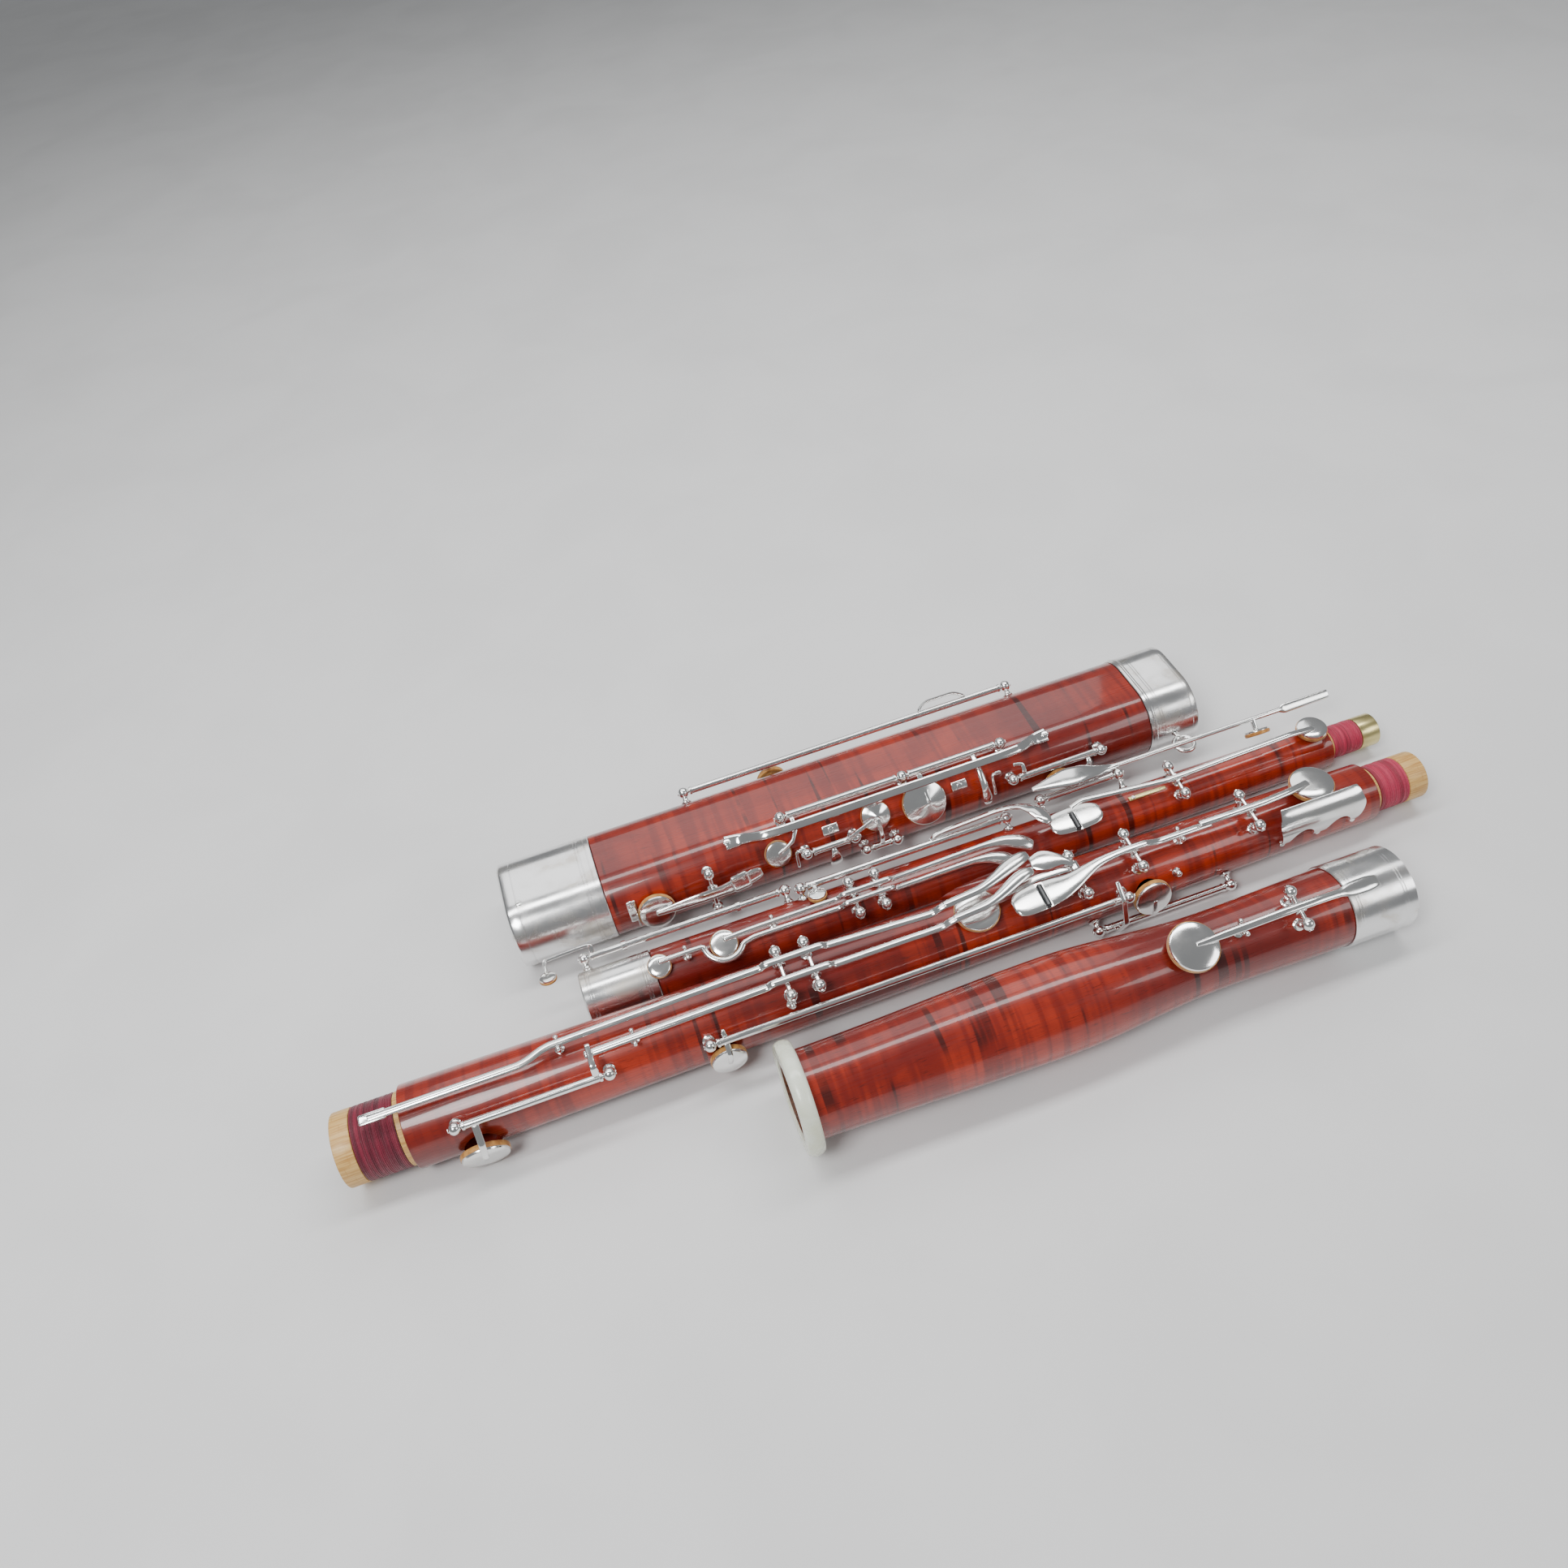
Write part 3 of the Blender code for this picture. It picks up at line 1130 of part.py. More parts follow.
def boot_body(joint):
    """Oval maple block with its two bores, sockets and tone holes."""
    end = BOOT_LENGTH - GAP - BOOT_CAP_WALL
    ferrule = BOOT_LENGTH - BOOT_FERRULE
    spigot = BOOT_CAP - BOOT_SPIGOT
    neck = BOOT_RADIUS - BOOT_CAP_WALL - GAP
    block = plug((
        (spigot, neck), (BOOT_CAP, neck), (BOOT_CAP, BOOT_RADIUS),
        (ferrule, BOOT_RADIUS), (ferrule, neck), (end, neck)), ROUND, BOOT_SPREAD)
    cuts = []
    for across, bore, tenon, depth in (
            (-BOOT_BORE_OFFSET, BOOT_WING_BORE, WING_TENON_RADIUS, WING_TENON),
            (BOOT_BORE_OFFSET, BOOT_LONG_BORE, LONG_LOWER_TENON_RADIUS, LONG_LOWER_TENON)):
        socket = tenon + TENON_FIT
        floor = BOOT_LENGTH - depth - SOCKET_EXTRA
        drill = plug((
            (spigot - 2.0, bore), (floor, bore), (floor, socket), (BOOT_LENGTH + 2.0, socket)), 20)
        cuts.append(shifted(drill, across))
    for station, angle, size in BOOT_HOLES:
        cutter = hole(station, angle, size, BOOT_RADIUS + TONE_OUT, TONE_IN)
        cuts.append(shifted(cutter, -BOOT_SPREAD))
    size = BACK_CUP_RADIUS - TONE_CLEARANCE
    cutter = hole(BACK_CUP_AT, BACK_CUP_ANGLE, size, BOOT_RADIUS + TONE_OUT, TONE_IN)
    cuts.append(shifted(cutter, BOOT_SPREAD))
    build("boot_body", joint, "maple", [block], cuts)


def boot_metal(joint):
    """Bottom cap, U tube inside it, and the ferrule round the sockets."""
    inner = BOOT_RADIUS - BOOT_CAP_WALL
    outer = BOOT_RADIUS + METAL_PROUD
    cap_cut = plug(((BOOT_CAP_FLOOR, inner), (BOOT_CAP + 2.0, inner)), ROUND, BOOT_SPREAD)
    shell = plug(((0.0, outer - 1.6), (1.6, outer), (BOOT_CAP - GAP, outer)), ROUND, BOOT_SPREAD)
    build("boot_bottom_cap", joint, "silver", [shell], [cap_cut])

    spigot = BOOT_CAP - BOOT_SPIGOT - GAP
    bend = BOOT_BORE_OFFSET
    lead = spigot - U_TUBE_FLANGE - 0.6
    depth = lead - BOOT_CAP_FLOOR - U_TUBE_CLEAR - BOOT_LONG_BORE - U_TUBE_WALL
    route = [(spigot - 0.2, -bend, 0.0)]
    steps = 8
    for index in range(steps + 1):
        angle = math.pi * index / steps
        route.append((lead - depth * math.sin(angle), -bend * math.cos(angle), 0.0))
    route.append((spigot - 0.2, bend, 0.0))
    tube = pipe(route, BOOT_LONG_BORE + U_TUBE_WALL, BOOT_LONG_BORE, 10)
    flange_start = spigot - U_TUBE_FLANGE
    flange = plug(((flange_start, 11.4), (spigot, 11.4)), 24, bend * 0.62)
    openings = []
    for across in (-bend, bend):
        drill = plug(((flange_start - 1.0, BOOT_LONG_BORE), (spigot + 1.0, BOOT_LONG_BORE)), 14)
        openings.append(shifted(drill, across))
    build("boot_u_tube", joint, "nickel", [flange, tube], openings)

    start = BOOT_LENGTH - BOOT_FERRULE + GAP
    sleeve = plug((
        (start, outer), (start + 2.0, outer), (start + 2.6, outer + 0.5), (start + 3.6, outer + 0.5),
        (start + 4.2, outer), (BOOT_LENGTH, outer)), ROUND, BOOT_SPREAD)
    hollow = plug(((start - 2.0, inner), (BOOT_LENGTH - BOOT_CAP_WALL, inner)), ROUND, BOOT_SPREAD)
    mouths = []
    for across, tenon in (
            (-BOOT_BORE_OFFSET, WING_TENON_RADIUS),
            (BOOT_BORE_OFFSET, LONG_LOWER_TENON_RADIUS)):
        size = tenon + TENON_FIT
        mouths.append(shifted(plug(((BOOT_LENGTH - 4.0, size), (BOOT_LENGTH + 2.0, size)), 20), across))
    build("boot_top_ferrule", joint, "silver", [sleeve], [hollow] + mouths)


def boot_upper_keys(front):
    """Two keys that share the upper rod."""
    reach = BOOT_RADIUS + BOOT_UPPER_REACH
    first, middle, last = BOOT_UPPER_POSTS
    rod_posts("boot_upper_posts", front, BOOT_UPPER_POSTS, BOOT_UPPER_ANGLE, reach)
    turn = TRILL_CUP_ANGLE - BOOT_UPPER_ANGLE
    seat = BOOT_RADIUS + PAD_LIFT - 1.4
    at = first + BALL + 3.0
    bend = polar(at, turn * 0.45, reach + 0.8)
    thin = arm((from_barrel(at, bend, reach), bend, polar(at - 4.0, turn * 0.75, seat + 5.6),
                polar(TRILL_CUP_AT, turn, seat + 4.2)), 2.8, 1.8)
    pad = cup(TRILL_CUP_AT, turn, seat, TRILL_CUP_RADIUS, 4.0, 0.5)
    rod_key("boot_trill_key", front, BOOT_UPPER_ANGLE, reach, first, middle, [thin, pad])

    turn = G_CUP_ANGLE - BOOT_UPPER_ANGLE
    seat = BOOT_RADIUS + PAD_LIFT - 0.6
    at = G_CUP_AT + 2.0
    bend = polar(at, turn * 0.5, reach + 0.6)
    holder = arm((from_barrel(at, bend, reach), bend, polar(at, turn * 0.98, seat + 3.4 + G_CONE)), 3.4, 1.8)
    cone = cup(G_CUP_AT, turn, seat, G_CUP_RADIUS, 3.4, G_CONE, 24)
    tear_bend = polar(TEAR_AT, turn * 0.6, reach + 2.0)
    tear = sweep((
        (*from_barrel(TEAR_AT, tear_bend, reach), 1.8, 1.2), (*tear_bend, 1.8, 1.2),
        (*polar(TEAR_AT, turn * 1.05, reach + 3.6), 2.0, 1.1),
        (*polar(TEAR_AT + 0.5, turn * 1.45, reach + 3.0), 3.2, 1.1),
        (*polar(TEAR_AT + 1.0, turn * 1.66, reach + 1.8), 2.0, 0.9)), 8, (0.0, 0.0, 1.0))
    rod_key("boot_g_key", front, BOOT_UPPER_ANGLE, reach, middle, last, [holder, cone, tear])


def boot_side_keys(front):
    """Paddle, spun cone pad and B flat keys along the lower front."""
    reach = BOOT_RADIUS + PADDLE_REACH
    first, last = PADDLE_POSTS
    rod_posts("boot_paddle_posts", front, PADDLE_POSTS, PADDLE_ANGLE, reach)
    bend = polar(PADDLE_AT, 8.0, reach + 2.0)
    paddle = sweep((
        (*from_barrel(PADDLE_AT, bend, reach), 1.6, 1.0), (*bend, 1.8, 1.0),
        (*polar(PADDLE_AT, 16.0, reach + 2.6), 3.6, 1.0), (*polar(PADDLE_AT, 25.0, reach + 1.8), 3.9, 1.0),
        (*polar(PADDLE_AT, 30.0, reach + 0.8), 2.2, 0.8)))
    at = last - BALL - 2.6
    over = BOOT_RADIUS + PAD_LIFT + 3.4 + G_CONE + 2.2
    arch_turn = CONE_CUP_ANGLE - PADDLE_ANGLE
    arch = arm((
        from_barrel(at, polar(at, -5.0, reach + 6.0), reach), polar(at, -5.0, over + 1.0),
        polar(at + 5.0, -9.0, over + 1.4), polar(CONE_CUP_AT - 3.6, arch_turn, over + 1.0)), 2.8, 1.6)
    rod_key("boot_paddle_key", front, PADDLE_ANGLE, reach, first, last, [paddle, arch])

    reach = BOOT_RADIUS + CONE_REACH
    first, last = CONE_POSTS
    rod_posts("boot_cone_posts", front, CONE_POSTS, CONE_ANGLE, reach)
    turn = CONE_CUP_ANGLE - CONE_ANGLE
    seat = BOOT_RADIUS + PAD_LIFT - 0.8
    at = CONE_CUP_AT
    bend = polar(at, turn * 0.4, reach + 2.6)
    holder = arm((from_barrel(at, bend, reach), bend, polar(at, turn * 0.96, seat + 3.0 + G_CONE)), 3.0, 1.8)
    cone = cup(at, turn, seat, CONE_CUP_RADIUS, 3.0, G_CONE, 24)
    rod_key("boot_cone_key", front, CONE_ANGLE, reach, first, last, [holder, cone])

    reach = BOOT_RADIUS + B_FLAT_REACH
    first, last = B_FLAT_POSTS
    rod_posts("boot_b_flat_posts", front, B_FLAT_POSTS, B_FLAT_ANGLE, reach)
    turn = B_FLAT_CUP_ANGLE - B_FLAT_ANGLE
    seat = BOOT_RADIUS + PAD_LIFT - 0.6
    crown = seat + 4.6
    at = last - BALL - 6.0
    bend = polar(at, turn * 0.35, reach + 2.6)
    sickle = sweep((
        (*from_barrel(at, bend, reach), 1.6, 1.1), (*bend, 1.8, 1.1),
        (*polar(at - 5.0, turn * 0.8, crown + 1.6), 2.0, 1.1),
        (*polar(B_FLAT_CUP_AT + 4.0, turn, crown + 0.4), 2.0, 1.0),
        (*polar(B_FLAT_CUP_AT, turn, crown), 1.8, 0.9)))
    pad = cup(B_FLAT_CUP_AT, turn, seat, B_FLAT_CUP_RADIUS, 4.0, 0.5)
    near = first + BALL + 3.4
    peak = polar(near, -16.0, reach + 3.2)
    arch = arm((
        from_barrel(near, polar(near, -6.0, reach + 2.0), reach), polar(near, -7.0, reach + 3.4),
        peak, polar(near - 6.0, -18.0, reach + 3.4)), 2.8, 1.8)
    rod_key("boot_b_flat_key", front, B_FLAT_ANGLE, reach, first, last, [sickle, pad, arch])


def boot_f_key(front):
    """Pad lever near the bottom cap, on a cross axle between two long posts."""
    reach = BOOT_RADIUS + F_REACH
    height = axle_height(F_SPLAY, reach)
    cross_posts("boot_f_posts", front, F_AXLE, F_ROLL, F_SPLAY, reach)
    turn = F_CUP_ANGLE - F_ROLL
    seat = BOOT_RADIUS + PAD_LIFT - 0.4
    top = height + HUB_TO_BAR
    plate = sweep((
        (F_CUP_AT - 1.0, -2.2, seat + 5.0, 1.6, 0.9), (F_CUP_AT + 12.0, -1.6, top - 2.2, 2.8, 1.0),
        (F_AXLE - 8.0, 0.0, top, 3.2, 1.1), (F_AXLE + 4.0, 0.0, top, 3.2, 1.1),
        (F_AXLE + 12.0, 0.6, top, 4.0, 1.1), (F_AXLE + 26.0, 3.0, top - 0.6, 4.0, 1.1),
        (F_AXLE + 30.0, 3.6, top - 0.8, 2.6, 0.9)), 8)
    pad = cup(F_CUP_AT, turn, seat, F_CUP_RADIUS, 4.4, 0.4)
    lever("boot_f_key", front, F_ROLL, (F_AXLE, 0.0), height, [plate, pad])


def boot_back_key(back):
    """Long rod at the back with a hump bracket and a pad cup underneath."""
    reach = BOOT_RADIUS + BACK_REACH
    first, last = BACK_POSTS
    rod_posts("boot_back_posts", back, BACK_POSTS, BACK_ANGLE, reach)
    turn = BACK_CUP_ANGLE - BACK_ANGLE
    seat = BOOT_RADIUS + PAD_LIFT - 0.6
    bend = polar(BACK_CUP_AT, turn * 0.45, reach + 2.0)
    crown = polar(BACK_CUP_AT, turn, seat + 4.6)
    holder = arm((from_barrel(BACK_CUP_AT, bend, reach), bend, crown), 3.4, 1.8)
    pad = cup(BACK_CUP_AT, turn, seat, BACK_CUP_RADIUS, 4.0, 0.5)
    at = BACK_HUMP_AT
    rise = reach + 6.4
    hump = sweep(bar_route((
        (at - 16.0, 0.0, reach + 1.9), (at - 13.0, 0.0, reach + 4.4),
        (at - 9.0, 0.0, rise), (at + 9.0, 0.0, rise),
        (at + 13.0, 0.0, reach + 4.4), (at + 16.0, 0.0, reach + 1.9)), 5.0, 2.0))
    rod_key("boot_back_key", back, BACK_ANGLE, reach, first, last, [holder, pad, hump])


def boot_fittings(front):
    """Guard rail over the front keys, and the lock ring at the ferrule."""
    foot = BOOT_RADIUS + GAP + 0.9
    top = BOOT_RADIUS + RAIL_REACH
    rise = RAIL_ANGLE
    low = RAIL_FOOT_ANGLE
    rail = sweep((
        (*polar(RAIL_START - 4.0, low, foot), 4.0, 0.9),
        (*polar(RAIL_START + 5.0, low + 1.0, foot), 3.4, 0.9),
        (*polar(RAIL_START + 10.0, low + 5.0, foot + 4.0), 2.8, 1.0),
        (*polar(RAIL_START + 18.0, rise - 1.0, top - 0.6), 2.7, 1.2),
        (*polar(RAIL_START + 30.0, rise, top), 2.7, 1.3),
        (*polar(RAIL_END - 30.0, rise, top), 2.7, 1.3),
        (*polar(RAIL_END - 18.0, rise - 1.0, top - 0.6), 2.7, 1.2),
        (*polar(RAIL_END - 10.0, low + 5.0, foot + 4.0), 2.8, 1.0),
        (*polar(RAIL_END - 5.0, low + 1.0, foot), 3.4, 0.9),
        (*polar(RAIL_END + 4.0, low, foot), 4.0, 0.9)),
        8, polar(0.0, rise, 1.0))
    build("boot_guard_rail", front, "silver", [rail])

    at = BOOT_LENGTH - BOOT_FERRULE / 2.0
    seat = BOOT_RADIUS + METAL_PROUD + GAP
    stem = peg((at, 0.0, seat), (at, 0.0, seat + LOCK_STEM), LOCK_STEM_RADIUS, 10)
    centre = seat + LOCK_STEM + LOCK_RING_RADIUS - LOCK_WIRE * 1.2
    circle = []
    for index in range(12):
        turn = math.tau * index / 12.0
        station = at + LOCK_RING_RADIUS * math.cos(turn)
        circle.append((station, 0.0, centre + LOCK_RING_RADIUS * math.sin(turn)))
    ring = torus_ring(circle, LOCK_WIRE)
    build("boot_lock_ring", front, "silver", [stem, ring], roll=LOCK_ANGLE, pivot=(at, 0.0, seat))


# ==================================================================== bell joint
BELL_AXLE = 276.0
BELL_ROLL = 20.0
BELL_SPLAY = 17.0
BELL_AXLE_REACH = 10.0
BELL_CUP_AT = 217.0
BELL_CUP_RADIUS = 13.4
BELL_LEVER_END = 322.0


def bell_radius(station):
    """Radius of the bell's wood: slim mouth, belly, waist, and a wider top."""
    stops = ((BELL_RING_LENGTH, BELL_MOUTH_RADIUS), (BELL_BELLY_AT, BELL_BELLY_RADIUS),
             (BELL_WAIST_AT, BELL_WAIST_RADIUS), (BELL_LENGTH - BELL_FERRULE, BELL_TOP_RADIUS))
    if station <= stops[0][0]:
        return stops[0][1]
    for (first, low), (second, high) in zip(stops, stops[1:]):
        if station <= second:
            share = (station - first) / (second - first)
            ease = (1.0 - math.cos(share * math.pi)) / 2.0
            return low + (high - low) * ease
    return stops[-1][1]


def bell_bore(station):
    """Radius of the bell's bore, from the mouth to the bottom of the socket."""
    depth = BELL_LENGTH - LONG_UPPER_TENON - SOCKET_EXTRA
    return BELL_BORE_MOUTH + (LONG_BORE_TOP - BELL_BORE_MOUTH) * station / depth


def bell_parts(joint):
    """Wooden bell, its ring at the mouth and the ferrule round its socket."""
    start = BELL_RING_LENGTH
    end = BELL_LENGTH - BELL_FERRULE
    socket = LONG_UPPER_TENON_RADIUS + TENON_FIT
    ring_seat = BELL_MOUTH_RADIUS - BELL_RING_SEAT
    ferrule_seat = socket + BELL_WALL_END - BELL_FERRULE_WALL - GAP
    top = BELL_LENGTH - BELL_FERRULE_WALL - GAP
    profile = [(BELL_LIP, ring_seat), (start, ring_seat)]
    steps = 12
    for index in range(steps + 1):
        station = start + (end - start) * index / steps
        profile.append((station, bell_radius(station)))
    floor = BELL_LENGTH - LONG_UPPER_TENON - SOCKET_EXTRA
    profile += [(end, ferrule_seat), (top, ferrule_seat), (top, socket), (floor, socket)]
    profile += [(floor, LONG_BORE_TOP), (BELL_LIP, BELL_BORE_MOUTH)]
    body = turned(profile)
    cutter = hole(BELL_CUP_AT, BELL_ROLL, BELL_CUP_RADIUS - TONE_CLEARANCE,
                  bell_radius(BELL_CUP_AT) + TONE_OUT, bell_bore(BELL_CUP_AT) - TONE_IN)
    build("bell_body", joint, "maple", [body], [cutter])

    inner = ring_seat + GAP
    shoulder = BELL_RING_RADIUS - BELL_RING_ROUND
    ring = [(BELL_RING_LENGTH - GAP, inner), (0.0, inner), (0.0, shoulder)]
    for index in range(1, 4):
        angle = math.pi * index / 4.0
        station = BELL_RING_LENGTH * 0.5 * (1.0 - math.cos(angle))
        ring.append((station, shoulder + BELL_RING_ROUND * math.sin(angle)))
    ring.append((BELL_RING_LENGTH - GAP, shoulder - GAP))
    build("bell_ring", joint, "ivory", [turned(ring)])

    outer = socket + BELL_WALL_END
    skin = ferrule_seat + GAP
    ferrule = (
        (end + GAP, outer), (BELL_LENGTH, outer), (BELL_LENGTH, socket),
        (BELL_LENGTH - BELL_FERRULE_WALL, socket), (BELL_LENGTH - BELL_FERRULE_WALL, skin), (end + GAP, skin))
    build("bell_ferrule", joint, "silver", [turned(ferrule)])


def bell_key(joint):
    """Low B flat pad lever on top of the bell."""
    reach = bell_radius(BELL_AXLE) + BELL_AXLE_REACH
    height = axle_height(BELL_SPLAY, reach)
    cross_posts("bell_posts", joint, BELL_AXLE, BELL_ROLL, BELL_SPLAY, reach)
    seat = bell_radius(BELL_CUP_AT) + PAD_LIFT - 0.2
    top = height + HUB_TO_BAR
    beam = sweep((
        (BELL_CUP_AT, 0.0, seat + 5.0, 1.2, 1.0), (BELL_CUP_AT + 16.0, 0.0, seat + 6.4, 2.0, 1.2),
        (BELL_AXLE - 10.0, 0.0, top, 2.1, 1.1), (BELL_AXLE + 10.0, 0.0, top, 2.1, 1.1),
        (BELL_LEVER_END - 22.0, 0.0, height + 1.4, 2.1, 1.1),
        (BELL_LEVER_END - 19.0, 0.0, height + 1.2, 3.0, 1.0),
        (BELL_LEVER_END - 6.0, 0.0, height + 0.6, 3.4, 1.0), (BELL_LEVER_END, 0.0, height + 0.2, 2.0, 0.8)))
    pad = cup(BELL_CUP_AT, 0.0, seat, BELL_CUP_RADIUS)
    lever("bell_key", joint, BELL_ROLL, (BELL_AXLE, 0.0), height, [beam, pad])


# ==================================================================== assembly
def lying(first_at, first_radius, second_at, second_radius):
    """Return the height at station 0 and the slope that rest a taper on the floor.

    A turned piece lies on one of its flats, which is nearer the axis than its corners.
    """
    flat = math.cos(math.pi / ROUND)
    slope = flat * (second_radius - first_radius) / (second_at - first_at)
    return flat * first_radius - slope * first_at, -math.atan(slope)


def main():
    """Build the four joints and centre them on their footprint."""
    clear_scene()
    layout = bpy.data.objects.new("layout", None)
    bpy.context.collection.objects.link(layout)

    height, slope = lying(LONG_UPPER_TENON, LONG_TOP_RADIUS, LONG_LENGTH - LONG_LOWER_TENON, LONG_END_RADIUS)
    long_joint = Joint("long", layout, LONG_AT, height, slope, long_radius)
    long_body(long_joint)
    run = low_levers(long_joint)
    low_b_cup(long_joint, run)
    low_c_key(long_joint)
    low_d_key(long_joint)
    roller_levers(long_joint)
    leaf_key(long_joint)
    long_guard(long_joint)

    height, slope = lying(WING_FERRULE, WING_TOP_RADIUS + WING_FERRULE_PROUD,
                          WING_LENGTH - WING_TENON, WING_END_RADIUS)
    wing = Joint("wing", layout, WING_AT, height, slope, wing_radius)
    wing_body(wing)
    wing_levers(wing)
    wing_c_sharp(wing)
    whisper_key(wing)
    wing_roller(wing)
    blade_key(wing)

    height, slope = lying(BOOT_CAP / 2.0, BOOT_RADIUS + 0.5, BOOT_LENGTH - BOOT_FERRULE, BOOT_RADIUS + 1.0)
    boot = Joint("boot", layout, BOOT_AT, height, slope, boot_radius)
    front = boot.side("boot_front", -BOOT_SPREAD)
    back = boot.side("boot_back", BOOT_SPREAD)
    boot_body(boot)
    boot_metal(boot)
    boot_upper_keys(front)
    boot_side_keys(front)
    boot_f_key(front)
    boot_back_key(back)
    boot_fittings(front)

    ferrule_radius = LONG_UPPER_TENON_RADIUS + TENON_FIT + BELL_WALL_END
    height, slope = lying(BELL_RING_LENGTH / 2.0, BELL_RING_RADIUS, BELL_LENGTH, ferrule_radius)
    bell = Joint("bell", layout, BELL_AT, height, slope, bell_radius)
    bell_parts(bell)
    bell_key(bell)

    bpy.context.view_layer.update()
    corners = []
    for obj in bpy.data.objects:
        if obj.type == "MESH":
            corners += [obj.matrix_world @ vertex.co for vertex in obj.data.vertices]
    low = [min(corner[axis] for corner in corners) for axis in range(3)]
    high = [max(corner[axis] for corner in corners) for axis in range(3)]
    layout.location = (-(low[0] + high[0]) / 2.0, -(low[1] + high[1]) / 2.0, -low[2])
    bpy.context.view_layer.update()


main()
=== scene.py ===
"""The looks of a bassoon that lies in its four joints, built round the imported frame.

Every shape is made in one joint's own millimetres: x runs along the bore, y to the back and z up.
A place on a joint is a station x, an angle from z towards the front, and a radius from the bore.
A key is made in a frame rolled about the bore, so that its z points away from the wood.
"""

import json
import logging
import math
from dataclasses import dataclass, replace
from enum import Enum
from typing import Callable, Sequence

import bmesh
import bpy
from mathutils import Matrix, Vector


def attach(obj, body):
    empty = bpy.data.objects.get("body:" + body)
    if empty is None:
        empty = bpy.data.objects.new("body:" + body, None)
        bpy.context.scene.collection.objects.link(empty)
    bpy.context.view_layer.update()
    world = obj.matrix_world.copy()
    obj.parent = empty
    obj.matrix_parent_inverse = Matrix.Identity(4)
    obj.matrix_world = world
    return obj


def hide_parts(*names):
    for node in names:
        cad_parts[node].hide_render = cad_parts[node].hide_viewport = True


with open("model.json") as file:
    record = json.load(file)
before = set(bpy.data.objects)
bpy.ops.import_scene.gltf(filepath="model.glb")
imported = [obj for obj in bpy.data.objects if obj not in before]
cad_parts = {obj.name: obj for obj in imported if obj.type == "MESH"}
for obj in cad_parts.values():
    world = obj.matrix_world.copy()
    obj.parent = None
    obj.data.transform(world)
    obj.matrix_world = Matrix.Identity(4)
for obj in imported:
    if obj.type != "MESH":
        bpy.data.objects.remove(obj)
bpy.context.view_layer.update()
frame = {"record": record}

LOG = logging.getLogger("bassoon")
MM = 0.001
GAP = 0.3
SINK = GAP * 0.2
SMOOTH_BELOW = 32.0
PAD_SIDES = 48
FINE_SIDES = 64
POLISHED_SIDES = 20
TURNED_SIDES = 96
UP = (0.0, 0.0, 1.0)
ALONG = (1.0, 0.0, 0.0)
ACROSS = (0.0, 1.0, 0.0)

Numbers = Sequence[float]
Route = Sequence[Numbers]
Solid = bpy.types.Object
Material = bpy.types.Material
Socket = bpy.types.NodeSocket


# ==================================================================== finishes
class Finish(Enum):
    """The named finishes of the instrument."""

    MAPLE = "maple_lacquer"
    BARE_MAPLE = "bare_maple"
    BORE = "stained_bore"
    SILVER = "polished_silver"
    TURNED_SILVER = "turned_silver"
    BURGUNDY = "burgundy_thread"
    PINK = "pink_thread"
    BRASS = "old_brass"
    IVORY = "ivory_ring"
    PAD = "pad_leather"
    ROLLER = "dark_roller"
    NICKEL = "plain_nickel"
    FLOOR = "pale_floor"


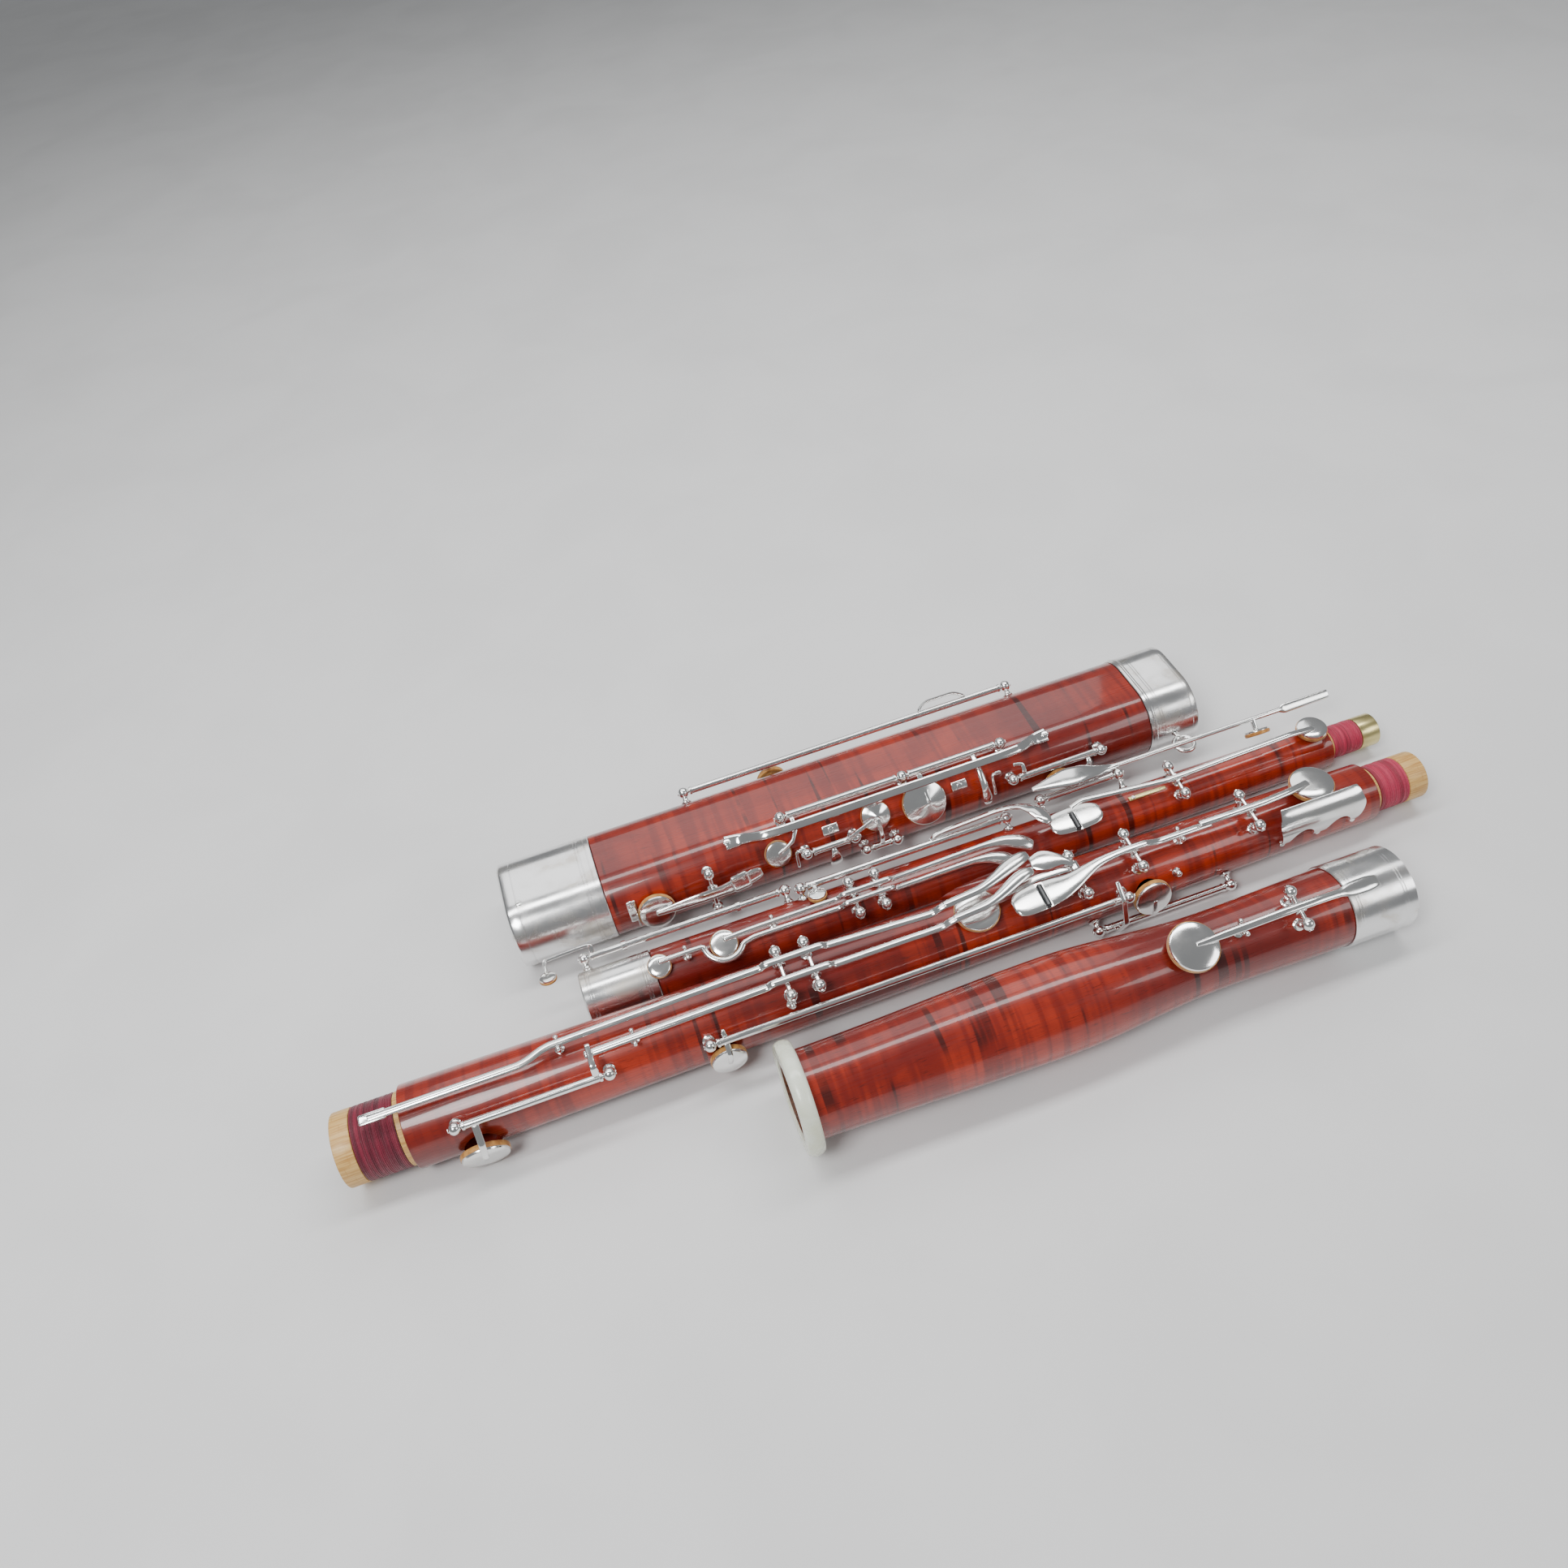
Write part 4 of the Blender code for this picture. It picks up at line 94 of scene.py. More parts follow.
class Graph:
    """A material's node tree, with short calls to add and join nodes."""

    def __init__(self, name: str) -> None:
        """Start a material with its Principled shader.

        Args:
            name: the material's name.
        """
        self.material = bpy.data.materials.new(name)
        self.material.use_nodes = True
        self.tree = self.material.node_tree
        self.shader = self.tree.nodes["Principled BSDF"]
        self.place = self.add("ShaderNodeTexCoord").outputs["Object"]

    def add(self, kind: str, values: dict | None = None, **settings: object) -> bpy.types.Node:
        """Add a node.

        Args:
            kind: the node's type name.
            values: input name or index to a number, a colour or a socket to join.
            settings: the node's own properties.

        Returns:
            The new node.
        """
        node = self.tree.nodes.new(kind)
        for key, setting in settings.items():
            setattr(node, key, setting)
        for key, value in (values or {}).items():
            if isinstance(value, Socket):
                self.tree.links.new(value, node.inputs[key])
            else:
                node.inputs[key].default_value = value
        return node

    def noise(self, stretch: Numbers, detail: float = 2.0, warp: float = 0.0) -> Socket:
        """Noise whose features are one unit over stretch long, in metres, along each axis.

        Args:
            stretch: features per metre along each axis.
            detail: how many finer layers it has.
            warp: how much it is distorted.

        Returns:
            The noise's socket.
        """
        scaled = self.add("ShaderNodeMapping", {"Vector": self.place, "Scale": tuple(stretch)})
        values = {"Vector": scaled.outputs[0], "Scale": 1.0, "Detail": detail, "Distortion": warp}
        return self.add("ShaderNodeTexNoise", values).outputs["Fac"]

    def spread(self, value: Socket, low: float, high: float,
               out_low: float = 0.0, out_high: float = 1.0) -> Socket:
        """Map a value from one range to another, smoothly and held at its ends.

        Args:
            value: the socket to map.
            low: the input that gives out_low.
            high: the input that gives out_high.
            out_low: the lowest result.
            out_high: the highest result.

        Returns:
            The mapped value's socket.
        """
        values = {"Value": value, "From Min": low, "From Max": high, "To Min": out_low, "To Max": out_high}
        return self.add("ShaderNodeMapRange", values, interpolation_type="SMOOTHSTEP").outputs[0]

    def mix(self, share: Socket | float, first: object, second: object,
            blend: str = "MIX") -> Socket:
        """Mix two colours.

        Args:
            share: how much of the second colour.
            first: a colour or a socket.
            second: a colour or a socket.
            blend: the blend mode.

        Returns:
            The mixed colour's socket.
        """
        node = self.add("ShaderNodeMix", data_type="RGBA", blend_type=blend)
        for index, value in ((0, share), (6, first), (7, second)):
            if isinstance(value, Socket):
                self.tree.links.new(value, node.inputs[index])
            else:
                node.inputs[index].default_value = value
        return node.outputs[2]

    def maths(self, operation: str, first: object, second: object = 0.0) -> Socket:
        """Result of a Math node on two values."""
        return self.add("ShaderNodeMath", {0: first, 1: second}, operation=operation).outputs[0]

    def bump(self, height: Socket, distance: float, strength: float = 1.0) -> None:
        """Raise the shading by a height in metres.

        Args:
            height: the socket that gives the height.
            distance: the height of a full step, in metres.
            strength: how much of it shows.
        """
        values = {"Height": height, "Distance": distance, "Strength": strength}
        node = self.add("ShaderNodeBump", values)
        self.tree.links.new(node.outputs[0], self.shader.inputs["Normal"])

    def colour(self, socket: Socket) -> None:
        """Join a socket to the base colour."""
        self.tree.links.new(socket, self.shader.inputs["Base Color"])

    def rough(self, socket: Socket) -> None:
        """Join a socket to the roughness."""
        self.tree.links.new(socket, self.shader.inputs["Roughness"])

    def plain(self, **values: float) -> None:
        """Set numbers on the shader's own sockets, by their names with underscores."""
        for key, value in values.items():
            self.shader.inputs[key.replace("_", " ")].default_value = value


@dataclass(frozen=True)
class FlamedMaple:
    """Red lacquered maple with short dark flames across its length."""

    finish: Finish = Finish.MAPLE
    light: Numbers = (0.40, 0.030, 0.009, 1.0)
    deep: Numbers = (0.15, 0.009, 0.006, 1.0)
    flame: Numbers = (0.022, 0.003, 0.003, 1.0)

    def build(self) -> Material:
        """Make the material.

        Returns:
            The material.
        """
        graph = Graph(self.finish.value)
        clouds = graph.noise((9.0, 26.0, 26.0), 3.0, 0.6)
        curl = graph.noise((190.0, 9.0, 9.0), 2.0, 0.25)
        grain = graph.noise((30.0, 900.0, 900.0), 3.0)
        pores = graph.noise((160.0, 1500.0, 1500.0), 2.0)
        tone = graph.mix(graph.spread(clouds, 0.32, 0.70), self.deep, self.light)
        tone = graph.mix(graph.spread(curl, 0.42, 0.62, 0.0, 0.72), tone, self.deep)
        tone = graph.mix(graph.spread(grain, 0.45, 0.75, 0.0, 0.30), tone, self.deep)
        tone = graph.mix(graph.spread(pores, 0.60, 0.72, 0.0, 0.45), tone, self.flame)
        lines = graph.spread(graph.noise((150.0, 4.5, 4.5), 1.0, 0.12), 0.62, 0.66)
        fade = graph.spread(graph.noise((14.0, 34.0, 34.0), 2.0), 0.42, 0.60)
        tone = graph.mix(
            graph.maths("MULTIPLY", graph.maths("MULTIPLY", lines, fade), 0.80), tone, self.flame)
        graph.colour(tone)
        graph.rough(graph.spread(grain, 0.3, 0.8, 0.26, 0.38))
        graph.bump(grain, 0.00003, 0.5)
        graph.plain(Coat_Weight=0.75, Coat_Roughness=0.06, Coat_IOR=1.45, IOR=1.42)
        return graph.material


@dataclass(frozen=True)
class PlainMaple:
    """Unlacquered wood, as on the tenons or inside a bore."""

    finish: Finish
    light: Numbers
    deep: Numbers

    def build(self) -> Material:
        """Make the material.

        Returns:
            The material.
        """
        graph = Graph(self.finish.value)
        grain = graph.noise((60.0, 1100.0, 1100.0), 3.0)
        ticks = graph.noise((700.0, 120.0, 120.0), 2.0)
        tone = graph.mix(graph.spread(grain, 0.35, 0.7), self.light, self.deep)
        tone = graph.mix(graph.spread(ticks, 0.60, 0.72, 0.0, 0.5), tone, self.deep)
        graph.colour(tone)
        graph.rough(graph.spread(grain, 0.3, 0.7, 0.42, 0.6))
        graph.bump(grain, 0.00006, 0.6)
        graph.plain(Coat_Weight=0.25, Coat_Roughness=0.25)
        return graph.material


@dataclass(frozen=True)
class Plated:
    """Bright plated metal with faint scratches and a little tarnish."""

    finish: Finish
    bright: Numbers
    tarnish: Numbers
    smooth: float
    dull: float
    tarnish_share: float
    lathe_marks: bool = False

    def build(self) -> Material:
        """Make the material.

        Returns:
            The material.
        """
        graph = Graph(self.finish.value)
        cloud = graph.noise((55.0, 70.0, 70.0), 4.0, 0.4)
        fine = graph.noise((2600.0, 90.0, 90.0) if self.lathe_marks else (500.0, 1500.0, 1500.0), 3.0)
        smear = graph.spread(cloud, 0.46, 0.74, 0.0, self.tarnish_share)
        graph.colour(graph.mix(smear, self.bright, self.tarnish))
        worn = graph.spread(cloud, 0.35, 0.75, self.smooth, self.dull)
        graph.rough(graph.maths("ADD", worn, graph.maths("MULTIPLY", fine, 0.05)))
        graph.bump(fine, 0.000012, 0.5)
        graph.plain(Metallic=1.0)
        return graph.material


@dataclass(frozen=True)
class Thread:
    """Waxed thread wound side by side round a tenon."""

    finish: Finish
    light: Numbers
    deep: Numbers
    pitch: float = 0.0005

    def build(self) -> Material:
        """Make the material.

        Returns:
            The material.
        """
        graph = Graph(self.finish.value)
        bands = graph.noise((520.0, 14.0, 14.0), 2.0)
        fuzz = graph.noise((900.0, 900.0, 900.0), 2.0)
        values = {"Vector": graph.place, "Scale": 1.0 / self.pitch / math.tau * 2.0, "Distortion": 0.4}
        turns = graph.add("ShaderNodeTexWave", values, wave_type="BANDS", bands_direction="X")
        tone = graph.mix(graph.spread(bands, 0.35, 0.65), self.deep, self.light)
        tone = graph.mix(graph.maths("MULTIPLY", fuzz, 0.35), tone, self.deep)
        # Painted shade: the grooves between turns, at the wave's troughs, are mixed towards near-black.
        tone = graph.mix(
            graph.spread(turns.outputs["Fac"], 0.0, 0.5, 0.45, 0.0), tone, (0.01, 0.001, 0.002, 1.0))
        graph.colour(tone)
        graph.rough(graph.spread(fuzz, 0.3, 0.7, 0.45, 0.7))
        graph.bump(graph.maths("ADD", turns.outputs["Fac"], bands), 0.00012, 0.8)
        graph.plain(Sheen_Weight=0.25, Sheen_Roughness=0.4)
        return graph.material


@dataclass(frozen=True)
class Speckled:
    """A dense material whose colour and gloss wander a little, such as ivory, leather or hard rubber."""

    finish: Finish
    light: Numbers
    deep: Numbers
    smooth: float
    dull: float
    grain: float
    relief: float
    coat: float = 0.0
    sheen: float = 0.0

    def build(self) -> Material:
        """Make the material.

        Returns:
            The material.
        """
        graph = Graph(self.finish.value)
        cloud = graph.noise((self.grain * 0.2,) * 3, 3.0, 0.5)
        grit = graph.noise((self.grain,) * 3, 3.0)
        tone = graph.mix(graph.spread(cloud, 0.35, 0.7), self.light, self.deep)
        graph.colour(graph.mix(graph.spread(grit, 0.5, 0.8, 0.0, 0.35), tone, self.deep))
        graph.rough(graph.spread(grit, 0.3, 0.7, self.smooth, self.dull))
        graph.bump(grit, self.relief, 0.6)
        graph.plain(Coat_Weight=self.coat, Coat_Roughness=0.12, Sheen_Weight=self.sheen)
        return graph.material


FINISHES: dict[Finish, Material] = {}


def mix_finishes() -> None:
    """Make every finish once."""
    recipes = (
        FlamedMaple(), PlainMaple(Finish.BARE_MAPLE, (0.72, 0.45, 0.15, 1.0), (0.50, 0.25, 0.06, 1.0)),
        PlainMaple(Finish.BORE, (0.16, 0.055, 0.025, 1.0), (0.07, 0.022, 0.012, 1.0)),
        Plated(Finish.SILVER, (0.92, 0.92, 0.91, 1.0), (0.72, 0.69, 0.62, 1.0), 0.10, 0.20, 0.30),
        Plated(Finish.TURNED_SILVER, (0.86, 0.86, 0.86, 1.0), (0.52, 0.44, 0.33, 1.0), 0.16, 0.30, 0.55,
        True), Thread(Finish.BURGUNDY, (0.28, 0.015, 0.045, 1.0), (0.11, 0.004, 0.018, 1.0)),
        Thread(Finish.PINK, (0.62, 0.035, 0.10, 1.0), (0.30, 0.012, 0.04, 1.0)),
        Plated(Finish.BRASS, (0.70, 0.60, 0.28, 1.0), (0.34, 0.30, 0.16, 1.0), 0.24, 0.42, 0.8, True),
        Speckled(Finish.IVORY, (0.80, 0.84, 0.72, 1.0), (0.70, 0.72, 0.55, 1.0), 0.22, 0.34, 300.0, 0.00001,
        0.4), Speckled(Finish.PAD, (0.66, 0.33, 0.08, 1.0), (0.38, 0.15, 0.03, 1.0), 0.45, 0.7, 1400.0,
        0.00008, 0.0, 0.2), Speckled(Finish.ROLLER, (0.035, 0.036, 0.04, 1.0), (0.012, 0.012, 0.014, 1.0),
        0.25, 0.4, 900.0, 0.00002, 0.2), Plated(Finish.NICKEL, (0.66, 0.64, 0.60, 1.0),
        (0.45, 0.42, 0.36, 1.0), 0.25, 0.4, 0.5), Speckled(Finish.FLOOR, (0.80, 0.80, 0.80, 1.0),
        (0.76, 0.76, 0.76, 1.0), 0.7, 0.85, 40.0, 0.00005),)
    for recipe in recipes:
        FINISHES[recipe.finish] = recipe.build()


# ==================================================================== solids, in millimetres
def polar(station: float, angle: float, radius: float) -> tuple[float, float, float]:
    """Point at an angle in degrees from z towards the front."""
    turn = math.radians(angle)
    return (station, -radius * math.sin(turn), radius * math.cos(turn))


def blend_points(first: Numbers, second: Numbers, share: float) -> tuple[float, ...]:
    """Point between two points of any dimension."""
    return tuple(a + (b - a) * share for a, b in zip(first, second))


def soften(route: Route, reach: float, space: int, steps: int = 4,
           closed: bool = False) -> list[tuple[float, ...]]:
    """Turn the corners of a route into short curves.

    Args:
        route: the points, of any dimension.
        reach: how far from each corner its curve starts.
        space: how many of the leading numbers are a position.
        steps: how many pieces each curve has.
        closed: whether the route joins its own start.

    Returns:
        The route with curved corners.
    """
    count = len(route)
    result: list[tuple[float, ...]] = []
    for index, here in enumerate(route):
        if not closed and index in (0, count - 1):
            result.append(tuple(here))
            continue
        before = route[index - 1]
        after = route[(index + 1) % count]
        back = math.dist(before[:space], here[:space])
        ahead = math.dist(after[:space], here[:space])
        start = blend_points(here, before, min(0.48, reach / max(back, 1e-6)))
        end = blend_points(here, after, min(0.48, reach / max(ahead, 1e-6)))
        for step in range(steps + 1):
            share = step / steps
            low = blend_points(start, here, share)
            high = blend_points(here, end, share)
            result.append(blend_points(low, high, share))
    return result


def as_solid(bm: bmesh.types.BMesh) -> Solid:
    """Turn a bmesh into an object with outward faces.

    Args:
        bm: the mesh, which is freed.

    Returns:
        The new object.
    """
    bmesh.ops.recalc_face_normals(bm, faces=bm.faces)
    mesh = bpy.data.meshes.new("solid")
    bm.to_mesh(mesh)
    bm.free()
    solid = bpy.data.objects.new("solid", mesh)
    bpy.context.collection.objects.link(solid)
    return solid


def bridge(bm: bmesh.types.BMesh, first: list, second: list) -> None:
    """Join two rings with faces; a ring of one vertex is a tip.

    Args:
        bm: the mesh that holds the rings.
        first: one ring's vertices.
        second: the next ring's.
    """
    count = max(len(first), len(second))
    for index in range(count):
        after = (index + 1) % count
        if len(first) == 1:
            bm.faces.new((first[0], second[after], second[index]))
        elif len(second) == 1:
            bm.faces.new((first[index], first[after], second[0]))
        else:
            bm.faces.new((first[index], first[after], second[after], second[index]))


def lathe(profile: Route, origin: Numbers = (0.0, 0.0, 0.0), axis: Numbers = ALONG,
          sides: int = POLISHED_SIDES, closed: bool = False, spread: float = 0.0,
          guide: Numbers = ACROSS) -> Solid:
    """Turn a profile of (along, radius) about an axis.

    Args:
        profile: the outline; a radius of 0 at an end makes a tip.
        origin: where along is 0.
        axis: the direction of along.
        sides: how many facets the round has.
        closed: whether the profile joins its own start, as a tube's does.
        spread: how far the two halves are parted along guide, for an oval.
        guide: the direction of the first facet.

    Returns:
        The turned solid.
    """
    way = Vector(axis).normalized()
    side = Vector(guide)
    if abs(way.dot(side)) > 0.9:
        side = Vector(UP)
    side = (side - way * side.dot(way)).normalized()
    rise = way.cross(side)
    bm = bmesh.new()
    rings = []
    for along, radius in profile:
        centre = Vector(origin) + way * along
        if radius < 1e-5:
            rings.append([bm.verts.new(centre)])
            continue
        ring = []
        for index in range(sides):
            angle = (index + 0.5) * math.tau / sides
            shift = math.copysign(spread, math.cos(angle))
            ring.append(bm.verts.new(centre + side * (radius * math.cos(angle) + shift)
                                     + rise * (radius * math.sin(angle))))
        rings.append(ring)
    for first, second in zip(rings, rings[1:]):
        bridge(bm, first, second)
    if closed:
        bridge(bm, rings[-1], rings[0])
    else:
        for ring in (rings[0], rings[-1]):
            if len(ring) > 1:
                bm.faces.new(ring)
    return as_solid(bm)


def bar(route: Route, square: float = 2.6, up: Numbers = UP, reach: float = 2.5, sides: int = 16) -> Solid:
    """Forged bar along a route of (x, y, z, half width, half height) with soft edges and round ends.

    Args:
        route: the points and sizes.
        square: 2 for an oval section, more for a flatter one.
        up: the direction of the height where the bar is level.
        reach: how gently the bar bends.
        sides: how many facets the section has.

    Returns:
        The bar.
    """
    entries = soften(route, reach, 3)
    first_gap = math.dist(entries[0][:3], entries[1][:3])
    last_gap = math.dist(entries[-1][:3], entries[-2][:3])
    lead, tail = [], []
    for step in (80.0, 55.0, 25.0):
        fall = 1.0 - math.cos(math.radians(step))
        hold = 1.0 - math.sin(math.radians(step))
        for entry, near, gap, kept in ((entries[0], entries[1], first_gap, lead),
                                       (entries[-1], entries[-2], last_gap, tail)):
            depth = min(entry[3], entry[4], gap * 0.9)
            place = blend_points(entry, near, depth * hold / gap)
            kept.append((*place[:3], entry[3] - depth * fall * 0.9, entry[4] - depth * fall * 0.9))
    last = blend_points(entries[-1], entries[-2], min(entries[-1][4], last_gap * 0.9) / last_gap)
    begin = blend_points(entries[0], entries[1], min(entries[0][4], first_gap * 0.9) / first_gap)
    entries = lead + [begin] + entries[1:-1] + [last] + tail[::-1]
    centres = [Vector(entry[:3]) for entry in entries]
    bm = bmesh.new()
    rings = []
    for index, (entry, centre) in enumerate(zip(entries, centres)):
        tangent = centres[min(index + 1, len(centres) - 1)] - centres[max(index - 1, 0)]
        tangent.normalize()
        guide = Vector(up)
        if abs(tangent.dot(guide)) > 0.95:
            guide = Vector(ACROSS) if abs(tangent.y) < 0.9 else Vector(ALONG)
        across = guide.cross(tangent).normalized()
        over = tangent.cross(across).normalized()
        ring = []
        for spoke in range(sides):
            angle = (spoke + 0.5) * math.tau / sides
            wide = math.copysign(abs(math.cos(angle)) ** (2.0 / square), math.cos(angle))
            high = math.copysign(abs(math.sin(angle)) ** (2.0 / square), math.sin(angle))
            ring.append(bm.verts.new(centre + across * (wide * entry[3]) + over * (high * entry[4])))
        rings.append(ring)
    for first, second in zip(rings, rings[1:]):
        bridge(bm, first, second)
    bm.faces.new(rings[0])
    bm.faces.new(rings[-1])
    return as_solid(bm)


def rod(start: Numbers, end: Numbers, radius: float, chamfer: float = 0.25) -> Solid:
    """Round rod with softened ends.

    Args:
        start: middle of one end.
        end: middle of the other end.
        radius: its radius.
        chamfer: how far its edges are cut back.

    Returns:
        The rod.
    """
    way = Vector(end) - Vector(start)
    length = way.length
    edge = min(chamfer, radius * 0.5)
    profile = ((0.0, radius - edge), (edge, radius), (length - edge, radius), (length, radius - edge))
    return lathe(profile, start, way)


def tube(start: Numbers, end: Numbers, outer: float, inner: float) -> Solid:
    """Hollow round tube with softened ends.

    Args:
        start: middle of one end.
        end: middle of the other end.
        outer: outside radius.
        inner: inside radius.

    Returns:
        The tube.
    """
    length = math.dist(start, end)
    edge = min(0.3, (outer - inner) * 0.4)
    profile = ((edge, outer), (length - edge, outer), (length, outer - edge), (length, inner), (0.0, inner),
               (0.0, outer - edge))
    way = Vector(end) - Vector(start)
    return lathe(profile, start, way, 24, closed=True)


def ball(centre: Numbers, radius: float) -> Solid:
    """Turned ball.

    Args:
        centre: its middle.
        radius: its radius.

    Returns:
        The ball.
    """
    steps = 10
    profile = [(-radius * math.cos(math.pi * step / steps), radius * math.sin(math.pi * step / steps))
               for step in range(steps + 1)]
    profile[0] = (-radius, 0.0)
    profile[-1] = (radius, 0.0)
    return lathe(profile, centre, UP)


def block(centre: Numbers, half: Numbers) -> Solid:
    """Plain cutter with square edges.

    Args:
        centre: its middle.
        half: half of each side.

    Returns:
        The cutter.
    """
    bm = bmesh.new()
    bmesh.ops.create_cube(bm, size=2.0, matrix=Matrix.Translation(centre) @ Matrix.Diagonal((*half, 1.0)))
    return as_solid(bm)


def unite(parts: Sequence[Solid], cuts: Sequence[Solid] = ()) -> Solid:
    """Unite solids and cut others out of them.

    Args:
        parts: the solids to unite.
        cuts: the solids to remove.

    Returns:
        One solid.
    """
    base = parts[0]
    for operation, tools in (("UNION", parts[1:]), ("DIFFERENCE", cuts)):
        for tool in tools:
            step = base.modifiers.new(operation, "BOOLEAN")
            step.operation = operation
            step.solver = "MANIFOLD"
            step.object = tool
    bpy.context.view_layer.update()
    graph = bpy.context.evaluated_depsgraph_get()
    mesh = bpy.data.meshes.new_from_object(base.evaluated_get(graph))
    for used in (base, *parts[1:], *cuts):
        bpy.data.objects.remove(used, do_unlink=True)
    solid = bpy.data.objects.new("solid", mesh)
    bpy.context.collection.objects.link(solid)
    return solid


def slotted(place: Numbers, axis: Numbers, radius: float, height: float) -> Solid:
    """Screw head with a slot, whose top faces along axis.

    Args:
        place: middle of its seat.
        axis: the way its top faces.
        radius: its radius.
        height: its height.

    Returns:
        The screw head.
    """
    edge = height * 0.4
    profile = ((-height, radius), (height - edge, radius), (height - edge * 0.3, radius - edge * 0.7),
               (height, radius - edge * 1.6), (height + 0.05, 0.0))
    head = lathe(profile, place, axis)
    way = Vector(axis).normalized()
    slot_way = Vector(ALONG) if abs(way.x) < 0.9 else Vector(ACROSS)
    middle = Vector(place) + way * height
    start = middle - slot_way * (radius + 1.0)
    end = middle + slot_way * (radius + 1.0)
    route = ((*start, radius * 0.16, height * 0.45), (*end, radius * 0.16, height * 0.45))
    return unite([head], [bar(route, 8.0, way)])


def grooves(radius: float, stations: Sequence[float], depth: float) -> list[tuple[float, float]]:
    """Fine turned lines in a profile that runs along at one radius.

    Args:
        radius: the radius of the profile.
        stations: the middle of each line.
        depth: how deep they are cut.

    Returns:
        The points of the lines.
    """
    result = []
    for station in stations:
        result += [
            (station - 0.4, radius), (station - 0.15, radius - depth), (station + 0.15, radius - depth),
            (station + 0.4, radius)]
    return result


@dataclass(frozen=True)
class PadCup:
    """Round key cup with a leather pad under it."""

    station: float
    angle: float
    seat: float
    radius: float
    height: float = 4.6
    dome: float = 0.9
    pad: float = 3.0

    def metal(self) -> Solid:
        """Cup with a rolled rim and a low dome, or a spun cone where the dome is tall.

        Returns:
            The cup.
        """
        low = self.pad * 0.85
        rim = self.radius - 0.25
        top = self.height
        profile = [(low, 0.0), (low, rim - 0.9), (low, rim - 0.15), (low + 0.35, rim), (top * 0.72, rim),
                   (top * 0.92, rim * 0.965), (top, rim * 0.90)]
        if self.dome > 1.5:
            profile += [(top + self.dome * 0.30, rim * 0.62), (top + self.dome * 0.72, rim * 0.22),
                        (top + self.dome, rim * 0.07)]
        else:
            profile += [(top + self.dome * 0.5, rim * 0.55), (top + self.dome * 0.85, rim * 0.25)]
        profile.append((top + self.dome, 0.0))
        return lathe(
            profile, polar(self.station, self.angle, self.seat), polar(0.0, self.angle, 1.0), PAD_SIDES)

    def leather(self) -> Solid:
        """Pad that stands a little out of the cup.

        Returns:
            The pad.
        """
        wide = self.radius
        deep = self.pad
        profile = [
            (0.0, 0.0), (0.0, wide * 0.62), (0.25, wide * 0.66), (0.05, wide * 0.74), (0.0, wide - 0.8),
            (0.25, wide - 0.2), (0.7, wide), (deep, wide), (deep, 0.0)]
        return lathe(
            profile, polar(self.station, self.angle, self.seat), polar(0.0, self.angle, 1.0), PAD_SIDES)


# ==================================================================== where pieces go
@dataclass(frozen=True)
class Section:
    """One joint of the instrument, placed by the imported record's flat face at its first end."""

    body: str
    mount: str
    mount_height: float
    side: float = 0.0

    def matrix(self) -> Matrix:
        """Matrix from this joint's millimetres to the frame's metres.

        Returns:
            The matrix.
        """
        face = next(entry for entry in frame["record"]["mounts"] if entry["name"] == self.mount)
        along = -Vector(face["axis"]).normalized()
        rise = along.cross(Vector(ACROSS)).normalized()
        origin = Vector(face["pos_m"]) - rise * (self.mount_height * MM)
        turn = Matrix((along, Vector(ACROSS), rise)).transposed().to_4x4()
        return Matrix.Translation(origin) @ turn @ Matrix.Scale(MM, 4) @ Matrix.Translation(
            (0.0, self.side, 0.0))


@dataclass(frozen=True)
class Hardware:
    """Sizes that all posts, rods and levers share."""

    foot: float = 3.2
    foot_height: float = 1.2
    stem: float = 1.7
    ball: float = 3.4
    axle: float = 1.2
    pivot: float = 0.9
    barrel: float = 2.1
    hub: float = 3.1
    hub_length: float = 5.2
    bar_width: float = 4.2
    bar_height: float = 2.2
    hub_to_bar: float = 3.2
    pad_lift: float = 3.0


HARDWARE = Hardware()


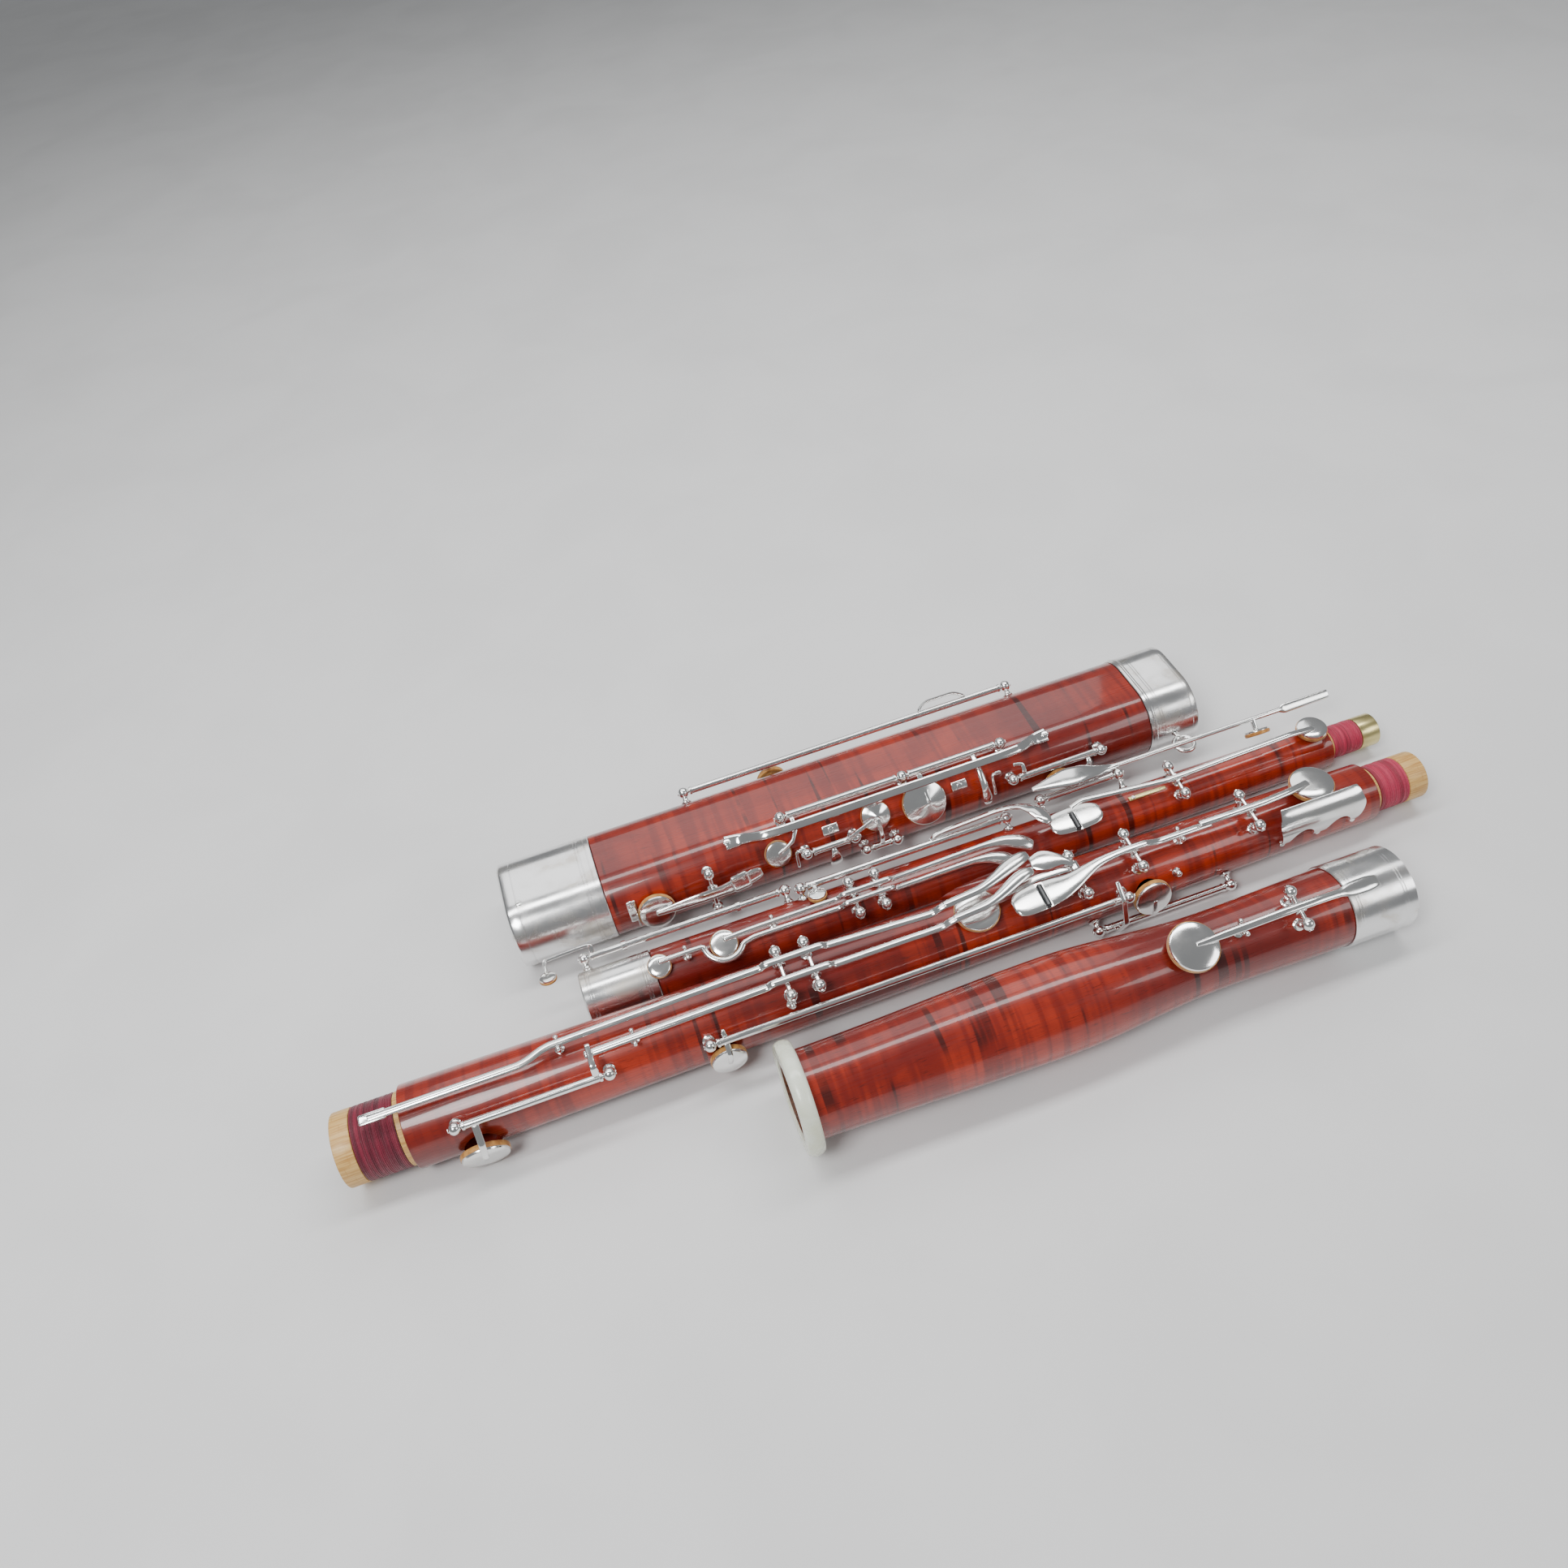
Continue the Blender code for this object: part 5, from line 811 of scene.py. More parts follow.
class Bench:
    """Makes the pieces of one section and fits them to its bodies."""

    def __init__(self, section: Section) -> None:
        """Take the section that the pieces belong to."""
        self.section = section

    def fit(self, name: str, parts: Sequence[Solid], finish: Finish, body: str = "", node: str = "",
            roll: float = 0.0, cuts: Sequence[Solid] = ()) -> Solid:
        """Finish a piece and let it ride on its body.

        Args:
            name: the piece's name.
            parts: its solids, which are united.
            finish: what it is made of.
            body: the body it moves with; the section's own by default.
            node: the CAD node it stands for, if any.
            roll: how far its frame is rolled about the bore, in degrees.
            cuts: solids that are cut out of it.

        Returns:
            The finished piece.
        """
        solid = unite(list(parts), list(cuts))
        solid.name = name
        solid.data.name = name
        solid.data.transform(self.section.matrix() @ Matrix.Rotation(math.radians(roll), 4, "X"))
        solid.data.materials.clear()
        solid.data.materials.append(FINISHES[finish])
        solid.data.shade_smooth()
        solid.data.set_sharp_from_angle(angle=math.radians(SMOOTH_BELOW))
        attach(solid, body or self.section.body)
        if node:
            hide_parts(node)
        LOG.info("%s: %d faces", name, len(solid.data.polygons))
        return solid

    def turn(self, name: str, node: str, profile: Route, finish: Finish,
             cuts: Sequence[Solid] = ()) -> Solid:
        """Turned piece with a bore through it, on the joint's own axis."""
        solid = lathe(profile, sides=TURNED_SIDES, closed=True)
        return self.fit(name, [solid], finish, node=node, cuts=cuts)

    def post(self, station: float, angle: float, floor: float, reach: float) -> Solid:
        """Turned ball post from a foot on the wood to a ball at reach.

        Args:
            station: where along the bore.
            angle: angle from z towards the front, in degrees.
            floor: radius of the wood under it.
            reach: radius at which the ball is.

        Returns:
            The post.
        """
        size = HARDWARE
        tall = reach - floor
        neck = tall - size.ball
        profile = [(0.0, 0.0), (0.0, size.foot - 0.2), (0.3, size.foot), (0.8, size.foot),
                   (size.foot_height, size.foot - 0.7), (size.foot_height + 0.3, size.stem + 0.5),
                   (size.foot_height + 1.0, size.stem + 0.1)]
        if neck > size.foot_height + 3.0:
            profile += [(neck - 1.5, size.stem - 0.2), (neck - 1.2, size.stem + 0.45),
                        (neck - 0.6, size.stem + 0.45), (neck - 0.2, size.stem - 0.15)]
        steps = 12
        first = 2
        for step in range(first, steps + 1):
            turn = math.pi * step / steps
            radius = size.ball * math.sin(turn) if step < steps else 0.0
            profile.append((tall - size.ball * math.cos(turn), radius))
        profile = [
            entry for index, entry in enumerate(profile) if index < 7 or entry[0] > profile[index - 1][0]]
        return lathe(profile, polar(station, angle, floor), polar(0.0, angle, 1.0), 24)

    def cross_posts(self, node: str, station: float, floor: float, roll: float, splay: float,
                    reach: float) -> None:
        """Two ball posts astride a lever, with the axle and its slotted ends.

        Args:
            node: the CAD node that it stands for.
            station: where along the bore.
            floor: radius of the wood under it.
            roll: roll of its frame about the bore, in degrees.
            splay: angle from the middle to each post, in degrees.
            reach: radius of the axle or rod.
        """
        front = Vector(polar(station, splay, reach))
        back = Vector(polar(station, -splay, reach))
        way = (back - front).normalized()
        parts = [self.post(station, splay, floor, reach), self.post(station, -splay, floor, reach),
                 rod(front, back, HARDWARE.axle)]
        for centre, out in ((front, -way), (back, way)):
            parts.append(slotted(centre + out * HARDWARE.ball * 0.97, out, 1.3, 0.35))
        self.fit(f"{node}_turned", parts, Finish.SILVER, node=node, roll=roll)

    def rod_posts(self, node: str, stations: Sequence[float], floors: Sequence[float], roll: float,
                  reach: float) -> None:
        """Ball posts in a row along a pivot rod, whose end has a slot.

        Args:
            node: the CAD node that it stands for.
            stations: where the posts stand.
            floors: radius of the wood under each.
            roll: roll of its frame about the bore, in degrees.
            reach: radius of the axle or rod.
        """
        parts = [self.post(station, 0.0, floor, reach) for station, floor in zip(stations, floors)]
        first = (stations[0], 0.0, reach)
        last = (stations[-1], 0.0, reach)
        parts.append(rod(first, last, HARDWARE.pivot))
        for end, way in ((first, -1.0), (last, 1.0)):
            place = Vector(end) + Vector(ALONG) * (way * HARDWARE.ball * 0.97)
            parts.append(slotted(place, (way, 0.0, 0.0), 1.2, 0.35))
        self.fit(f"{node}_turned", parts, Finish.SILVER, node=node, roll=roll)

    def barrel(self, first: float, last: float, reach: float) -> list[Solid]:
        """Hollow key barrel between two balls, with a collar at each end.

        Args:
            first: station of the first post.
            last: station of the last post.
            reach: radius of the axle or rod.

        Returns:
            The barrel and its collars.
        """
        size = HARDWARE
        start = first + size.ball + GAP
        end = last - size.ball - GAP
        inner = size.pivot + 0.3
        parts = [tube((start, 0.0, reach), (end, 0.0, reach), size.barrel, inner)]
        for collar in (start, end - 1.8):
            parts.append(tube((collar, 0.0, reach), (collar + 1.8, 0.0, reach), size.barrel + 0.35, inner))
        return parts

    def key(self, node: str, parts: Sequence[Solid], cups: Sequence[PadCup], roll: float,
            cuts: Sequence[Solid] = ()) -> None:
        """Key with its pad cups and their pads, which ride on the key's own body.

        Args:
            node: the CAD node that it stands for.
            parts: its solids.
            cups: its pad cups.
            roll: roll of its frame about the bore, in degrees.
            cuts: solids that are cut out of it.
        """
        metal = list(parts) + [cup.metal() for cup in cups]
        self.fit(f"{node}_forged", metal, Finish.SILVER, node, node, roll, cuts)
        for index, cup in enumerate(cups):
            self.fit(f"{node}_pad_{index + 1}", [cup.leather()], Finish.PAD, node, roll=roll)

    def hub(self, station: float, across: float, height: float) -> Solid:
        """Hub of a lever, bored for its cross axle.

        Args:
            station: where along the bore.
            across: how far across its middle lies.
            height: its height.

        Returns:
            The hub.
        """
        half = HARDWARE.hub_length / 2.0
        first = (station, across - half, height)
        return tube(first, (station, across + half, height), HARDWARE.hub, HARDWARE.axle + 0.3)

    def lever(self, node: str, roll: float, pivot: tuple[float, float, float], parts: Sequence[Solid],
              cups: Sequence[PadCup] = ()) -> None:
        """Lever on a cross axle at pivot, a (station, across, height)."""
        self.key(node, [self.hub(*pivot), *parts], cups, roll)

    def split_key(self, node: str, parts: Sequence[Solid], slot: Solid, roller: Solid, roll: float,
                  cups: Sequence[PadCup] = ()) -> None:
        """Key whose plate is slotted for a roller."""
        self.key(node, parts, cups, roll, [slot])
        self.fit(f"{node}_roller", [roller], Finish.ROLLER, node, roll=roll)

    def guide(self, name: str, station: float, angle: float, floor: float, reach: float,
              width: float) -> None:
        """Forked guide on the wood whose two prongs stand beside a lever.

        Args:
            name: the piece's name.
            station: where along the bore.
            angle: angle from z towards the front, in degrees.
            floor: radius of the wood under it.
            reach: radius of the lever's top.
            width: width of the lever.
        """
        parts = [
            lathe(((0.0, 0.0), (0.0, 2.5), (0.7, 2.6), (1.0, 2.0), (1.3, 1.3), (reach - floor - 3.0, 1.2),
            (reach - floor - 2.4, 0.0)), polar(station, angle, floor), polar(0.0, angle, 1.0))]
        half = width / 2.0 + 1.5
        outward = Vector(polar(0.0, angle, 1.0))
        across = outward.cross(Vector(ALONG))
        bed = Vector(polar(station, angle, reach - 3.2))
        parts.append(rod(bed - across * half, bed + across * half, 1.1))
        for side in (-1.0, 1.0):
            foot = bed + across * (half * side)
            parts.append(rod(foot, foot + outward * 2.6, 1.0))
            parts.append(ball(foot + outward * 2.8, 1.35))
        self.fit(name, parts, Finish.SILVER)

    def wood_screw(self, name: str, station: float, angle: float, floor: float, radius: float = 2.2,
                   roll: float = 0.0) -> None:
        """Slotted screw head that sits on a foot or on the wood."""
        head = slotted(polar(station, angle, floor), polar(0.0, angle, 1.0), radius, 0.7)
        self.fit(name, [head], Finish.SILVER, roll=roll)


def axle_height(splay: float, reach: float) -> float:
    """Height of a cross axle above the bore axis in its rolled frame."""
    return reach * math.cos(math.radians(splay))


def plain_bar(points: Route, width: float = HARDWARE.bar_width, height: float = HARDWARE.bar_height) -> Solid:
    """Bar of one width and height through points."""
    return bar([(*point, width / 2.0, height / 2.0) for point in points], 2.1)


def arm(points: Route, width: float = 4.0, height: float = 2.0) -> Solid:
    """Flat arm that leaves a barrel edge-on and tapers towards its cup.

    Args:
        points: the places it passes through.
        width: width where it starts.
        height: its height.

    Returns:
        The arm.
    """
    count = len(points) - 1
    route = []
    for index, point in enumerate(points):
        keep = 1.0 - 0.28 * index / count
        route.append((*point, height / 2.0, width / 2.0 * keep))
    return bar(route, 3.2, ALONG, 1.6)


def on_barrel(station: float, toward: Numbers, reach: float) -> tuple[float, float, float]:
    """Point just inside a barrel's wall, on the side that faces toward.

    Args:
        station: where along the bore.
        toward: the point that the arm heads for.
        reach: radius of the barrel's middle.

    Returns:
        The point.
    """
    way = Vector((0.0, toward[1], toward[2] - reach)).normalized()
    grip = (HARDWARE.barrel + HARDWARE.pivot + 0.3) / 2.0 + 0.1
    return (station, way.y * grip, reach + way.z * grip)


def arm_from(station: float, reach: float, points: Route, width: float = 4.0, height: float = 2.0) -> Solid:
    """Arm that starts in a barrel's wall and passes through points."""
    return arm((on_barrel(station, points[0], reach), *points), width, height)


def dress_wood(solid: Solid, section: Section, bare: Sequence[tuple[float, float]],
               bore: Callable[[float], float], bores: Sequence[float] = (0.0,)) -> None:
    """Give tenons bare wood and bores a dark stain.

    Args:
        solid: the wooden body, already in place.
        section: the section it belongs to.
        bare: station ranges whose outside is bare maple.
        bore: the radius of the bore at a station.
        bores: how far across each bore axis lies.
    """
    solid.data.materials.append(FINISHES[Finish.BARE_MAPLE])
    solid.data.materials.append(FINISHES[Finish.BORE])
    back = section.matrix().inverted()
    for face in solid.data.polygons:
        middle = back @ face.center
        near = min(math.hypot(middle.y - across, middle.z) for across in bores)
        if near < bore(middle.x) + 0.3:
            face.material_index = 2
        elif any(start - 0.05 <= middle.x <= end + 0.05 for start, end in bare):
            face.material_index = 1


def thread_winding(bench: Bench, node: str, start: float, end: float, radius: float, finish: Finish) -> None:
    """Thread wound round a tenon in uneven turns.

    Args:
        bench: the joint's bench.
        node: the CAD node that it stands for.
        start: where it starts.
        end: where it ends.
        radius: radius of the tenon.
        finish: what it is made of.
    """
    inner = radius - 1.4
    profile = []
    station = start + GAP
    turn = 0.9
    while station + turn < end - GAP:
        swell = 0.10 + 0.07 * math.sin(station * 2.3) + 0.05 * math.sin(station * 0.9)
        profile += [(station + 0.08, radius - 0.28), (station + turn * 0.3, radius - 0.20 + swell),
                    (station + turn * 0.7, radius - 0.20 + swell), (station + turn - 0.08, radius - 0.28)]
        station += turn
    profile += [
        (end - GAP, radius - 0.3), (end - GAP, inner), (start + GAP, inner), (start + GAP, radius - 0.3)]
    bench.turn(f"{node}_wound", node, profile, finish)


class TurnedJoint:
    """Round joint whose posts stand on its own outside."""

    section: Section

    def __post_init__(self) -> None:
        """Open the bench for this joint."""
        self.bench = Bench(self.section)

    def radius(self, station: float) -> float:
        """Radius of the outside, which each joint gives for itself."""
        raise NotImplementedError(type(self).__name__)

    def floor(self, station: float) -> float:
        """Radius at which posts stand."""
        return self.radius(station) + SINK


# ==================================================================== long joint
@dataclass
class LongJoint(TurnedJoint):
    """Long joint with its low-note levers, rods and guard."""

    length: float = 635.0
    top_radius: float = 22.6
    end_radius: float = 17.0
    upper_tenon: float = 36.0
    upper_radius: float = 19.9
    upper_tip: float = 10.0
    lower_tenon: float = 34.0
    lower_radius: float = 14.0
    lower_tip: float = 12.0
    bore_top: float = 16.0
    bore_end: float = 9.5
    ring: float = 3.2
    thread: float = 1.4
    roll: float = 10.5
    splay: float = 26.0
    axle_reach: float = 9.6
    rod_reach: float = 7.0
    low_b_hole: float = 70.0
    low_c_hole: float = 203.5
    leaf_hole: float = 355.0
    low_d_hole: float = 452.0
    e_hole: float = 563.0
    low_c_start: float = 196.0
    low_c_roll: float = 59.0
    roller_axle: float = 449.0
    section: Section = Section("long_joint", "long_upper_tenon_end", 17.95)

    def radius(self, station: float) -> float:
        """Radius of the wood."""
        share = (station - self.upper_tenon) / (self.length - self.upper_tenon - self.lower_tenon)
        return self.top_radius + (self.end_radius - self.top_radius) * min(max(share, 0.0), 1.0)

    def bore(self, station: float) -> float:
        """Radius of the bore."""
        return self.bore_top + (self.bore_end - self.bore_top) * station / self.length

    def wood(self) -> None:
        """Turned maple with bare tenons, wound threads and tone holes."""
        shoulder = self.length - self.lower_tenon
        thread_end = self.upper_tenon - self.ring
        lower_thread = shoulder + self.ring
        lower_tip = self.length - self.lower_tip
        upper_neck = self.upper_radius - self.thread - GAP
        lower_neck = self.lower_radius - self.thread - GAP
        profile = soften((
            (0.0, self.upper_radius), (self.upper_tip, self.upper_radius), (self.upper_tip, upper_neck),
            (thread_end, upper_neck), (thread_end, self.upper_radius), (self.upper_tenon, self.upper_radius),
            (self.upper_tenon, self.top_radius), (shoulder, self.end_radius), (shoulder, self.lower_radius),
            (lower_thread, self.lower_radius), (lower_thread, lower_neck), (lower_tip, lower_neck),
            (lower_tip, self.lower_radius), (self.length, self.lower_radius), (self.length, self.bore_end),
            (0.0, self.bore_top)), 0.7, 2, 3, closed=True)
        cuts = []
        holes = ((self.low_b_hole, 104.0, 10.0), (self.low_c_hole, 90.0, 7.0), (self.low_d_hole, 78.0, 8.0),
                 (self.e_hole, 0.0, 6.4), (self.leaf_hole, 12.0, 9.6))
        for station, angle, size in holes:
            top = polar(station, angle, self.radius(station) + 5.0)
            cuts.append(rod(top, polar(station, angle, self.bore(station) - 4.0), size))
        body = self.bench.turn("long_body_wood", "long_body", profile, Finish.MAPLE, cuts)
        dress_wood(body, self.section, ((0.0, self.upper_tenon), (shoulder, self.length)), self.bore)
        thread_winding(self.bench, "long_upper_thread", self.upper_tip, thread_end, self.upper_radius,
                       Finish.BURGUNDY)
        thread_winding(
            self.bench, "long_lower_thread", lower_thread, lower_tip, self.lower_radius, Finish.PINK)

    def low_levers(self) -> None:
        """The two long levers from the thumb touches to the bell end."""
        flat_axle, b_axle = 244.0, 260.0
        reach = self.radius(flat_axle) + self.axle_reach
        height = axle_height(self.splay, reach)
        self.bench.cross_posts(
            "low_b_flat_posts", flat_axle, self.floor(flat_axle), self.roll, self.splay, reach)
        self.bench.cross_posts("low_b_posts", b_axle, self.floor(b_axle), self.roll, self.splay, reach)
        top = height + 3.4
        left = flat_axle - 8.0
        right = b_axle + 8.0
        run = height + 0.8
        rise = height + 4.6
        line = 6.8
        flat_bar = plain_bar(
            ((22.0, -0.5, run + 0.6), (101.0, -0.5, run + 0.9), (106.0, 0.6, run + 0.9),
            (113.0, 3.4, run + 0.9), (118.0, 4.4, run + 0.9), (left - 2.0, line, run), (left, line, top),
            (right, line, top), (right + 2.5, line, run), (331.0, 4.2, run - 0.6), (335.0, 4.4, rise - 1.2),
            (339.0, 4.6, rise)))
        flat_touch = bar((
            (337.0, 4.5, rise, 2.2, 1.2), (360.0, 6.4, rise, 2.4, 1.3), (370.0, 9.8, rise, 3.0, 1.4),
            (379.0, 14.0, rise - 0.6, 4.0, 1.4), (388.0, 17.0, rise - 1.6, 4.0, 1.4),
            (393.0, 18.4, rise - 2.6, 2.2, 1.0)), 2.0, reach=5.0)
        flat_tip = bar(((18.0, -0.5, run + 0.6, 2.8, 0.9), (32.0, -0.5, run + 0.6, 2.8, 0.9)), 5.0)
        self.bench.lever(
            "low_b_flat_lever", self.roll, (flat_axle, line, height), [flat_bar, flat_touch, flat_tip])
        line = -5.0
        b_bar = plain_bar(
            ((133.5, -6.8, run + 0.4), (left - 2.0, line, run), (left, line, top), (right, line, top),
            (right + 2.5, line, run), (333.0, line, run - 0.6), (337.0, line, rise - 1.2),
            (341.0, line, rise)))
        b_touch = bar((
            (339.0, line, rise, 2.2, 1.2), (360.0, -3.6, rise, 2.4, 1.3), (370.0, 0.0, rise + 0.2, 3.0, 1.4),
            (379.0, 4.4, rise + 0.2, 3.6, 1.4), (386.0, 6.8, rise, 3.4, 1.4),
            (391.0, 7.6, rise - 1.0, 2.0, 1.0)), 2.0, reach=5.0)
        self.bench.lever("low_b_lever", self.roll, (b_axle, line, height), [b_bar, b_touch])
        self.low_b_cup(run)
        for name, station, across, level in (("low_b_flat_guide", 122.0, 4.5, run + 0.9),
                                             ("low_b_guide", 160.0, -6.3, run + 0.3)):
            angle = self.roll - math.degrees(math.atan2(across, level))
            self.bench.guide(
                name, station, angle, self.floor(station), math.hypot(across, level), HARDWARE.bar_width)

    def low_b_cup(self, lever_run: float) -> None:
        """Pad cup at the bell end on its own short rod.

        Args:
            lever_run: height of the levers that cross over its link.
        """
        first, last, roll = 62.0, 143.0, 50.0
        reach = self.radius(first) + self.rod_reach
        self.bench.rod_posts(
            "low_b_cup_posts", (first, last), (self.floor(first), self.floor(last)), roll, reach)
        turn = 54.0
        station = self.low_b_hole
        seat = self.radius(station) + HARDWARE.pad_lift
        shoulder = polar(station + 2.0, turn * 0.45, reach + 3.0)
        cup_arm = arm_from(station + 2.0, reach, (shoulder,
                       polar(station + 1.0, turn * 0.75, seat + 7.4), polar(station, turn, seat + 5.0)))
        link_at = 136.5
        lever_turn = self.roll - roll
        clear = lever_run + 0.4 + HARDWARE.bar_height / 2.0 + GAP + 1.3
        near = math.hypot(clear, 6.8)
        link_turn = lever_turn + math.degrees(math.atan2(6.8, clear))
        knee = polar(link_at, link_turn * 0.45, reach + 4.4)
        link = arm_from(link_at, reach, (knee, polar(link_at, link_turn + 6.0, near + 0.4),
                    polar(link_at, link_turn - 7.0, near + 0.3)))
        self.bench.key("low_b_cup", [*self.bench.barrel(first, last, reach), cup_arm, link],
                       [PadCup(station, turn, seat, 13.0)], roll)

    def low_c(self) -> None:
        """Low C key on the long rod at the front."""
        last = 436.0
        first = self.low_c_start
        roll = self.low_c_roll
        reach = self.radius(first) + self.rod_reach
        self.bench.rod_posts("low_c_posts", (first, last), (self.floor(first), self.floor(last)), roll, reach)
        turn = 31.0
        station = self.low_c_hole
        seat = self.radius(station) + HARDWARE.pad_lift
        bend = polar(station + 1.0, turn * 0.5, seat + 7.0)
        cup_arm = arm_from(station + 1.0, reach, (bend, polar(station, turn, seat + 5.0)), 3.4)
        spur = polar(station + 1.0, -13.0, reach + 0.4)
        nub = arm_from(station + 1.0, reach, (spur,), 3.0)
        self.bench.key("low_c_key", [*self.bench.barrel(first, last, reach), cup_arm, nub],
                       [PadCup(station, turn, seat, 10.0)], roll)

    def low_d(self) -> None:
        """Low D key with an arm that reaches over the low C rod."""
        first, last, roll = 420.0, 502.0, 111.0
        reach = self.radius(first) + 6.5
        self.bench.rod_posts("low_d_posts", (first, last), (self.floor(first), self.floor(last)), roll, reach)
        turn = -33.0
        station = self.low_d_hole
        seat = self.radius(station) + HARDWARE.pad_lift
        bend = polar(station, turn * 0.45, reach + 2.6)
        cup_arm = arm_from(station, reach, (bend, polar(station, turn, seat + 4.9)))
        rod_turn = self.low_c_roll - roll
        over = self.radius(self.low_c_start) + self.rod_reach + HARDWARE.barrel + GAP + 4.2
        link_at = 430.0
        heel = polar(link_at, -8.0, reach + 4.0)
        link = arm_from(
            link_at, reach, (heel, polar(link_at, rod_turn * 0.6, over),
            polar(link_at, rod_turn - 3.0, over + 0.4), polar(link_at, rod_turn - 22.0, over - 1.4)), 3.6)
        self.bench.key("low_d_key", [*self.bench.barrel(first, last, reach), cup_arm, link],
                       [PadCup(station, turn, seat, 11.0)], roll)

    def roller_and_pad(self) -> None:
        """Split thumb plate with its roller, and the pad lever that it lifts."""
        pad_axle, roll, splay = 521.0, 8.0, 23.0
        axle = self.roller_axle
        reach = self.radius(axle) + self.axle_reach
        height = axle_height(splay, reach)
        self.bench.cross_posts("roller_posts", axle, self.floor(axle), roll, splay, reach)
        start = 372.0
        end = start + 36.0
        middle = (start + end) / 2.0
        half = 8.5
        line = -9.4
        top = height + HARDWARE.hub_to_bar
        lift_end = 497.0
        low = height + 0.1
        plate = bar((
            (start, line - 1.0, top, half * 0.5, 1.2), (start + 4.0, line - 1.0, top, half * 0.9, 1.2),
            (middle - 6.0, line, top, half, 1.2), (middle + 8.0, line + 0.6, top, half * 0.9, 1.2),
            (end, line + 2.0, top, half * 0.62, 1.2), (end + 18.0, -1.4, top, 2.6, 1.1),
            (axle - 8.0, 0.0, top, 2.1, 1.1), (axle + 8.0, 0.0, top, 2.1, 1.1)), 2.8, reach=6.0)
        tail = plain_bar(((axle + 6.0, 0.0, top), (axle + 15.0, 0.0, low), (lift_end, 0.0, low)))
        slot = block((middle, line - 1.0, top + 1.2), (2.3, half * 1.2, 1.5))
        barrel = rod(
            (middle, line - half * 0.86, top + 0.45), (middle, line + half * 0.78, top + 0.45), 1.75, 0.5)
        self.bench.split_key(
            "roller_lever", [self.bench.hub(axle, 0.0, height), plate, tail], slot, barrel, roll)
        pad_reach = self.radius(pad_axle) + self.axle_reach
        self.bench.cross_posts("e_pad_posts", pad_axle, self.floor(pad_axle), roll, splay, pad_reach)
        pad_height = axle_height(splay, pad_reach)
        pad_top = pad_height + HARDWARE.hub_to_bar
        station = self.e_hole
        seat = self.radius(station) + HARDWARE.pad_lift + 1.0
        above = low + HARDWARE.bar_height + 0.8
        beam = plain_bar(((489.0, 0.0, above), (pad_axle - 9.0, 0.0, pad_top), (pad_axle + 8.0, 0.0, pad_top),
                          (station - 16.0, 1.4, pad_top - 0.6), polar(station - 3.0, -8.0, seat + 5.5)))
        self.bench.lever("e_pad_lever", roll, (pad_axle, 0.0, pad_height), [beam],
                         [PadCup(station, -8.0, seat, 12.4)])

    def leaf(self) -> None:
        """Leaf touch whose arm carries the pad cup under the low touches."""
        axle, roll, splay = 415.0, 12.0, 27.0
        reach = self.radius(axle) + self.axle_reach - 2.0
        height = axle_height(splay, reach)
        self.bench.cross_posts("leaf_posts", axle, self.floor(axle), roll, splay, reach)
        station = self.leaf_hole
        seat = self.radius(station) + 1.6
        low = seat + 4.1
        line = 5.0
        beam = bar(((station - 2.0, 0.0, low, 2.0, 0.8), (axle - 22.0, line, low, 2.0, 0.8),
                    (axle - 2.0, line, height, 2.0, 0.9)), 4.0)
        leaf = bar((
            (axle, line, height + 2.5, 1.8, 0.8), (axle - 4.0, line + 4.0, height + 3.4, 2.2, 1.0),
            (axle - 8.0, 11.2, height + 3.4, 4.2, 1.0), (axle - 15.0, 13.6, height + 2.8, 6.6, 1.0),
            (axle - 22.0, 14.6, height + 1.6, 3.6, 0.9)), 2.0, reach=4.0)
        self.bench.lever("leaf_key", roll, (axle, line, height), [beam, leaf],
                         [PadCup(station, 0.0, seat, 12.6, 3.6, 0.4, 2.4)])

    def guard(self) -> None:
        """Bent guard with a scalloped foot, screwed to the wood beside the pad."""
        start, width = 531.0, 54.0
        reach = 13.0
        sheet = 1.4
        floor = self.radius(start) + GAP + sheet / 2.0
        top = self.radius(start) + reach
        middle = start + width / 2.0
        route = []
        steps = 14
        foot_angle = 76.0
        top_angle = 24.0
        for index in range(steps + 1):
            share = index / steps
            angle = foot_angle + (top_angle - foot_angle) * share
            radius = floor + (top - floor) * math.sin(share * math.pi / 2.0)
            narrow = 7.0 * abs(share - 0.6)
            route.append((*polar(middle, angle, radius), width / 2.0 - narrow, sheet / 2.0))
        up = polar(0.0, (foot_angle + top_angle) / 2.0, 1.0)
        plate = bar(route, 7.0, up, 1.0)
        scallops = [rod(Vector(polar(middle + shift, foot_angle + 2.0, floor - 4.0)),
                        Vector(polar(middle + shift, foot_angle - 6.0, floor + 12.0)), 7.6)
                    for shift in (-11.5, 11.5)]
        self.bench.fit(
            "long_guard_plate_formed", [plate], Finish.SILVER, node="long_guard_plate", cuts=scallops)
        for index, shift in enumerate((-22.4, 0.0, 22.4)):
            self.bench.wood_screw(
                f"guard_screw_{index + 1}", middle + shift, foot_angle - 2.0, floor + sheet / 2.0, 1.7)

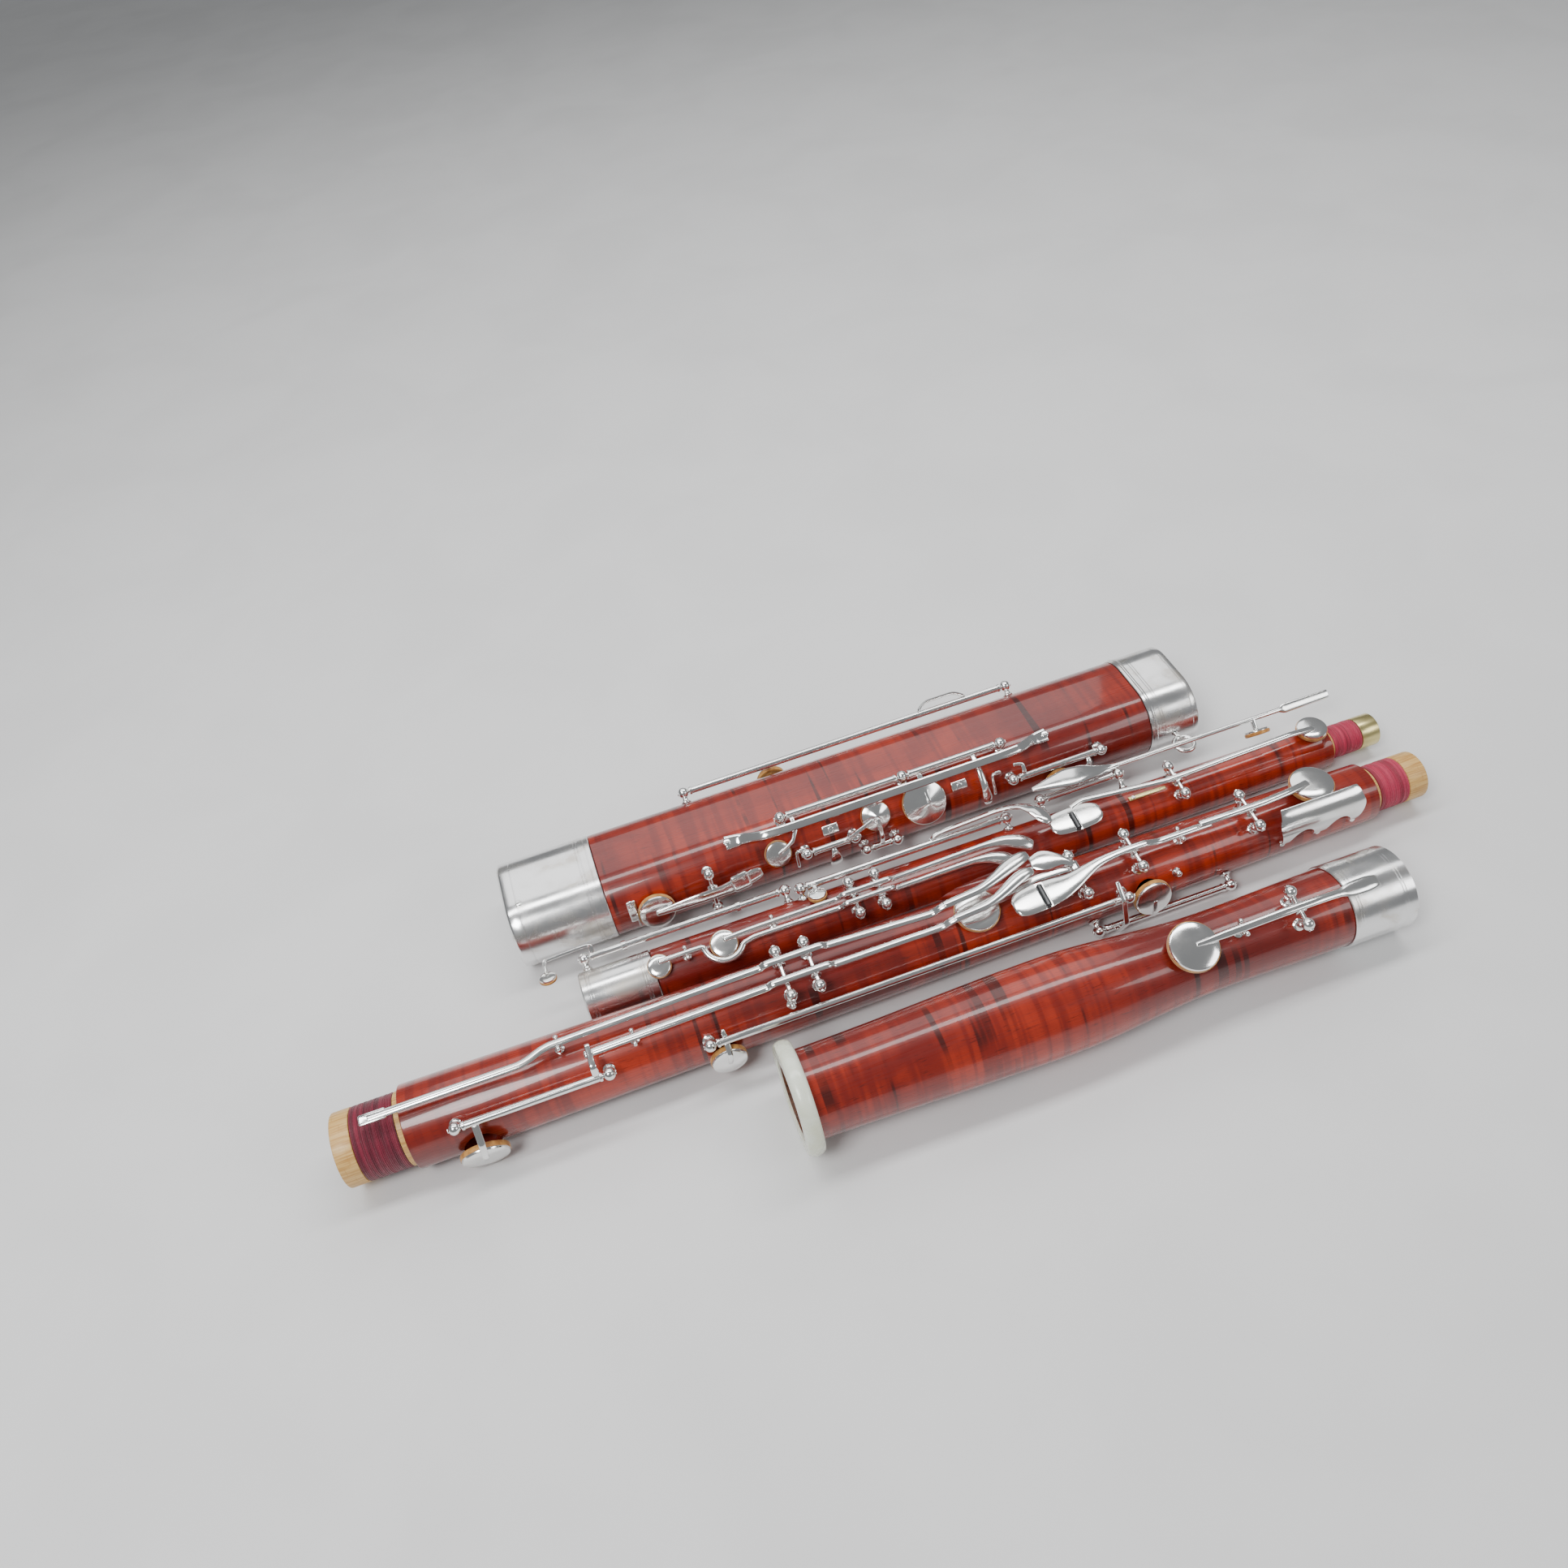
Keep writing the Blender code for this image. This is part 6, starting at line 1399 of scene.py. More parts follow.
    def trims(self) -> None:
        """Small posts and knobs on the wood beside the rods."""
        for name, station, angle, reach in (
                ("long_mid_post", 243.4, 49.0, 5.0), ("long_rod_post", 470.0, 58.0, 3.4)):
            floor = self.floor(station)
            knob = [lathe(((0.0, 0.0), (0.0, 2.5), (0.8, 2.6), (1.1, 1.5), (reach - 0.9, 1.2)),
                          polar(station, angle, floor), polar(0.0, angle, 1.0)),
                    ball(polar(station, angle, floor + reach), 1.9)]
            self.bench.fit(name, knob, Finish.SILVER)
        self.bench.guide(
            "e_pad_guide", 478.0, 8.0, self.floor(478.0), self.radius(self.roller_axle) + 7.6,
            HARDWARE.bar_width)

    def build(self) -> None:
        """Make every piece of the joint."""
        self.wood()
        self.low_levers()
        self.low_c()
        self.low_d()
        self.roller_and_pad()
        self.leaf()
        self.guard()
        self.trims()


# ==================================================================== wing joint
@dataclass
class WingJoint(TurnedJoint):
    """Wing joint with its boss, thumb levers and rods."""

    length: float = 500.0
    top_radius: float = 15.4
    end_radius: float = 13.4
    ferrule: float = 42.0
    ferrule_wall: float = 1.0
    proud: float = 0.4
    tenon: float = 34.0
    tenon_radius: float = 10.0
    tip: float = 12.0
    ring: float = 3.0
    thread: float = 1.4
    bore_top: float = 4.6
    bore_end: float = 6.3
    socket_radius: float = 5.4
    socket_depth: float = 24.0
    boss_start: float = 205.0
    boss_length: float = 92.0
    boss_reach: float = 9.0
    boss_angle: float = 92.0
    roll: float = 21.5
    splay: float = 23.4
    axle_reach: float = 8.6
    rod_reach: float = 6.6
    c_cup: float = 44.7
    c_hole: float = 48.7
    a_hole: float = 82.4
    swelling_start: float = 412.0
    blade_hole: float = 430.0
    roller_hole: float = 455.0
    section: Section = Section("wing_joint", "wing_bocal_socket_face", 10.5)

    def radius(self, station: float) -> float:
        """Radius of the outside: the top ferrule, then the tapering wood.

        Args:
            station: where along the bore.

        Returns:
            The radius.
        """
        if station < self.ferrule:
            return self.top_radius + self.proud
        share = (station - self.ferrule) / (self.length - self.ferrule - self.tenon)
        return self.top_radius + (self.end_radius - self.top_radius) * min(max(share, 0.0), 1.0)

    def bore(self, station: float) -> float:
        """Radius of the bore, or of the socket near the top.

        Args:
            station: where along the bore.

        Returns:
            The radius.
        """
        if station < self.socket_depth:
            return self.socket_radius
        return self.bore_top + (self.bore_end - self.bore_top) * station / self.length

    def wood(self) -> None:
        """Maple with the flame-shaped boss, finger holes, tenon and thread."""
        shoulder = self.length - self.tenon
        thread = shoulder + self.ring
        tip = self.length - self.tip
        neck = self.tenon_radius - self.thread - GAP
        seat = self.top_radius - self.ferrule_wall - GAP
        start = GAP + self.ferrule_wall
        end = self.length - GAP
        outline = soften(
            ((start, seat), (self.ferrule, seat), (self.ferrule, self.top_radius),
            (shoulder, self.end_radius), (shoulder, self.tenon_radius), (thread, self.tenon_radius),
            (thread, neck), (end, neck)), 0.6, 2, 3)
        middle = self.boss_start + self.boss_length / 2.0
        core = self.radius(middle) - 2.4
        boss = []
        for index in range(17):
            share = index / 16.0
            swell = math.sin(share * math.pi)
            reach = 5.0 + (self.boss_reach - 1.0) * swell
            place = polar(
                self.boss_start + self.boss_length * share, self.boss_angle, core - 5.4 + reach * 0.62)
            boss.append((*place, 4.0 + 5.4 * swell, 3.0 + 4.6 * swell))
        swelling = []
        for index in range(9):
            share = index / 8.0
            swell = math.sin(share * math.pi * 0.55)
            lift = (self.radius(self.swelling_start) - 8.4) + 2.8 * swell
            swelling.append((*polar(self.swelling_start + 50.0 * share, 0.0, lift), 7.0 + 2.6 * swell, 7.4))
        before = self.socket_depth - 0.01
        cuts = [
            lathe(((start - 1.0, self.socket_radius), (before, self.socket_radius),
            (self.socket_depth, self.bore(self.socket_depth)), (end + 1.0, self.bore(end + 1.0))), sides=48)]
        holes = ((self.a_hole, self.roll - 6.0, 5.0), (self.c_hole, self.roll - 6.0, 2.4),
                 (self.roller_hole, 0.0, 6.0), (self.blade_hole, -50.0, 4.5))
        for station, angle, size in holes:
            top = polar(station, angle, self.radius(station) + 7.8)
            cuts.append(rod(top, polar(station, angle, self.bore(station) - 2.0), size))
        finger = 2.6
        rim = self.radius(middle) - 2.4 - 5.4 + (5.0 + (self.boss_reach - 1.0) * 0.9) * 0.62 + 6.7
        for station in (middle - 24.0, middle, middle + 24.0):
            top = polar(station, self.boss_angle, self.radius(middle) + 14.0)
            cuts.append(rod(top, polar(station, self.boss_angle, self.bore(middle) - 2.0), finger))
            cuts.append(lathe(((-1.2, finger), (1.4, 4.4)), polar(station, self.boss_angle, rim),
                              polar(0.0, self.boss_angle, 1.0), 32))
        parts = [lathe(outline, sides=TURNED_SIDES), bar(boss, 2.0, reach=3.0, sides=40),
                 bar(swelling, 2.2, reach=3.0, sides=40)]
        body = self.bench.fit("wing_body_wood", parts, Finish.MAPLE, node="wing_body", cuts=cuts)
        dress_wood(body, self.section, ((shoulder, self.length),), self.bore)
        outer = self.top_radius + self.proud
        stop = self.ferrule - GAP
        lines = grooves(outer, (4.0, 5.6, stop - 6.6, stop - 5.0), 0.22)
        cap = [
            (0.8, outer), *lines, (stop - 0.5, outer), (stop, outer - 0.5),
            (stop, self.top_radius - self.ferrule_wall),
            (self.ferrule_wall, self.top_radius - self.ferrule_wall),
            (self.ferrule_wall, self.socket_radius + 1.0), (0.0, self.socket_radius + 1.0),
            (0.0, outer - 0.8)]
        self.bench.turn("wing_top_ferrule_spun", "wing_top_ferrule", cap, Finish.TURNED_SILVER)
        thread_winding(self.bench, "wing_thread", thread, tip, self.tenon_radius, Finish.PINK)
        sleeve = soften(
            ((tip, self.tenon_radius), (self.length, self.tenon_radius), (self.length, neck + GAP),
            (tip, neck + GAP)), 0.4, 2, 3, closed=True)
        self.bench.turn("wing_tenon_tip_turned", "wing_tenon_tip", sleeve, Finish.BRASS)

    def thumb_levers(self) -> None:
        """Two thumb levers; the longer one bows round the pad cup of the other."""
        a_axle, c_axle = 159.5, 175.3
        reach = self.radius(a_axle) + self.axle_reach
        height = axle_height(self.splay, reach)
        self.bench.cross_posts("wing_a_posts", a_axle, self.floor(a_axle), self.roll, self.splay, reach)
        self.bench.cross_posts("wing_c_posts", c_axle, self.floor(c_axle), self.roll, self.splay, reach)
        top = height + 3.4
        left = a_axle - 6.4
        right = c_axle + 6.4
        run = height - 1.2
        cup_at = self.a_hole
        seat = self.radius(cup_at) + 1.4
        line = 2.7
        low = seat + 4.5
        cup_line = 1.8
        a_bar = plain_bar(
            ((cup_at, cup_line, low), (cup_at + 18.0, cup_line + 0.6, low), (left - 2.0, line, run),
            (left, line, top), (right, line, top), (right + 2.0, line, run + 1.8)), 3.2)
        a_touch = bar(((right + 1.0, line, run + 1.8, 1.6, 1.1), (240.0, line + 0.8, run + 2.4, 1.9, 1.2),
                       (252.0, line - 0.6, run + 3.0, 3.4, 1.6), (261.0, line - 4.4, run + 2.8, 4.6, 1.8),
                       (267.0, line - 8.4, run + 1.6, 3.0, 1.1)), 2.0, reach=4.0)
        self.bench.lever("wing_a_key", self.roll, (a_axle, line, height), [a_bar, a_touch],
                         [PadCup(cup_at, 0.0, seat, 8.0, 4.0, 0.5, 2.5)])
        line = -2.7
        bow_radius = 11.6
        bow = []
        for index in range(17):
            angle = math.radians(151.0) * index / 16.0
            bow.append(
                (cup_at - bow_radius * math.cos(angle), cup_line - bow_radius * math.sin(angle), low - 0.4))
        c_bar = plain_bar(
            [(self.c_cup, cup_line, low), (cup_at - bow_radius - 6.0, cup_line, low - 0.2)] + bow
            + [(cup_at + bow_radius + 5.0, line + 0.4, low - 0.4), (left - 2.0, line, run), (left, line, top),
            (right, line, top), (right + 2.0, line, run + 0.4)], 3.2)
        c_touch = bar(((right + 1.0, line, run + 0.4, 1.6, 1.1), (232.0, line + 0.2, run + 0.8, 1.9, 1.2),
                       (242.0, line - 1.4, run + 1.0, 3.2, 1.6), (249.0, line - 4.6, run + 0.6, 4.4, 1.8),
                       (254.0, line - 8.6, run - 0.6, 3.0, 1.1)), 2.0, reach=4.0)
        self.bench.lever("wing_c_key", self.roll, (c_axle, line, height), [c_bar, c_touch],
                         [PadCup(self.c_cup, 0.0, seat, 6.8, 4.0, 0.5, 2.5)])
        for name, station, across, level in (("high_c_guide", 61.0, cup_line, low - 0.1),
                                             ("high_a_guide", 112.0, 2.5, (low + run) / 2.0)):
            angle = self.roll - math.degrees(math.atan2(across, level))
            self.bench.guide(name, station, angle, self.floor(station), math.hypot(across, level), 3.2)

    def c_sharp(self) -> None:
        """Rod key whose touch wraps over the top of the joint."""
        first, last, roll = 134.0, 262.0, -34.0
        reach = self.radius(first) + self.rod_reach
        self.bench.rod_posts(
            "c_sharp_posts", (first, last), (self.floor(first), self.floor(last)), roll, reach)
        cup_at = 141.5
        turn = -12.0 - roll
        seat = self.radius(cup_at) + 1.8
        cup_arm = arm(
            (on_barrel(cup_at, polar(cup_at, 8.0, reach + 1.0), reach), polar(cup_at, 10.0, reach + 0.6),
            polar(cup_at, turn, seat + 3.6)), 3.0, 1.6)
        rise = reach + 5.0
        start = on_barrel(216.0, (0.0, 0.0, rise), reach)
        touch = bar(
            ((*start, 1.8, 1.1), (216.4, -0.2, rise - 1.8, 2.0, 1.2), (219.0, -0.4, rise - 0.6, 2.0, 1.2),
            (224.0, -0.8, rise, 2.2, 1.3), (256.0, -2.0, rise + 1.6, 2.2, 1.3),
            (264.0, -4.4, rise + 1.9, 2.6, 1.4), (270.0, -9.0, rise + 1.6, 3.4, 1.4),
            (274.5, -15.0, rise - 0.6, 5.0, 1.8), (277.0, -20.6, rise - 4.4, 4.8, 1.7),
            (278.4, -25.0, rise - 8.2, 2.4, 1.1)), 2.2, reach=2.2)
        self.bench.key("c_sharp_key", [*self.bench.barrel(first, last, reach), cup_arm, touch],
                       [PadCup(cup_at, turn, seat, 5.6, 3.4, 0.4, 2.1)], roll)

    def whisper(self) -> None:
        """Slim rod with a crank and a small pad for the bocal's nipple."""
        first, last, roll = 6.0, 126.0, -52.0
        reach = self.radius(first) + self.rod_reach
        self.bench.rod_posts(
            "whisper_posts", (first, last), (self.floor(first), self.floor(last)), roll, reach)
        pad_at = -15.0
        near = first + HARDWARE.ball + GAP + 1.8
        bend = (near, -1.6, reach + 6.6)
        crank = arm_from(near, reach, (bend, (near - 6.0, -2.6, reach + 6.8),
                     (pad_at, -4.0, reach + 6.0), (pad_at, -8.0, reach + 3.6)), 3.0, 1.8)
        stem = bar(
            ((pad_at, -7.0, reach + 4.2, 1.5, 1.0), (pad_at, -12.0, reach - 0.6, 1.5, 1.0)), 3.0, ALONG)
        inward = 12.6
        level = reach - 3.2
        inner = HARDWARE.pivot + 0.3
        collars = [tube((station, 0.0, reach), (station + 3.0, 0.0, reach), HARDWARE.barrel + 0.7, inner)
                   for station in (28.0, 96.0)]
        pad = PadCup(
            pad_at, math.degrees(math.atan2(inward, level)), math.hypot(inward, level) - 2.0, 5.0, 3.0, 0.4,
            1.4)
        self.bench.key(
            "whisper_key", [*self.bench.barrel(first, last, reach), *collars, crank, stem], [pad], roll)

    def roller(self) -> None:
        """Split thumb plate with a roller, on a long lever with a pad near the tenon."""
        axle, roll, splay = 363.5, 10.0, 26.4
        reach = self.radius(axle) + self.axle_reach
        height = axle_height(splay, reach)
        self.bench.cross_posts("wing_roller_posts", axle, self.floor(axle), roll, splay, reach)
        top = height + HARDWARE.hub_to_bar
        start = 280.0
        end = start + 32.0
        middle = (start + end) / 2.0
        half = 8.0
        line = -4.0
        plate = bar(((start, line, top, half * 0.55, 1.1), (start + 4.0, line, top, half * 0.9, 1.1),
                     (middle, line, top, half, 1.1), (end - 4.0, line, top, half * 0.88, 1.1),
                     (end, line, top, half * 0.5, 1.1)), 2.8, reach=4.0)
        pad_at = self.roller_hole
        seat = self.radius(pad_at) + 4.2
        beam = plain_bar(
            ((middle, line + half - 1.0, top + 0.2), (middle + 8.0, line + half + 1.6, top + 0.3),
            (end + 4.0, 4.4, top), (axle - 8.0, 0.0, top), (axle + 6.0, 0.0, top),
            (pad_at - 16.0, 1.6, seat + 6.4), (pad_at, 1.6, seat + 4.4)), 3.6)
        slot = block((middle - 1.0, line - half * 0.35, top + 1.1), (2.2, half * 0.95, 1.5))
        pad = PadCup(pad_at, -8.0, seat, 9.0, 4.0, 0.6, 2.5)
        barrel = rod(
            (middle - 1.0, line - half * 0.9, top + 0.4), (middle - 1.0, line + half * 0.5, top + 0.4), 1.7,
            0.5)
        self.bench.split_key(
            "wing_roller_key", [self.bench.hub(axle, 0.0, height), plate, beam], slot, barrel, roll, [pad])

    def blade(self) -> None:
        """Blade touch on a short barrel, with a long slim arm to a flat tip."""
        first, last, roll = 287.0, 338.0, -50.0
        reach = self.radius(first) + 9.6
        self.bench.rod_posts("blade_posts", (first, last), (self.floor(first), self.floor(last)), roll, reach)
        rise = reach + 5.0
        middle = (first + last) / 2.0
        high = rise + 2.4
        tilt = 55.0
        stem = bar(((middle, 0.0, reach + 1.6, 2.0, 1.5), (middle, -0.6, rise, 2.0, 1.5),
                    (middle, -3.4, high, 2.0, 1.5)), 2.6, ACROSS)
        touch = bar(((first - 4.0, -4.0, high, 1.4, 0.9), (first + 6.0, -4.4, high + 0.2, 3.8, 1.0),
                     (first + 20.0, -4.8, high + 0.3, 7.0, 1.1), (first + 32.0, -3.4, high - 0.2, 5.6, 1.1),
                     (first + 42.0, -1.0, rise + 0.8, 3.0, 1.1), (last + 2.0, 0.0, rise, 2.0, 1.2)), 2.2,
                    polar(0.0, tilt, 1.0), 5.0)
        end = 482.0
        tip = end - 34.0
        beam = bar(
            ((last - 2.0, 0.0, rise, 1.5, 1.5), (tip, 0.0, rise, 1.5, 1.5), (tip + 3.0, 0.0, rise, 0.8, 3.0),
            (end, 0.0, rise, 0.8, 2.6)), 2.4, reach=1.4)
        pad_at = self.blade_hole
        seat = self.radius(pad_at) + 5.0
        pad = PadCup(pad_at, 0.0, seat, 7.5, 3.6, 0.5, 2.2)
        hanger = rod((pad_at, 0.0, seat + 3.0), (pad_at, 0.0, rise), 1.6)
        self.bench.key(
            "blade_key", [*self.bench.barrel(first, last, reach), stem, touch, beam, hanger], [pad], roll)

    def spring(self) -> None:
        """Flat spring on the wood beside the roller lever, held by a screw."""
        station, angle = 346.0, 7.0
        floor = self.floor(station)
        strip = bar(((*polar(station - 12.0, angle, floor + 0.5), 1.5, 0.5),
                     (*polar(station + 12.0, angle, floor + 0.4), 1.1, 0.4)), 3.0, polar(0.0, angle, 1.0))
        self.bench.fit("wing_spring", [strip], Finish.BRASS)
        self.bench.wood_screw("wing_spring_screw", station - 9.0, angle, floor + 1.1, 1.2)

    def build(self) -> None:
        """Make every piece of the joint."""
        self.wood()
        self.spring()
        self.thumb_levers()
        self.c_sharp()
        self.whisper()
        self.roller()
        self.blade()


# ==================================================================== boot joint
@dataclass
class BootJoint:
    """Boot joint with its cap, ferrule, rail and keys."""

    length: float = 433.0
    radius: float = 23.0
    spread: float = 10.5
    cap: float = 57.0
    wall: float = 1.1
    cap_floor: float = 3.0
    ferrule: float = 32.0
    spigot: float = 30.0
    bore_offset: float = 14.5
    wing_bore: float = 7.0
    long_bore: float = 8.6
    wing_socket: float = 10.35
    long_socket: float = 14.35
    socket_depth: float = 36.0
    proud: float = 0.5
    f_hole: float = 82.5
    trill_hole: float = 159.0
    back_hole: float = 176.0
    cone_hole: float = 220.6
    g_hole: float = 251.0
    b_flat_hole: float = 336.0
    section: Section = Section("boot_joint", "boot_cap_end", 0.0)

    def __post_init__(self) -> None:
        """Open a bench for the whole joint and one for each rounded side."""
        self.bench = Bench(self.section)
        self.front = Bench(replace(self.section, side=-self.spread))
        self.back = Bench(replace(self.section, side=self.spread))
        self.floor = self.radius + SINK

    def bore(self, station: float) -> float:
        """Widest radius that counts as bored at a station."""
        return self.long_socket if station > self.length - self.socket_depth - 0.5 else self.long_bore

    def wood(self) -> None:
        """Oval maple block with its bores, sockets and tone holes."""
        end = self.length - GAP - self.wall
        ferrule = self.length - self.ferrule
        spigot = self.cap - self.spigot
        neck = self.radius - self.wall - GAP
        outline = soften(((spigot, neck), (self.cap, neck), (self.cap, self.radius), (ferrule, self.radius),
                          (ferrule, neck), (end, neck)), 0.5, 2, 3)
        cuts = []
        for across, bore, socket in ((-self.bore_offset, self.wing_bore, self.wing_socket),
                                     (self.bore_offset, self.long_bore, self.long_socket)):
            floor = self.length - self.socket_depth
            cuts.append(lathe(((spigot - 2.0, bore), (floor - 0.02, bore), (floor, socket),
                               (self.length + 2.0, socket)), (0.0, across, 0.0), sides=FINE_SIDES))
        holes = ((self.trill_hole, 58.0, 5.0), (self.g_hole, 56.0, 7.6), (self.cone_hole, 52.0, 6.0),
                 (self.f_hole, 77.0, 8.0), (self.b_flat_hole, 90.0, 5.4), (self.back_hole, -84.0, 6.0))
        for station, angle, size in holes:
            shift = Vector((0.0, -math.copysign(self.spread, angle), 0.0))
            cuts.append(rod(Vector(polar(station, angle, self.radius + 5.0)) + shift,
                            Vector(polar(station, angle, 2.0)) + shift, size))
        body = self.bench.fit(
            "boot_body_wood", [lathe(outline, sides=TURNED_SIDES, spread=self.spread)], Finish.MAPLE,
            node="boot_body", cuts=cuts)
        dress_wood(body, self.section, (), self.bore, (-self.bore_offset, self.bore_offset))

    def metal(self) -> None:
        """Bottom cap, the U tube inside it, and the ferrule round the sockets."""
        inner = self.radius - self.wall
        outer = self.radius + self.proud
        stop = self.cap - GAP
        lines = grooves(outer, (8.0, stop - 9.0, stop - 7.2, stop - 3.0), 0.25)
        shell = lathe([(0.0, outer - 2.6), (0.4, outer - 1.5), (1.2, outer - 0.5), (2.2, outer), *lines,
                       (stop - 0.4, outer), (stop, outer - 0.4)], sides=TURNED_SIDES, spread=self.spread)
        hollow = lathe(
            ((self.cap_floor, inner - 0.8), (self.cap_floor + 0.8, inner), (self.cap + 2.0, inner)),
            sides=TURNED_SIDES, spread=self.spread)
        self.bench.fit(
            "boot_bottom_cap_spun", [shell], Finish.TURNED_SILVER, node="boot_bottom_cap", cuts=[hollow])

        spigot = self.cap - self.spigot - GAP
        bend = self.bore_offset
        lead = spigot - 1.8
        depth = lead - self.cap_floor - 1.2 - self.long_bore - 0.9
        route = [(spigot - 0.2, -bend, 0.0)]
        for index in range(17):
            angle = math.pi * index / 16.0
            route.append((lead - depth * math.sin(angle), -bend * math.cos(angle), 0.0))
        route.append((spigot - 0.2, bend, 0.0))
        size = self.long_bore + 0.9
        elbow = bar([(*point, size, size) for point in route], 2.0, reach=0.5, sides=32)
        flange = lathe(((spigot - 1.2, 11.4), (spigot, 11.4)), sides=48, spread=bend * 0.62)
        openings = [rod((spigot - 1.8, across, 0.0), (spigot + 1.0, across, 0.0), self.long_bore)
                    for across in (-bend, bend)]
        self.bench.fit("boot_u_tube_drawn", [flange, elbow], Finish.NICKEL, node="boot_u_tube", cuts=openings)

        start = self.length - self.ferrule + GAP
        sleeve = lathe(
            [(start, outer - 0.4), (start + 0.4, outer), (start + 2.0, outer), (start + 2.4, outer + 0.4),
            (start + 3.0, outer + 0.5), (start + 3.4, outer + 0.4), (start + 4.0, outer),
            *grooves(outer, (start + 7.0, start + 8.6, self.length - 4.0), 0.22), (self.length - 0.9, outer),
            (self.length - 0.3, outer - 0.3), (self.length, outer - 0.9)], sides=TURNED_SIDES,
            spread=self.spread)
        cuts = [
            lathe(((start - 2.0, inner), (self.length - self.wall, inner)), sides=TURNED_SIDES,
            spread=self.spread)]
        for across, size in ((-self.bore_offset, self.wing_socket), (self.bore_offset, self.long_socket)):
            cuts.append(
                lathe(((self.length - 4.0, size), (self.length + 2.0, size)), (0.0, across, 0.0),
                sides=FINE_SIDES))
        self.bench.fit(
            "boot_top_ferrule_spun", [sleeve], Finish.TURNED_SILVER, node="boot_top_ferrule", cuts=cuts)

    def upper_keys(self) -> None:
        """Two keys that share the upper rod."""
        roll = 17.0
        reach = self.radius + 6.0
        first, centre, last = 166.5, 243.0, 306.0
        self.front.rod_posts("boot_upper_posts", (first, centre, last), (self.floor,) * 3, roll, reach)
        turn = 58.0 - roll
        seat = self.radius + 1.6
        at = first + HARDWARE.ball + 3.0
        bend = polar(at, turn * 0.45, reach + 0.8)
        thin = arm_from(at, reach, (bend, polar(at - 4.0, turn * 0.75, seat + 5.6),
                    polar(self.trill_hole, turn, seat + 4.2)), 2.8, 1.8)
        self.front.key("boot_trill_key", [*self.front.barrel(first, centre, reach), thin],
                       [PadCup(self.trill_hole, turn, seat, 8.0, 4.0, 0.5, 2.5)], roll)
        turn = 56.0 - roll
        seat = self.radius + 2.4
        at = 253.0
        bend = polar(at, turn * 0.5, reach + 0.6)
        holder = arm_from(at, reach, (bend, polar(at, turn * 0.98, seat + 6.4)), 3.4, 1.8)
        tear_at = 287.5
        tear_bend = polar(tear_at, turn * 0.6, reach + 2.0)
        tear = bar(((*on_barrel(tear_at, tear_bend, reach), 1.8, 1.2), (*tear_bend, 1.8, 1.2),
                    (*polar(tear_at, turn * 1.05, reach + 3.6), 2.0, 1.1),
                    (*polar(tear_at + 0.5, turn * 1.45, reach + 3.0), 3.2, 1.1),
                    (*polar(tear_at + 1.0, turn * 1.66, reach + 1.8), 2.0, 0.9)), 2.2, reach=3.0)
        self.front.key("boot_g_key", [*self.front.barrel(centre, last, reach), holder, tear],
                       [PadCup(self.g_hole, turn, seat, 13.6, 3.4, 3.0, 1.7)], roll)

    def side_keys(self) -> None:
        """Paddle, spun cone and B flat keys along the lower front."""
        roll = 68.0
        reach = self.radius + 6.2
        first, last = 175.0, 205.0
        self.front.rod_posts("boot_paddle_posts", (first, last), (self.floor,) * 2, roll, reach)
        at = 191.0
        bend = polar(at, 8.0, reach + 2.0)
        paddle = bar(((*on_barrel(at, bend, reach), 1.6, 1.0), (*bend, 1.8, 1.0),
                      (*polar(at, 16.0, reach + 2.6), 3.6, 1.0), (*polar(at, 25.0, reach + 1.8), 3.9, 1.0),
                      (*polar(at, 30.0, reach + 0.8), 2.2, 0.8)), 2.2, reach=2.5)
        near = last - HARDWARE.ball - 2.6
        over = self.radius + 11.6
        arch = arm((on_barrel(near, polar(near, -5.0, reach + 6.0), reach), polar(near, -5.0, over + 1.0),
                    polar(near + 5.0, -9.0, over + 1.4), polar(217.0, 52.0 - roll, over + 1.0)), 2.8, 1.6)
        self.front.key("boot_paddle_key", [*self.front.barrel(first, last, reach), paddle, arch], [], roll)

        roll = 92.0
        first, last = 210.5, 230.0
        self.front.rod_posts("boot_cone_posts", (first, last), (self.floor,) * 2, roll, reach)
        turn = 52.0 - roll
        seat = self.radius + 2.2
        at = self.cone_hole
        bend = polar(at, turn * 0.4, reach + 2.6)
        holder = arm_from(at, reach, (bend, polar(at, turn * 0.96, seat + 6.0)), 3.0, 1.8)
        self.front.key("boot_cone_key", [*self.front.barrel(first, last, reach), holder],
                       [PadCup(at, turn, seat, 9.0, 3.0, 3.0, 1.5)], roll)

        roll = 64.0
        first, last = 306.5, 364.0
        self.front.rod_posts("boot_b_flat_posts", (first, last), (self.floor,) * 2, roll, reach)
        turn = 90.0 - roll
        seat = self.radius + 2.4
        crown = seat + 4.6
        at = last - HARDWARE.ball - 6.0
        bend = polar(at, turn * 0.35, reach + 2.6)
        sickle = bar(
            ((*on_barrel(at, bend, reach), 1.6, 1.1), (*bend, 1.8, 1.1),
            (*polar(at - 5.0, turn * 0.8, crown + 1.6), 2.0, 1.1),
            (*polar(self.b_flat_hole + 4.0, turn, crown + 0.4), 2.0, 1.0),
            (*polar(self.b_flat_hole, turn, crown), 1.8, 0.9)), 2.6)
        near = first + HARDWARE.ball + 3.4
        arch = arm((on_barrel(near, polar(near, -6.0, reach + 2.0), reach), polar(near, -7.0, reach + 3.4),
                    polar(near, -16.0, reach + 3.2), polar(near - 6.0, -18.0, reach + 3.4)), 2.8, 1.8)
        self.front.key("boot_b_flat_key", [*self.front.barrel(first, last, reach), sickle, arch],
                       [PadCup(self.b_flat_hole, turn, seat, 8.4, 4.0, 0.5, 2.5)], roll)

